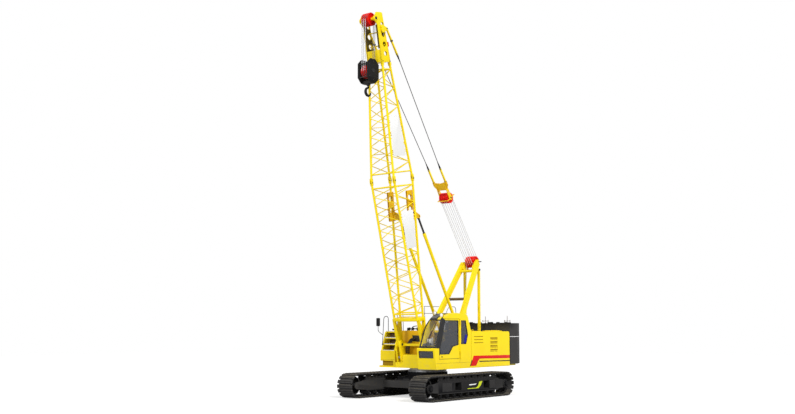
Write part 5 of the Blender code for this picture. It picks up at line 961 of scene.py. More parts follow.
def make_top_section():
    """The upper lattice, and the small red tag on the head above it."""
    shape, tag = Shape(BOOM), Shape(BOOM)
    start = JOINT_AT + HAIR
    make_lattice(shape, start + 0.05, TOP_END - 0.05, TOP_BAYS)
    make_joint_lugs(shape, None, start, 1)
    make_joint_lugs(shape, None, TOP_END, -1)
    for side in (-1, 1):
        for at in (7.55, 8.6):
            shape.rod(chord_point(at, side, -1), chord_point(at, side, 1), LACE * 0.8, 12)
    shape.done("boom_top_lattice", "boom", "yellow", "boom_top_section")
    tag.box((11.68, 0.352, 0.275), (11.86, 0.402, 0.315), 0.004)
    tag.done("head_tag", "boom", "red")


def make_rope_guard():
    """Two ears and two rods over the front of the head's sheaves."""
    guard = Shape(BOOM)
    outline = ((-0.33, -0.05), (-0.02, 0.075), (-0.015, 0.13), (-0.10, 0.15), (-0.38, 0.02))
    guard.pair("Y", rounded([(HEAD_END + x, z, 0.015) for x, z in outline]), 0, 0.194, 0.206, edge=0.002)
    guard.rod((HEAD_END - 0.05, -0.21, 0.105), (HEAD_END - 0.05, 0.21, 0.105), 0.016, 14)
    guard.rod((HEAD_END - 0.34, -0.21, -0.01), (HEAD_END - 0.34, 0.21, -0.01), 0.014, 14)
    guard.done("rope_guard", "boom", "yellow")


def make_head():
    """The boom's head: two holed plates with rims and flanges, axle, lugs and cross bars, with painted shade on its
    inner faces and its far flange.
    """
    shape, dark, inner, painted_shade_flange = (Shape(BOOM) for _ in range(4))
    under, over = TIP_UNDER - CHORD, TIP_OVER + CHORD
    outline = rounded(
        (
            (HEAD_START, under, 0.02), (12.51, under, 0.05), (AXLE_AT, -0.37, 0.06), (HEAD_END, under, 0.06),
            (HEAD_END, over / 2, 0.06), (HEAD_START, over, 0.02),
        )
    )
    openings = []
    for share, radius in ((0.17, 0.0897), (0.36, 0.09775), (0.56, 0.1058), (0.76, 0.0805)):
        openings.append((mix(HEAD_START, HEAD_END, share), (under + over) / 2, radius))
    holes = [ring(*opening, 32) for opening in openings]
    slope = math.atan2(-over / 2, HEAD_END - HEAD_START)
    slope_length = math.hypot(over / 2, HEAD_END - HEAD_START)
    upper_flange = Matrix.Translation((HEAD_START, 0, over - 0.02)) @ Matrix.Rotation(-slope, 4, "Y")
    for side in (-1, 1):
        low, high = sorted((side * HEAD_HALF, side * (HEAD_HALF - 0.035)))
        shape.slab("Y", outline, low, high, holes)
        # Painted shade: a thin dark sheet on each plate's inner face.
        inner.slab("Y", outline, side * (HEAD_HALF - 0.0355), side * (HEAD_HALF - 0.038), holes, edge=0.0005)
        for (x, z, radius), hole in zip(openings, holes):
            rim = ring(x, z, radius + 0.016, 32)
            shape.slab("Y", rim, side * (HEAD_HALF + 0.006), side * (HEAD_HALF - 0.055), [hole], edge=0.003)
        # Painted shade: the far plate's lower flange is dark ochre because it lies in shade.
        flange = shape if side > 0 else painted_shade_flange
        flange.box((HEAD_START, low - 0.012, under + 0.010), (12.45, high + 0.012, under + 0.026), 0.003)
        shape.box((0, low - 0.012, -0.012), (slope_length - 0.06, high + 0.012, 0.004), 0.003, upper_flange)
        collar, bore = ring(AXLE_AT, AXLE_UP, 0.11, 36), ring(AXLE_AT, AXLE_UP, 0.058, 36)
        shape.slab("Y", collar, side * (HEAD_HALF + 0.012), side * (HEAD_HALF - 0.06), [bore], edge=0.005)
        y, eye = side * LUG_SPREAD, ring(LUG_AT, LUG_UP, 0.029)
        lug = hull(((12.275, 0.02, 0.07), (12.445, 0, 0.07), (LUG_AT, LUG_UP, 0.06)), 10)
        shape.slab("Y", lug, y - 0.015, y + 0.015, [eye])
        shape.slab("Y", ring(LUG_AT, LUG_UP, 0.055), y - 0.019, y + 0.019, [eye], edge=0.003)
        shape.rod((LUG_AT, side * 0.34, 0), (LUG_AT, y, 0), 0.06, 28)
        for x, z in ((12.2, -0.16), (LUG_AT, 0.16)):
            shape.box((x - 0.006, side * 0.37, z - 0.02), (x + 0.006, side * 0.40, z + 0.02), 0.002)
        x = HEAD_START + 0.035
        for z in (TIP_UNDER, TIP_OVER):
            dark.rod((x, side * 0.30, z), (x, side * 0.392, z), 0.026, 16, edge=0.003)
        cap = side * 0.396
        dark.rod((AXLE_AT, side * 0.36, AXLE_UP), (AXLE_AT, cap, AXLE_UP), 0.06, 32, edge=0.006)
        dark.bolts(wheel_spots(AXLE_AT, cap, AXLE_UP, 0.04, (0.5, 2.6, 4.7)), (0, side, 0), 0.009)
        spots = wheel_spots(AXLE_AT, side * 0.386, AXLE_UP, 0.088, (0, 1.05, 2.09, 3.14, 4.19, 5.24))
        dark.bolts(spots, (0, side, 0), 0.010)
    shape.rod((AXLE_AT, -0.36, AXLE_UP), (AXLE_AT, 0.36, AXLE_UP), 0.055, 28)
    half = HEAD_HALF - 0.0175
    bars = (
        (HEAD_START + 0.12, TIP_OVER - 0.03, BATTEN), (HEAD_END - 0.12, TIP_OVER / 3, BATTEN), (11.75, 0.10, 0.024),
        (12.28, 0.10, 0.024),
    )
    for x, z, radius in bars:
        shape.rod((x, -half, z), (x, half, z), radius, 16)
    shape.box((HEAD_START + 0.02, -half, under + 0.012), (HEAD_START + 0.50, half, under + 0.024), 0.003)
    shape.box((HEAD_START + 0.02, -half, under + 0.012), (HEAD_START + 0.034, half, over - 0.03), 0.003)
    shape.box((HEAD_END - 0.16, -half, TIP_OVER / 2 - 0.05), (HEAD_END - 0.05, half, TIP_OVER / 2), 0.004)
    shape.done("boom_head_plates", "boom", "yellow", "boom_head")
    dark.done("boom_head_pins", "boom", "black")
    # Painted shade: a dark box inside the near plate darkens what shows through its holes.
    inner.box((11.62, 0.215, -0.13), (12.55, 0.290, 0.22), 0.010)
    inner.done("boom_head_painted_shade", "boom", "shade")
    painted_shade_flange.done("boom_head_flange_painted_shade", "boom", "painted_shade_ochre")


def sheave_stack(shape, x, z, radius, bore, count, pitch):
    """Grooved wheels side by side round an axis along Y, each with lightening pockets and a hub."""
    for index in range(count):
        middle = (index - (count - 1) / 2) * pitch
        half = pitch / 2 - 0.004
        web = half * 0.30
        profile = [(bore, -half * 0.9), (bore + 0.05, -half * 0.9), (bore + 0.055, -web), (radius - 0.075, -web)]
        profile += [(radius - 0.062, -half * 0.86), (radius - 0.003, -half * 0.95), (radius, -half * 0.88)]
        groove = []
        for step in range(9):
            angle = math.pi * step / 8
            groove.append((radius - 0.012 - 0.026 * math.sin(angle), -half * 0.52 * math.cos(angle)))
        profile += groove
        profile += [(radius, half * 0.88), (radius - 0.003, half * 0.95), (radius - 0.062, half * 0.86)]
        profile += [(radius - 0.075, web), (bore + 0.055, web), (bore + 0.05, half * 0.9), (bore, half * 0.9)]
        profile.append(profile[0])
        shape.turned(profile, (x, middle, z), (x, middle + 1, z), 44)


def make_boards():
    """Blank boards on the left flank, narrower than the space between the chords, held by two battens."""
    boards, battens = Shape(BOOM), Shape(BOOM)
    for start, end in BOARDS:
        corners = []
        for at, share in ((start, 0.05), (end, 0.05), (end, 0.80), (start, 0.80)):
            corners.append(chord_point(at, 1, -1).lerp(chord_point(at, 1, 1), share))
        lean = (corners[1].y - corners[0].y) / (end - start)
        skew = Matrix.Identity(4)
        skew[1][0] = lean
        skew[1][3] = corners[0].y - lean * start
        low = CHORD + 0.004
        outline = [(corner.x, corner.z, 0.03) for corner in corners]
        boards.slab("Y", rounded(outline, 3), low, low + 0.012, edge=0.003, matrix=skew)
        for share in (0.15, 0.85):
            at = mix(start, end, share)
            battens.rod(chord_point(at, 1, -1), chord_point(at, 1, 1), 0.018, 12)
    boards.done("sign_boards", "boom", "white", "sign_board_lower", "sign_board_upper")
    battens.done("sign_battens", "boom", "yellow")


# The luffing tackle, in a frame with X from the gantry's top towards the lugs on the head.
GANTRY_TOP = Vector((-3.15, 0, 5.48))
GANTRY_SHEAVE = 0.245
BRIDLE_SHEAVE = 0.225
BRIDLE_AT = 3.17
TACKLE_PITCH = 0.105
YOKE_END = BRIDLE_AT + 0.66
YOKE_TOP = YOKE_END + 0.08
YOKE_SPREAD = 0.30
# How deep a rope's middle lies inside a sheave's rim.
GROOVE = 0.024


def frame_between(start, end):
    """The frame at a start with X towards an end in the plane of X and Z, and how far apart they are."""
    run = end - start
    return Matrix.Translation(start) @ Matrix.Rotation(-math.atan2(run.z, run.x), 4, "Y"), run.length


def make_stays():
    """The stays from the gantry to the head: sheave stacks, yoke, pendants and the luffing rope."""
    stay, length = frame_between(GANTRY_TOP, BOOM @ Vector((LUG_AT, 0, LUG_UP)))
    stack, bridle = Shape(stay), Shape(stay)
    sheave_stack(stack, 0, 0, GANTRY_SHEAVE, 0.0515, 4, TACKLE_PITCH)
    stack.done("gantry_sheave_stack", "luff_tackle", "red", "gantry_sheaves")
    sheave_stack(bridle, BRIDLE_AT, 0, BRIDLE_SHEAVE, 0.0515, 4, TACKLE_PITCH)
    bridle.done("bridle_sheave_stack", "bridle", "red", "bridle_sheaves")
    make_yoke(stay)
    make_pendants(stay, length)
    make_luffing_ropes(stay)


def make_yoke(stay):
    """The bridle's yoke: links from the sheaves' axle, a plate in two layers, ears, and rods that guard the rope."""
    yoke, dark = Shape(stay), Shape(stay)
    dark.rod((BRIDLE_AT, -0.25, 0), (BRIDLE_AT, 0.25, 0), 0.05, 28, edge=0.005)
    half, stack_half, pin_at = YOKE_SPREAD + 0.055, 0.21, YOKE_TOP + 0.02
    link = hull(((BRIDLE_AT, 0, 0.10), (YOKE_END, 0, 0.05)), 10)
    ear = hull(((YOKE_TOP - 0.06, 0, 0.05), (YOKE_TOP + 0.03, 0, 0.038)))
    for side in (-1, 1):
        holes = [ring(3.45, 0, 0.035), ring(3.62, 0, 0.028)]
        yoke.slab("Y", link, side * 0.2125, side * 0.2475, holes, edge=0.005)
        bore = ring(BRIDLE_AT, 0, 0.051)
        yoke.slab("Y", ring(BRIDLE_AT, 0, 0.08), side * 0.24, side * 0.262, [bore], edge=0.003)
        dark.rod((BRIDLE_AT, side * 0.245, 0), (BRIDLE_AT, side * 0.275, 0), 0.034, 6)
        yoke.pair("Y", ear, side * YOKE_SPREAD, 0.023, 0.043, edge=0.003)
        dark.rod((pin_at, side * (YOKE_SPREAD - 0.05), 0), (pin_at, side * half, 0), 0.022, 14, edge=0.003)
    outline = rounded(
        (
            (YOKE_TOP, half, 0.01), (YOKE_TOP, half - 0.09, 0.02), (YOKE_TOP - 0.05, 0, 0.3),
            (YOKE_TOP, 0.09 - half, 0.02), (YOKE_TOP, -half, 0.01), (YOKE_TOP - 0.16, -half, 0.05),
            (YOKE_TOP - 0.36, -stack_half, 0.05), (YOKE_TOP - 0.36, stack_half, 0.05), (YOKE_TOP - 0.16, half, 0.05),
        ),
        10,
    )
    yoke.pair("Z", outline, 0, 0.011, 0.025, edge=0.003)
    for y in (-0.29, -0.15, 0, 0.15, 0.29):
        yoke.box((YOKE_TOP - 0.15, y - 0.006, -0.016), (YOKE_TOP - 0.055, y + 0.006, 0.016), 0.002)
    for z in (-0.265, 0.265):
        yoke.rod((BRIDLE_AT, -0.27, z), (BRIDLE_AT, 0.27, z), 0.018, 14)
        for y in (-0.26, 0.26):
            yoke.rod((BRIDLE_AT, y, 0), (BRIDLE_AT, y, z), 0.014, 12)
    # Painted light: the yoke's amber is lightened to make up for the shade on its face.
    yoke.done("bridle_frame", "bridle", "amber_painted_light", "bridle_yoke")
    dark.done("bridle_pins", "bridle", "black")


def make_pendants(stay, length):
    """Both pendants: link bars at the yoke and at the head, sockets, and the rope between."""
    rope, bars, sockets = Shape(stay), Shape(stay), Shape(stay)
    start = YOKE_TOP + HAIR
    link_end, far_link, joint = start + 0.62, length - 1.105, length - 0.51
    cone = ((0, 0), (0.026, 0), (0.034, 0.02), (0.034, 0.10), (0.022, 0.24), (0.019, 0.34), (0, 0.34))
    for side in (-1, 1):
        near_y, far_y = side * YOKE_SPREAD, side * LUG_SPREAD
        links = (
            (start + 0.02, link_end, near_y), (far_link, joint + 0.01, far_y), (joint - 0.01, length - 0.03, far_y),
        )
        for low, high, y in links:
            bars.pair("Y", hull(((low, 0, 0.032), (high, 0, 0.032))), y, 0.018, 0.030, edge=0.002)
        sockets.rod((joint, far_y - 0.045, 0), (joint, far_y + 0.045, 0), 0.036, 16, edge=0.003)
        for at, rate, y in ((link_end - 0.02, 1, near_y), (far_link + 0.02, -1, far_y)):
            sockets.turned(cone, (at, y, 0), (at + rate, y, 0), 20)
            pin = at - rate * 0.01
            sockets.rod((pin, y - 0.034, 0), (pin, y + 0.034, 0), 0.017, 14, edge=0.002)
        sockets.rod((length, far_y - 0.040, 0), (length, far_y + 0.040, 0), 0.026, 16, edge=0.003)
        rope.rod((link_end + 0.30, near_y, 0), (far_link - 0.30, far_y, 0), 0.016, 12)
    rope.done("pendant_ropes", "bridle", "cable_and_shaded_rope", "pendant_left", "pendant_right")
    bars.done("pendant_links", "bridle", "yellow")
    sockets.done("pendant_sockets", "bridle", "black")


def make_luffing_ropes(stay):
    """The luffing rope's falls between the two stacks, shifted a groove as they cross, and its lead to the winch."""
    ropes, lead = Shape(stay), Shape()
    near, far, outermost = GANTRY_SHEAVE - GROOVE, BRIDLE_SHEAVE - GROOVE, 1.5 * TACKLE_PITCH
    for index in range(4):
        y = (index - 1.5) * TACKLE_PITCH
        for side in (1, -1):
            far_y = max(-outermost, min(outermost, y + side * TACKLE_PITCH / 2))
            ropes.rod((0, y, side * near), (BRIDLE_AT, far_y, side * far), 0.009, 8)
    piece = ropes.done("luffing_falls", None, "strand")
    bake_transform(piece)
    lead.rod((-2.65, -0.06, 1.94), stay @ Vector((0, -outermost, -near)), 0.009, 8)
    lead.done("luffing_lead", "upper", "strand")


def make_backstops():
    """Two telescoping backstops between the upper and the ears on the boom's foot section."""
    stop, length = frame_between(STOP_FOOT, BOOM @ Vector((STOP_EAR_AT, 0, STOP_EAR_UP)))
    tubes, rods, pins = Shape(stop), Shape(stop), Shape(stop)
    tube_end = 4.86
    profile = (
        (0, 0.10), (0.045, 0.10), (0.056, 0.13), (0.062, 0.15), (0.062, 4.70), (0.070, 4.71), (0.070, 4.84),
        (0.066, tube_end), (0.0435, tube_end), (0.0435, 4.60), (0.0435, 0.30), (0, 0.30),
    )
    eye = hull(((0, 0, 0.07), (0.20, 0, 0.045)), 10)
    head = hull(((length - 0.09, 0, 0.04), (length, 0, 0.07)), 10)
    for side in (-1, 1):
        y = side * STOP_SPREAD
        tubes.turned(profile, (0, y, 0), (1, y, 0), 28)
        tubes.slab("Y", eye, y - 0.035, y + 0.035, edge=0.006)
        for at in (0.9, 2.6):
            tubes.rod((at, y, 0), (at + 0.035, y, 0), 0.067, 28, edge=0.004)
        pins.rod((0, y - 0.075, 0), (0, y + 0.075, 0), 0.035, 20, edge=0.004)
        rods.rod((tube_end - 2.15, y, 0), (length - 0.05, y, 0), 0.040, 24, edge=0.003)
        rods.slab("Y", head, y - 0.035, y + 0.035, edge=0.005)
        rods.rod((length, y - 0.039, 0), (length, y + 0.039, 0), 0.035, 20)
    tubes.done("backstop_tubes_pair", "backstop_tubes", "yellow", "backstop_tube_left", "backstop_tube_right")
    rods.done("backstop_rods_pair", "backstop_rods", "black", "backstop_rod_left", "backstop_rod_right")
    pins.done("backstop_pins", "backstop_tubes", "black")


# Hoist: the sheaves in the head and in the block under it.
HOIST_PITCH = 0.085
HEAD_SHEAVE = 0.26
BLOCK_SHEAVE = 0.25
BLOCK_DROP = 2.06
BLOCK_HALF_HEIGHT = 0.47


def make_hoist():
    """The sheaves of head and block, the rope's falls between them, the block and the hook. The rear falls and the
    arcs over the sheaves are painted darker as shade.
    """
    centre = BOOM @ Vector((AXLE_AT, 0, AXLE_UP))
    x, z = centre.x, centre.z
    block_z = z - BLOCK_DROP
    head, block, falls, rear = (Shape() for _ in range(4))
    sheave_stack(head, x, z, HEAD_SHEAVE, 0.0615, 4, HOIST_PITCH)
    head.done("head_sheave_stack", "falls", "red", "head_sheaves")
    sheave_stack(block, x, block_z, BLOCK_SHEAVE, 0.0515, 4, HOIST_PITCH)
    block.rod((x, -0.20, block_z), (x, 0.20, block_z), 0.05, 24)
    block.done("block_sheave_stack", "hook_block", "red", "block_sheaves")
    radius, low_reach, high_reach = 0.013, BLOCK_SHEAVE - GROOVE, HEAD_SHEAVE - GROOVE
    for index in range(4):
        y = (index - 1.5) * HOIST_PITCH
        if index < 3:
            falls.rod((x + low_reach, y, block_z), (x + high_reach, y, z), radius, 10)
        if index > 1:
            rear.rod((x - low_reach, y, block_z), (x - high_reach, y, z), radius, 10)
        for middle, reach, way in ((block_z, low_reach, -1), (z, high_reach, 1)):
            arc = [way * math.pi * step / 16 for step in range(17)]
            rear.pipe(wheel_spots(x, y, middle, reach, arc), radius, 10)
    # Painted shade: the rear falls and the arcs round the sheaves take a darker finish than the front falls, though
    # they are one rope.
    for piece in (falls.done("hoist_falls", None, "rope", "hoist_rope"), rear.done("hoist_falls_rear_painted_shade", None, "cable_and_shaded_rope")):
        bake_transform(piece)
    make_block(x, block_z)
    make_hook(x, block_z - BLOCK_HALF_HEIGHT - 0.0205)


def make_block(x, z):
    """The hook block's cheeks with raised faces, spacers and bolts, and the cross head under them."""
    cheeks, trim = Shape(), Shape()
    outline = []
    for across, up in ((1, -1), (1, 1), (-1, 1), (-1, -1)):
        corner = [(across * 0.34, up * 0.28), (across * 0.15, up * BLOCK_HALF_HEIGHT)]
        outline += corner if across * up > 0 else corner[::-1]
    for side in (-1, 1):
        cheek = rounded([(x + across, z + up, 0.02) for across, up in outline], 3)
        cheeks.slab("Y", cheek, side * 0.25, side * 0.205, edge=0.010)
        raised = rounded([(x + across * 0.84, z + up * 0.86, 0.02) for across, up in outline], 3)
        cheeks.slab("Y", raised, side * 0.248, side * 0.258)
        trim.rod((x, side * 0.20, z), (x, side * 0.272, z), 0.085, 32, edge=0.008)
        trim.bolts(wheel_spots(x, side * 0.272, z, 0.062, full_turn(6)), (0, side, 0), 0.010)
        corners = ((-0.22, -0.24), (0.22, -0.24), (-0.22, 0.24), (0.22, 0.24), (0, 0.36), (0, -0.36))
        trim.bolts([(x + across, side * 0.257, z + up) for across, up in corners], (0, side, 0), 0.018, 0.012)
    for across in (-0.26, 0.26):
        for up in (-0.26, 0.26):
            trim.rod((x + across, -0.206, z + up), (x + across, 0.206, z + up), 0.018, 14)
    bottom = z - BLOCK_HALF_HEIGHT
    cheeks.box((x - 0.095, -0.23, bottom - 0.02), (x + 0.095, 0.23, bottom + 0.095), 0.012)
    cheeks.done("hook_block_cheeks", "hook_block", "block", "hook_block")
    trim.done("hook_block_trim", "hook_block", "black")


def make_hook(x, top):
    """A forged hook with its neck, bowl, tip and safety latch."""
    shape, latch = Shape(), Shape()
    shape.rod((x, 0, top), (x, 0, top - 0.045), 0.09, 32, edge=0.008)
    shape.rod((x, 0, top - 0.045), (x, 0, top - 0.07), 0.060, 6)
    reach, neck, sweep, steps = 0.15, 0.036, 0.74, 22
    bowl = top - 0.16 - reach
    points, sizes = [(x, 0, top - 0.03), (x, 0, top - 0.10)], [neck, 0.034]
    for step in range(steps + 1):
        share = step / steps
        angle = math.pi / 2 - 2 * math.pi * share * sweep
        points.append((x + reach * math.cos(angle), 0, bowl + reach * math.sin(angle)))
        sizes.append(neck + 0.020 * math.sin(math.pi * share**0.9) - 0.020 * share**4)
    shape.pipe(points, 0, 16, radii=sizes)
    shape.done("crane_hook", "hook", "black", "hook")
    latch.box((x - 0.135, -0.018, bowl + 0.02), (x - 0.120, 0.018, bowl + 0.155), 0.004)
    latch.rod((x - 0.03, -0.03, bowl + 0.150), (x - 0.03, 0.03, bowl + 0.150), 0.012, 12)
    latch.box((x - 0.135, -0.018, bowl + 0.143), (x - 0.02, 0.018, bowl + 0.157), 0.004)
    latch.done("hook_latch", "hook", "yellow")


# Cab: its skin is ruled between an outline on its inner side and one on its outer side.
CAB_INNER = 0.83
CAB_OUTER = 1.68
SILL = (1.59, 1.94)
INNER_BROW = (1.10, 3.05, 1.40)
OUTER_BROW = (1.22, 3.10, 0.10)
CAB_TOP = ((0.36, 3.28, 0.60), (-0.40, 3.21, 0.16))
CAB_WAIST = (-0.64, 2.58)


def cab_outline(brow):
    """One side's outline from the sill over the roof to the waist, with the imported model's own points."""
    corners = ((-0.64, 1.21, 0), (1.65, 1.21, 0), (*SILL, 0), brow, *CAB_TOP, (*CAB_WAIST, 0))
    return rounded(corners, 6)[2:]

CAB_LINES = (cab_outline(INNER_BROW), cab_outline(OUTER_BROW))


def cab_point(along, across, out=0.0):
    """A point of the cab's skin: along its outline from the sill, and across from its inner to its outer side."""
    ends = []
    for outline, y in ((CAB_LINES[0], CAB_INNER), (CAB_LINES[1], CAB_OUTER)):
        index = min(int(along), len(outline) - 2)
        here, following = Vector(outline[index]), Vector(outline[index + 1])
        normal = Vector((following.y - here.y, here.x - following.x)).normalized()
        spot = here.lerp(following, along - index) + normal * out
        ends.append(Vector((spot.x, y, spot.y)))
    return ends[0].lerp(ends[1], across)


def cab_at(z, across):
    """How far along the outline the skin reaches this height, going up from the sill."""
    low, high = 0.0, 9.0
    for _ in range(30):
        middle = (low + high) / 2
        if cab_point(middle, across).z < z:
            low = middle
        else:
            high = middle
    return low


def cab_skin(shape, low, high, start, end, out, thick, rows=14, columns=8):
    """A sheet over the skin, between two places along it, which may depend on the place across, from start to end."""
    bm = bmesh.new()
    layers = []
    for depth in (out, out - thick):
        grid = []
        for column in range(columns + 1):
            across = mix(start, end, column / columns)
            foot, head = low(across), high(across)
            line = [cab_point(mix(foot, head, row / rows), across, depth) for row in range(rows + 1)]
            grid.append([bm.verts.new(point) for point in line])
        layers.append(grid)
    top, under = layers
    for column in range(columns):
        for row in range(rows):
            for grid in layers:
                square = (grid[column][row], grid[column + 1][row], grid[column + 1][row + 1], grid[column][row + 1])
                bm.faces.new(square)
    for column in range(columns):
        for row in (0, rows):
            bm.faces.new((top[column][row], top[column + 1][row], under[column + 1][row], under[column][row]))
    for row in range(rows):
        for column in (0, columns):
            bm.faces.new((top[column][row], top[column][row + 1], under[column][row + 1], under[column][row]))
    shape.take(bm)


def band(outline, width):
    """An outline and the same one drawn in by a width, for a seal or a frame."""
    middle = sum((Vector(point) for point in outline), Vector((0, 0))) / len(outline)
    count = len(outline)
    inner = []
    for index, point in enumerate(outline):
        before, here, after = (Vector(outline[(index + step) % count]) for step in (-1, 0, 1))
        run = (after - before).normalized()
        side = Vector((-run.y, run.x))
        if side.dot(middle - here) < 0:
            side = -side
        inner.append(tuple(here + side * width))
    return outline, inner


DOOR_GLASS = (
    (0.205, 2.05, 0.05), (0.58, 1.98, 0.05), (0.82, 1.70, 0.05), (1.40, 1.70, 0.05), (1.40, 1.94, 0),
    (1.0826, 2.99, 0.05), (0.205, 2.99, 0.05),
)
DOOR_LINE = ((0.138, 1.528, 0.02), (1.452, 1.528, 0.02), (1.452, 1.94, 0), (1.138, 3.042, 0.02), (0.138, 3.042, 0.02))
QUARTER = ((0.05, 2.07, 0.03), (0.05, 2.99, 0.03), (-0.28, 2.99, 0.03), (-0.43, 2.42, 0.03), (-0.30, 2.07, 0.03))
INNER_WINDOW = ((-0.30, 2.07, 0.04), (1.30, 2.07, 0.04), (0.58, 2.99, 0.04), (-0.30, 2.99, 0.04))


# Leans what is drawn at the lower window's foot along with the cab's front, which runs out to its sill.
LEAN_PIVOT = Matrix.Translation((1.672, 0, 1.37))
LOWER_LEAN = LEAN_PIVOT @ Matrix.Rotation(math.atan2(0.10, 0.73), 4, "Y") @ LEAN_PIVOT.inverted()
GLASS_FOOT = 2.01


def reaching(z):
    """An end for cab_skin, where the skin reaches this height."""
    return lambda across: cab_at(z, across)


def standing(along):
    """An end for cab_skin, at one place along its outline."""
    return lambda across: along


def make_cab():
    """The cab's glass and trim, then its seals and what it carries outside and inside."""
    glass, tinted, black, stripes = (Shape() for _ in range(4))
    cab_skin(glass, reaching(GLASS_FOOT), reaching(3.03), 0.085, 0.915, -0.012, 0.008)
    glass.slab("Y", rounded(INNER_WINDOW), CAB_INNER + 0.012, CAB_INNER + 0.018, edge=0.001)
    glass.done("cab_clear_glass", "upper", "clear")
    tinted.slab("Y", rounded(QUARTER), CAB_OUTER - 0.022, CAB_OUTER - 0.014, edge=0.001)
    tinted.box((1.664, CAB_INNER + 0.10, 1.58), (1.672, CAB_OUTER - 0.10, 1.82), 0.001, LOWER_LEAN)
    tinted.done("cab_tinted_glass", "upper", "glass")
    # Black trim: both windscreen pillars, the foot, the visor, and a strip along each side.
    cab_skin(black, standing(0.0), standing(6.0), 0.0, 0.075, 0.010, 0.014, rows=24, columns=2)
    cab_skin(black, standing(0.0), standing(5.5), 0.90, 1.0, 0.010, 0.014, rows=20, columns=2)
    cab_skin(black, standing(0.0), reaching(GLASS_FOOT), 0.02, 0.98, 0.008, 0.012, rows=2)
    cab_skin(black, reaching(3.00), standing(8.0), 0.02, 0.62, 0.012, 0.016)
    strip = [(SILL[0] + 0.004, SILL[1]), (1.232, 3.06), (1.145, 3.06), (1.40, 2.15), (1.452, 1.94)]
    black.slab("Y", strip, CAB_OUTER - 0.002, CAB_OUTER + 0.012)
    places = [8.0 * step / 24 for step in range(25)]
    line = [cab_point(along, 0.0, 0.008) for along in places]
    line += [cab_point(along, 0.0, -0.055) for along in reversed(places)]
    black.slab("Y", [(point.x, point.z) for point in line], CAB_INNER - 0.012, CAB_INNER + 0.004, edge=0.003)
    black.done("windscreen_trim", "upper", "seal")
    for start in (0.10, 0.22, 0.34, 0.46):
        cab_skin(stripes, reaching(3.06), standing(7.4), start, start + 0.05, 0.018, 0.007, rows=8, columns=2)
    stripes.done("visor_stripes", "upper", "grey")
    make_cab_seals()
    make_cab_fittings()
    make_cab_inside()


def make_cab_seals():
    """Rubber round the windows and the door, and the blue flash behind the quarter window."""
    seal, door, blue = Shape(), Shape(), Shape()
    outer, inner = band(rounded(QUARTER), 0.020)
    seal.slab("Y", outer, CAB_OUTER - 0.016, CAB_OUTER + 0.005, [inner], edge=0.002)
    outer, inner = band(rounded(INNER_WINDOW), 0.022)
    seal.slab("Y", outer, CAB_INNER - 0.005, CAB_INNER + 0.012, [inner], edge=0.002)
    seal.rod((1.735, 1.50, 1.946), (1.735, 1.02, 1.946), 0.006, 10)
    near, far = CAB_INNER + 0.085, CAB_OUTER - 0.085
    for low, high in (
        ((1.668, near, 1.565), (1.682, far, 1.582)),
        ((1.668, near, 1.818), (1.682, far, 1.835)),
        ((1.668, near, 1.565), (1.682, near + 0.017, 1.835)),
        ((1.668, far - 0.017, 1.565), (1.682, far, 1.835)),
    ):
        seal.box(low, high, 0.003, LOWER_LEAN)
    seal.done("window_seals", "upper", "seal")
    outer, inner = band(rounded(DOOR_GLASS), 0.022)
    door.slab("Y", outer, CAB_OUTER - 0.014, CAB_OUTER + 0.006, [inner], edge=0.002)
    outer, inner = band(rounded(DOOR_LINE), 0.007)
    door.slab("Y", outer, CAB_OUTER - 0.003, CAB_OUTER + 0.0015, [inner], edge=0.0005)
    frame_line = ((1.451, 1.95), (1.139, 3.038), (1.068, 2.995), (1.392, 1.94), (1.392, 1.70), (1.451, 1.66))
    door.slab("Y", frame_line, CAB_OUTER - 0.002, CAB_OUTER + 0.005, edge=0.002)
    door.box((1.24, CAB_OUTER - 0.002, 1.595), (1.32, CAB_OUTER + 0.008, 1.630), 0.005)
    door.box((0.17, CAB_OUTER - 0.042, 2.50), (1.22, CAB_OUTER - 0.034, 2.525), 0.003)
    door.done("door_seals", "cab_door", "seal")
    outline = ((-0.17, 2.11), (-0.19, 2.24), (-0.28, 2.46), (-0.395, 2.36), (-0.29, 2.11))
    blue.slab("Y", outline, CAB_OUTER - 0.012, CAB_OUTER - 0.006, edge=0.001)
    blue.done("quarter_window_flash", "upper", "blue")


def make_cab_fittings():
    """Work lamps, wiper and panel seams on the outside of the cab."""
    dark, lens, lines = Shape(), Shape(), Shape()
    shell = ((0, -0.06), (0.045, -0.055), (0.070, -0.02), (0.076, 0.008), (0.070, 0.012), (0, 0.012))
    face = ((0, 0.036), (0.030, 0.033), (0.055, 0.024), (0.068, 0.010), (0.068, -0.01), (0, -0.01))
    for x, y, z in ((1.02, 1.50, 3.18), (0.70, 0.95, 3.27)):
        dark.turned(shell, (x + 0.035, y, z), (x + 1.0, y, z), 28)
        dark.pipe([(x - 0.01, y, z - 0.075), (x - 0.01, y, z - 0.04)], 0.012, 10)
        lens.turned(face, (x + 0.045, y, z), (x + 1.0, y, z), 28)
    lens.done("lamp_lenses", "upper", "lamp_and_painted_highlight")
    dark.rod(cab_point(0.15, 0.40, 0.02), cab_point(cab_at(2.72, 0.55), 0.62, 0.016), 0.009, 8)
    dark.rod(cab_point(cab_at(2.30, 0.5), 0.40, 0.008), cab_point(cab_at(2.95, 0.6), 0.70, 0.008), 0.012, 8)
    dark.rod(cab_point(0.1, 0.40, 0.0), cab_point(0.1, 0.40, 0.03), 0.03, 16)
    dark.done("cab_fittings", "upper", "black")
    for x, z, far_x, far_z in ((-0.63, 1.366, 1.655, 1.372), (0.118, 1.38, 0.124, 1.52)):
        lines.box((x, CAB_OUTER - 0.002, z), (far_x, CAB_OUTER + 0.0015, far_z), 0.0005)
    lines.box((1.658, CAB_INNER + 0.01, 1.366), (1.6745, CAB_OUTER - 0.01, 1.372), 0.0005)
    lines.done("panel_seams", "upper", "seal")


# How square a pad is: 2 would be round.
SOFTNESS = 5.0


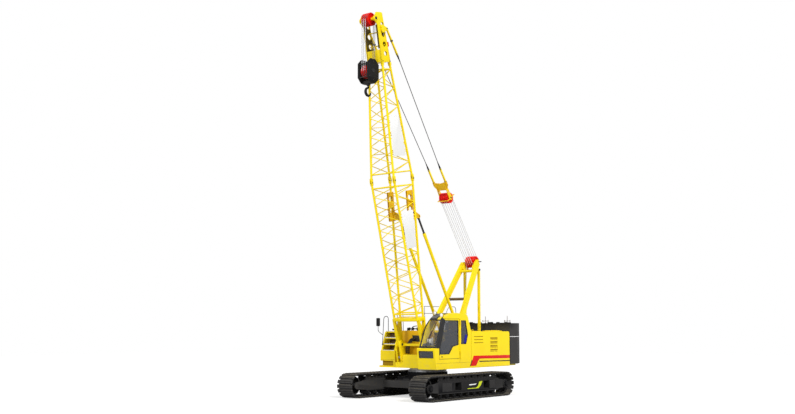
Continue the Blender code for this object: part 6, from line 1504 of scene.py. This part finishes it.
def cushion(low, high, crown, channels, axis, cells=14):
    """A crowned pad: its faces swell between the edges, its corners are soft and sewn channels cross it."""
    low, high = Vector(low), Vector(high)
    middle, half = (low + high) / 2, (high - low) / 2
    bm = bmesh.new()
    bmesh.ops.create_cube(bm, size=2)
    bmesh.ops.subdivide_edges(bm, edges=bm.edges[:], cuts=cells, use_grid_fill=True)
    others = [index for index in range(3) if index != axis]
    for vertex in bm.verts:
        unit = vertex.co.copy()
        length = sum(abs(part) ** SOFTNESS for part in unit) ** (1 / SOFTNESS)
        soft = unit / max(length, 1e-6)
        fall = (1 - soft[others[0]] ** 2) * (1 - soft[others[1]] ** 2)
        point = Vector([soft[index] * half[index] for index in range(3)])
        point[axis] += math.copysign(1, soft[axis]) * crown * (max(fall, 0) - 0.6) * min(1, abs(soft[axis]) * 1.2)
        for channel in channels:
            gap = (soft[others[0]] - channel) * half[others[0]]
            point[axis] -= math.copysign(1, soft[axis]) * 0.010 * math.exp(-(gap / 0.012) ** 2) * abs(soft[axis])
        vertex.co = point + middle
    return bm


def make_cab_inside():
    """The seat, the consoles, the levers and the lining."""
    seat_y = (CAB_INNER + CAB_OUTER) / 2
    pads, seat, inside, white = Shape(), Shape(), Shape(), Shape()
    pads.take(cushion((0.27, seat_y - 0.22, 1.70), (0.70, seat_y + 0.22, 1.85), 0.018, (-0.4, 0.4), 2))
    pads.take(cushion((0.14, seat_y - 0.22, 1.83), (0.25, seat_y + 0.22, 2.40), 0.018, (-0.35, 0.35), 0))
    pads.take(cushion((0.15, seat_y - 0.13, 2.42), (0.24, seat_y + 0.13, 2.615), 0.012, (), 0))
    piece = pads.done("seat_pads", "upper", "rubber", smooth_deg=60)
    seat.box((0.28, seat_y - 0.17, 1.262), (0.66, seat_y + 0.17, 1.50), 0.02)
    seat.box((0.26, seat_y - 0.20, 1.50), (0.69, seat_y + 0.20, 1.69), 0.02)
    seat.box((0.135, seat_y - 0.19, 1.75), (0.16, seat_y + 0.19, 2.36), 0.01)
    for side in (-1, 1):
        y = seat_y + side * 0.05
        seat.rod((0.19, y, 2.36), (0.19, y, 2.45), 0.008, 10)
        arm = seat_y + side * 0.27
        seat.box((0.20, arm - 0.035, 2.02), (0.62, arm + 0.035, 2.075), 0.015)
        seat.box((0.24, arm - 0.03, 1.60), (0.60, arm + 0.03, 1.98), 0.02)
        seat.rod((0.54, arm, 2.07), (0.57, arm, 2.20), 0.010, 10)
        seat.rod((0.565, arm, 2.18), (0.585, arm, 2.27), 0.024, 14, far_radius=0.018, edge=0.004)
    seat.done("seat_frame", "upper", "seal", "cab_seat")
    inside.box((-0.58, CAB_INNER + 0.046, 1.256), (1.58, CAB_OUTER - 0.046, 1.262), 0.001)
    inside.box((-0.58, CAB_INNER + 0.046, 1.27), (1.50, CAB_INNER + 0.060, 2.05), 0.004)
    inside.box((-0.585, CAB_INNER + 0.06, 1.27), (-0.56, CAB_OUTER - 0.06, 2.60), 0.004)
    inside.box((-0.56, CAB_INNER + 0.08, 1.27), (-0.22, CAB_OUTER - 0.10, 1.86), 0.02)
    inside.box((1.22, CAB_INNER + 0.062, 1.27), (1.46, CAB_INNER + 0.36, 2.10), 0.02)
    inside.box((1.18, CAB_INNER + 0.10, 2.10), (1.24, CAB_INNER + 0.34, 2.30), 0.01)
    inside.pipe([(1.30, CAB_INNER + 0.20, 2.05), (1.26, CAB_INNER + 0.20, 2.18)], 0.014, 10)
    for y in (seat_y - 0.10, seat_y + 0.10):
        inside.pipe([(1.38, y, 1.262), (1.34, y, 1.55), (1.24, y, 1.90)], 0.012, 10, bend=0.1)
        inside.rod((1.245, y, 1.88), (1.225, y, 1.97), 0.026, 14, far_radius=0.020, edge=0.004)
        inside.box((1.30, y - 0.05, 1.30), (1.44, y + 0.05, 1.32), 0.004)
    inside.done("cab_inside", "upper", "grey_dark")
    white.box((1.17, CAB_INNER + 0.364, 1.93), (1.29, CAB_INNER + 0.370, 2.33), 0.004)
    white.box((1.236, CAB_INNER + 0.12, 2.12), (1.246, CAB_INNER + 0.32, 2.28), 0.004)
    white.done("cab_panels", "upper", "white")


# Upper: the tower of steps, the houses, the counterweight, the winches and the gantry.
MIRROR_Y = -1.70
HOUSE_MIDDLE = 1.31
WEIGHT_TOP = 2.885
WEIGHT_SEAM = 2.33
WEIGHT_JOINT = 1.21 + 1.68 * 0.31
WINCH_UP = 1.80


def make_tower():
    """The step tower's treads with their grips, its toe plate in painted shade, and its seams."""
    treads, dark, toe, seams = (Shape() for _ in range(4))
    low_y, high_y, rise = -1.575, -0.975, 0.25
    for index in range(3):
        z, front = 1.80 + index * rise, mix(0.91, 0.66, index / 3)
        treads.box((front - 0.035, low_y, z - 0.006), (front + 0.012, high_y, z + 0.022), 0.003)
        dark.box((0.43, low_y, z + 0.002), (front - 0.036, high_y, z + 0.010), 0.002)
        for step in range(6):
            x = 0.46 + step * (front - 0.52) / 6
            dark.box((x, low_y + 0.03, z + 0.010), (x + 0.015, high_y - 0.03, z + 0.018), 0.003)
        dark.box((0.422, low_y, z + 0.012), (0.430, high_y, z + rise - 0.05), 0.001)
    treads.box((0.62, -1.60, 2.552), (0.655, -0.95, 2.572), 0.003)
    treads.done("tread_noses", "upper", "white")
    dark.box((-0.58, -1.60, 2.550), (0.60, -0.95, 2.558), 0.002)
    dark.done("tread_grips", "upper", "brown")
    # Painted shade: the toe plate darkens the recess under the lowest step.
    toe.box((0.802, -1.648, 1.213), (0.812, -0.985, 1.396), 0.002)
    toe.box((0.83, -1.645, 1.3905), (0.948, -0.985, 1.399), 0.002)
    toe.done("toe_plate_painted_shade", "upper", "painted_shade_ochre")
    seams.box((-0.62, -1.652, 1.44), (0.952, -1.6495, 1.446), 0.0005)
    seams.box((0.9495, -1.65, 1.44), (0.952, -0.90, 1.446), 0.0005)
    seams.done("tower_seams", "upper", "seal")


def make_tower_rails():
    """The hoops beside the tower and the mirror on its arm."""
    rail, mirror = Shape(), Shape()
    y = -1.60
    rail.pipe([(x, y, z) for x, z in ((0.885, 2.04), (0.80, 3.16), (0.52, 3.16), (0.52, 2.552))], 0.013, 10, bend=0.15)
    for x, z in ((0.885, 2.04), (0.52, 2.556)):
        rail.rod((x - 0.02, y, z), (x + 0.015, y, z), 0.026, 12, edge=0.003)
    rail.pipe([(0.86, y, 2.41), (1.04, MIRROR_Y, 2.56), (1.04, MIRROR_Y, 2.93)], 0.011, 10, bend=0.08)
    rail.rod((1.04, MIRROR_Y, 2.90), (1.04, MIRROR_Y, 2.95), 0.018, 12, edge=0.003)
    housing = rounded(((-0.085, -0.165, 0.04), (0.085, -0.165, 0.04), (0.085, 0.165, 0.04), (-0.085, 0.165, 0.04)))
    at = Matrix.Translation((0, MIRROR_Y, 2.925))
    rail.slab("X", housing, 1.015, 1.065, edge=0.010, matrix=at)
    # Painted reflection: a flat grey stands for what the mirror reflects.
    mirror.slab("X", [(across * 0.86, up * 0.92) for across, up in housing], 1.010, 1.016, edge=0.001, matrix=at)
    y = -1.02
    rail.pipe([(x, y, z) for x, z in ((0.62, 2.555), (0.66, 3.30), (0.30, 3.34), (0.26, 2.555))], 0.011, 10, bend=0.10)
    rail.box((0.66, y - 0.04, 2.60), (0.93, y + 0.08, 2.66), 0.01)
    rail.box((0.60, y - 0.03, 2.555), (0.70, y + 0.04, 2.62), 0.006)
    rail.done("tower_rails", "upper", "black", "mirror_rail")
    mirror.done("mirror_glass", "upper", "mirror")


def make_roof_rails():
    """Thin hand rails on the right house."""
    grey = Shape()
    y, foot = -0.98, 2.551
    for z in (3.29, 3.58):
        grey.rod((-1.05, y, z), (-2.30, y, z), 0.011, 10)
    for x in (-1.09, -1.68, -2.26):
        grey.rod((x, y, foot), (x, y, 3.585), 0.013, 10)
        grey.rod((x, y, foot), (x, y, 2.562), 0.035, 14)
    bow = ((-2.52, foot), (-2.60, 3.36), (-2.80, 3.59), (-3.28, 3.59), (-3.34, foot))
    grey.pipe([(x, y, z) for x, z in bow], 0.013, 10, bend=0.14)
    grey.rod((-2.60, y, 3.10), (-3.31, y, 3.10), 0.011, 10)
    grey.done("roof_rails", "upper", "steel")


def make_middle():
    """Hoses, pulleys, boss rings and a thin panel of painted shade on the bulkhead between the tower and the cab."""
    hoses, boxes, skin, lid = (Shape() for _ in range(4))
    for index in range(4):
        y = -0.30 + index * 0.055
        path = [(0.60, y, 2.30), (0.80, y, 2.20), (0.88, y - 0.10, 1.95), (0.80, y - 0.15, 1.70)]
        hoses.pipe(path, 0.018, 10, bend=0.2)
    for index in range(3):
        y = 0.58 + index * 0.05
        hoses.pipe([(0.55, y, 2.10), (0.85, y, 2.05), (0.98, y, 1.75), (0.96, y, 1.40)], 0.018, 10, bend=0.2)
    hoses.box((0.585, -0.262, 2.156), (0.628, 0.262, 2.404), 0.002)
    for y in (-0.52, -0.34, -0.10, 0.12, 0.30):
        hoses.rod((0.50, y - 0.035, 2.66), (0.50, y + 0.035, 2.66), 0.055, 20, edge=0.008)
        hoses.box((0.47, y - 0.012, 2.585), (0.53, y + 0.012, 2.66), 0.004)
    hoses.rod((0.50, -0.60, 2.66), (0.50, 0.38, 2.66), 0.022, 14)
    for y in (-0.60, 0.38):
        hoses.box((0.46, y - 0.012, 2.555), (0.54, y + 0.012, 2.70), 0.006)
    path = [(0.42, -0.48, 2.56), (0.42, -0.45, 2.74), (0.40, -0.20, 2.78), (0.38, 0.05, 2.72), (0.36, 0.20, 2.56)]
    hoses.pipe(path, 0.016, 10, bend=0.1)
    hoses.done("deck_hoses", "upper", "seal")
    boxes.box((0.70, 0.16, 1.66), (0.86, 0.36, 1.80), 0.012)
    boxes.bolts([(0.86, y, 1.73) for y in (0.26, 0.20)], (1, 0, 0), 0.012)
    for y in (-0.60, 0.60):
        for side in (-1, 1):
            edge = y + side * 0.112
            rim, bore = ring(1.0, 2.05, 0.11, 32), ring(1.0, 2.05, 0.058, 32)
            boxes.slab("Y", rim, edge, edge + side * 0.012, [bore], edge=0.003)
    boxes.done("deck_boxes", "upper", "yellow")
    # Painted shade: a thin panel over the bulkhead's front, in a deeper yellow because the bulkhead lies in shade.
    wall = ((-0.815, 1.37), (0.815, 1.37), (0.815, 2.585), (-0.815, 2.585))
    hatch = ((-0.275, 2.145), (0.275, 2.145), (0.275, 2.415), (-0.275, 2.415))
    skin.slab("X", wall, 0.6355, 0.6395, [hatch], edge=0.001)
    skin.done("bulkhead_painted_shade_panel", "upper", "painted_shade_deep_yellow")
    lid.rod((1.035, -0.60, 1.55), (1.045, -0.60, 1.55), 0.045, 20)
    lid.done("deck_caps", "upper", "grey")


def make_house_trim():
    """Stripes, louvre screens in painted shade, exhaust and roof hatches of the two machinery houses."""
    red, dark, seams, painted_shade_screens, stack, roof = (Shape() for _ in range(6))
    y = CAB_OUTER
    stripe = ((-0.80, 1.61), (-3.395, 1.585), (-3.395, 1.455), (-1.22, 1.485), (-1.13, 1.42), (-0.97, 1.215))
    fronts = {1: ((-0.60, 1.215),), -1: ((-0.665, 1.215), (-0.665, 1.32))}
    line = ((-1.17, 1.40), (-1.205, 1.36), (-3.395, 1.335), (-3.395, 1.375))
    for side in (1, -1):
        low, high = sorted((side * y, side * (y + 0.003)))
        red.slab("Y", stripe + fronts[side], low, high, edge=0.0008)
        dark.slab("Y", line, low, high, edge=0.0008)
        seams.box((-3.39, low, 1.148), (-0.67, high - 0.001, 1.152), 0.0005)
    wedge = ((-0.722, 1.44), (-0.676, 1.44), (-0.540, 1.214), (-0.598, 1.214))
    dark.slab("Y", wedge, y - 0.001, y + 0.0045, edge=0.0008)
    red.done("house_stripes", "upper", "red")
    dark.done("house_lines", "upper", "seal")
    seams.done("house_seams", "upper", "seal")
    # Painted shade: dark ochre screens behind the slots and the louvre blades stand in for the shade inside the house.
    for side in (1, -1):
        painted_shade_screens.box((-2.60, side * (y - 0.075), 1.80), (-0.80, side * (y - 0.060), 2.45), 0.003)
        for index in range(3):
            top = 2.37 - index * 0.12
            near, far = side * (y - 0.010), side * (y - 0.030)
            painted_shade_screens.box((-1.476, near, top - 0.028), (-0.844, far, top - 0.002), 0.003)
        for index in range(4):
            top = 2.31 - index * 0.155
            blade = ((0.003, 0.092), (0.003, 0.084), (0.014, 0.008), (0.024, 0.008))
            blade = [(side * (y - inside), top - down) for inside, down in blade]
            painted_shade_screens.slab("X", blade, -2.505, -1.995, edge=0.002)
    painted_shade_screens.done("louvre_screens_painted_shade", "upper", "painted_shade_ochre")
    profile = (
        (0, 0), (0.075, 0), (0.075, 0.02), (0.060, 0.03), (0.060, 0.10), (0.085, 0.12), (0.085, 0.26), (0.060, 0.28),
        (0.060, 0.415), (0.050, 0.415), (0.050, 0.30), (0, 0.30),
    )
    low, high = (MACHINE.inverted() @ Vector(corner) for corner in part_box("exhaust"))
    middle = (low + high) / 2
    stack.turned(profile, (middle.x, middle.y, low.z), (middle.x, middle.y, low.z + 1), 32)
    stack.done("exhaust_stack", "upper", "brown", "exhaust")
    for side in (1, -1):
        y = side * HOUSE_MIDDLE
        roof.box((-3.00, y - 0.26, 2.549), (-2.35, y + 0.26, 2.575), 0.010)
        for index in range(6):
            x = -2.93 + index * 0.09
            roof.box((x, y - 0.20, 2.575), (x + 0.04, y + 0.20, 2.590), 0.004)
        roof.box((-1.55, y - 0.24, 2.549), (-0.90, y + 0.24, 2.568), 0.010)
        handle = [(x, y - 0.05, z) for x, z in ((-1.40, 2.565), (-1.40, 2.61), (-1.25, 2.61), (-1.25, 2.565))]
        roof.pipe(handle, 0.008, 8, bend=0.02)
    roof.done("roof_hatches", "upper", "yellow")


def make_weight_trim():
    """Seams, lifting eyes, posts and lamps on the counterweight; the upper seam's pale colour is a painted highlight.
    """
    light, dark, posts, back = (Shape() for _ in range(4))
    outline = ((-3.452, 1.68), (-4.0, 1.68), (-4.60, 1.40), (-4.60, -1.40), (-4.0, -1.68), (-3.452, -1.68))
    inner = [(x + (0.02 if x < -4 else -0.02), y * 0.985) for x, y in outline]
    rim = ((-3.448, 1.682), (-4.001, 1.682), (-4.6015, 1.401), (-4.6015, -1.401), (-4.001, -1.682), (-3.448, -1.682))
    # Painted highlight: the upper seam is near white, as its lit edges look.
    light.slab("Z", rim, WEIGHT_SEAM - 0.012, WEIGHT_SEAM + 0.012, [inner], edge=0.001)
    light.done("weight_seam_painted_highlight", "upper", "lamp_and_painted_highlight")
    dark.slab("Z", rim, WEIGHT_JOINT - 0.006, WEIGHT_JOINT + 0.006, [inner], edge=0.001)
    eyes = [(y, 0.06, 2.935) for y in (-0.32, 0.13, 0.61, 1.05, 1.45)]
    eyes += [(y, 0.05, 2.925) for y in (-0.75, -1.20, 1.62, -1.60)]
    for y, half, top in eyes:
        dark.box((-3.56, y - half, WEIGHT_TOP), (-3.45, y + half, top), 0.014)
    for y in (-0.84, 0.84):
        dark.box((-4.35, y - 0.12, WEIGHT_TOP), (-4.10, y + 0.12, 2.91), 0.010)
    dark.done("weight_trim", "upper", "dark_grey")
    for y, top in ((0.15, 3.17), (1.26, 3.19)):
        posts.rod((-3.9, y, WEIGHT_TOP), (-3.9, y, top), 0.010, 10)
        posts.rod((-3.9, y - 0.14, 2.98), (-3.9, y + 0.14, 2.98), 0.009, 10)
        for end in (-0.14, 0.14):
            posts.rod((-3.9, y + end, 2.93), (-3.9, y + end, 3.02), 0.012, 10)
        posts.rod((-3.9, y, WEIGHT_TOP), (-3.9, y, 2.91), 0.035, 14, edge=0.004)
    posts.done("weight_posts", "upper", "brown")
    for y in (-0.60, 0.60):
        back.slab("X", ring(y, 1.46, 0.07), -4.615, -4.598)
    back.done("rear_lamps", "upper", "red")


def make_winches():
    """Three drums with bolted flanges and a layer of rope each."""
    flange = (
        (0, 0.33), (0.352, 0.33), (0.36, 0.338), (0.36, 0.352), (0.352, 0.36), (0.30, 0.36), (0.27, 0.35),
        (0.16, 0.35), (0.14, 0.36), (0, 0.36),
    )
    layer = [(0.20, -0.329)]
    for wrap in range(27):
        middle = -0.3265 + 0.0240 * (wrap + 0.5)
        for step in range(5):
            angle = math.pi * step / 4
            layer.append((0.228 + 0.012 * math.sin(angle), middle - 0.0118 * math.cos(angle)))
    layer += [(0.20, 0.329), (0.20, -0.329)]
    for name, x in (("winch_main", 0.15), ("winch_auxiliary", -0.75), ("winch_luffing", -2.45)):
        drum, rope = Shape(), Shape()
        for side in (-1, 1):
            drum.turned(flange, (x, 0, WINCH_UP), (x, side, WINCH_UP), 48)
            spots = wheel_spots(x, side * 0.359, WINCH_UP, 0.31, full_turn(12))
            drum.bolts(spots, (0, side, 0), 0.012, 0.008)
        drum.rod((x, -0.33, WINCH_UP), (x, 0.33, WINCH_UP), 0.225, 48)
        drum.done(name + "_drum", "upper", "dark_grey", name)
        rope.turned(layer, (x, 0, WINCH_UP), (x, 1, WINCH_UP), 48)
        rope.done(name + "_rope", "upper", "rope")


def mast_point(share, side):
    """A point of a mast leg's middle line, this share of the way up."""
    middle = Vector((-0.70, 0, 1.95)).lerp(Vector((-3.02, 0, 5.42)), share)
    return Vector((middle.x, side * mix(0.745, 0.36, share), middle.z))


def make_gantry_trim():
    """The sleeve between the mast's legs, their joints, and the gantry's pins."""
    brown, dark, yellow = Shape(), Shape(), Shape()
    inset = Vector((0, 0.10, 0))
    brown.rod(mast_point(0.556, -1) + inset, mast_point(0.556, 1) - inset, 0.058, 28)
    brown.done("gantry_bar_sleeve", "upper", "brown")
    x, _, z = GANTRY_TOP
    for side in (-1, 1):
        for share in (0.08, 0.50, 0.612):
            middle = mast_point(share, side)
            run = (mast_point(share + 0.01, side) - middle).normalized()
            place = Matrix.Translation(middle) @ run.to_track_quat("Z", "X").to_matrix().to_4x4()
            yellow.box((-0.106, -0.081, -0.02), (0.106, 0.081, 0.02), 0.004, place)
        foot = mast_point(0, side)
        start, end = foot - side * inset, foot + side * Vector((0, 0.12, 0))
        dark.rod(start, end, 0.05, 24, edge=0.004)
        dark.rod((x, side * 0.245, z), (x, side * 0.285, z), 0.048, 24, edge=0.005)
        dark.rod((-3.12, side * 0.40, 5.14), (-3.12, side * 0.425, 5.14), 0.042, 20, edge=0.004)
        dark.rod((x, side * 0.34, z), (x, side * 0.48, z), 0.020, 16, edge=0.003)
    yellow.done("gantry_trim", "upper", "yellow")
    dark.done("gantry_pins", "upper", "black")


def make_upper():
    """Everything on the slewing upper."""
    make_cab()
    make_tower()
    make_tower_rails()
    make_roof_rails()
    make_middle()
    make_house_trim()
    make_weight_trim()
    make_winches()
    make_gantry_trim()


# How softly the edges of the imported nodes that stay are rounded, by their slots.
BEVELS = {"dark_grey": 0.012, "yellow": 0.010}


def finish_packed_nodes():
    """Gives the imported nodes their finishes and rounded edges."""
    for subpart in frame["record"]["subparts"]:
        node = frame["nodes"][subpart["node"]]
        node.data.materials.clear()
        node.data.materials.append(FINISHES[subpart["material_slot"]])
        rim = node.modifiers.new("rim", "BEVEL")
        rim.width = BEVELS.get(subpart["material_slot"], 0.004)
        rim.segments = 2
        rim.limit_method = "ANGLE"
        rim.angle_limit = math.radians(40)
        rim.use_clamp_overlap = True


finish_packed_nodes()
make_camera()
make_world()
make_sun("key", SUN_STRENGTH, SUN_FROM, SUN_ANGLE_DEG)
make_sun("fill", FILL_STRENGTH, FILL_FROM, SUN_ANGLE_DEG)
make_floor()
make_tracks()
make_carbody()
make_foot_section()
make_top_section()
make_rope_guard()
make_head()
make_boards()
make_stays()
make_backstops()
make_hoist()
make_upper()

bpy.context.scene.view_settings.view_transform = "Standard"
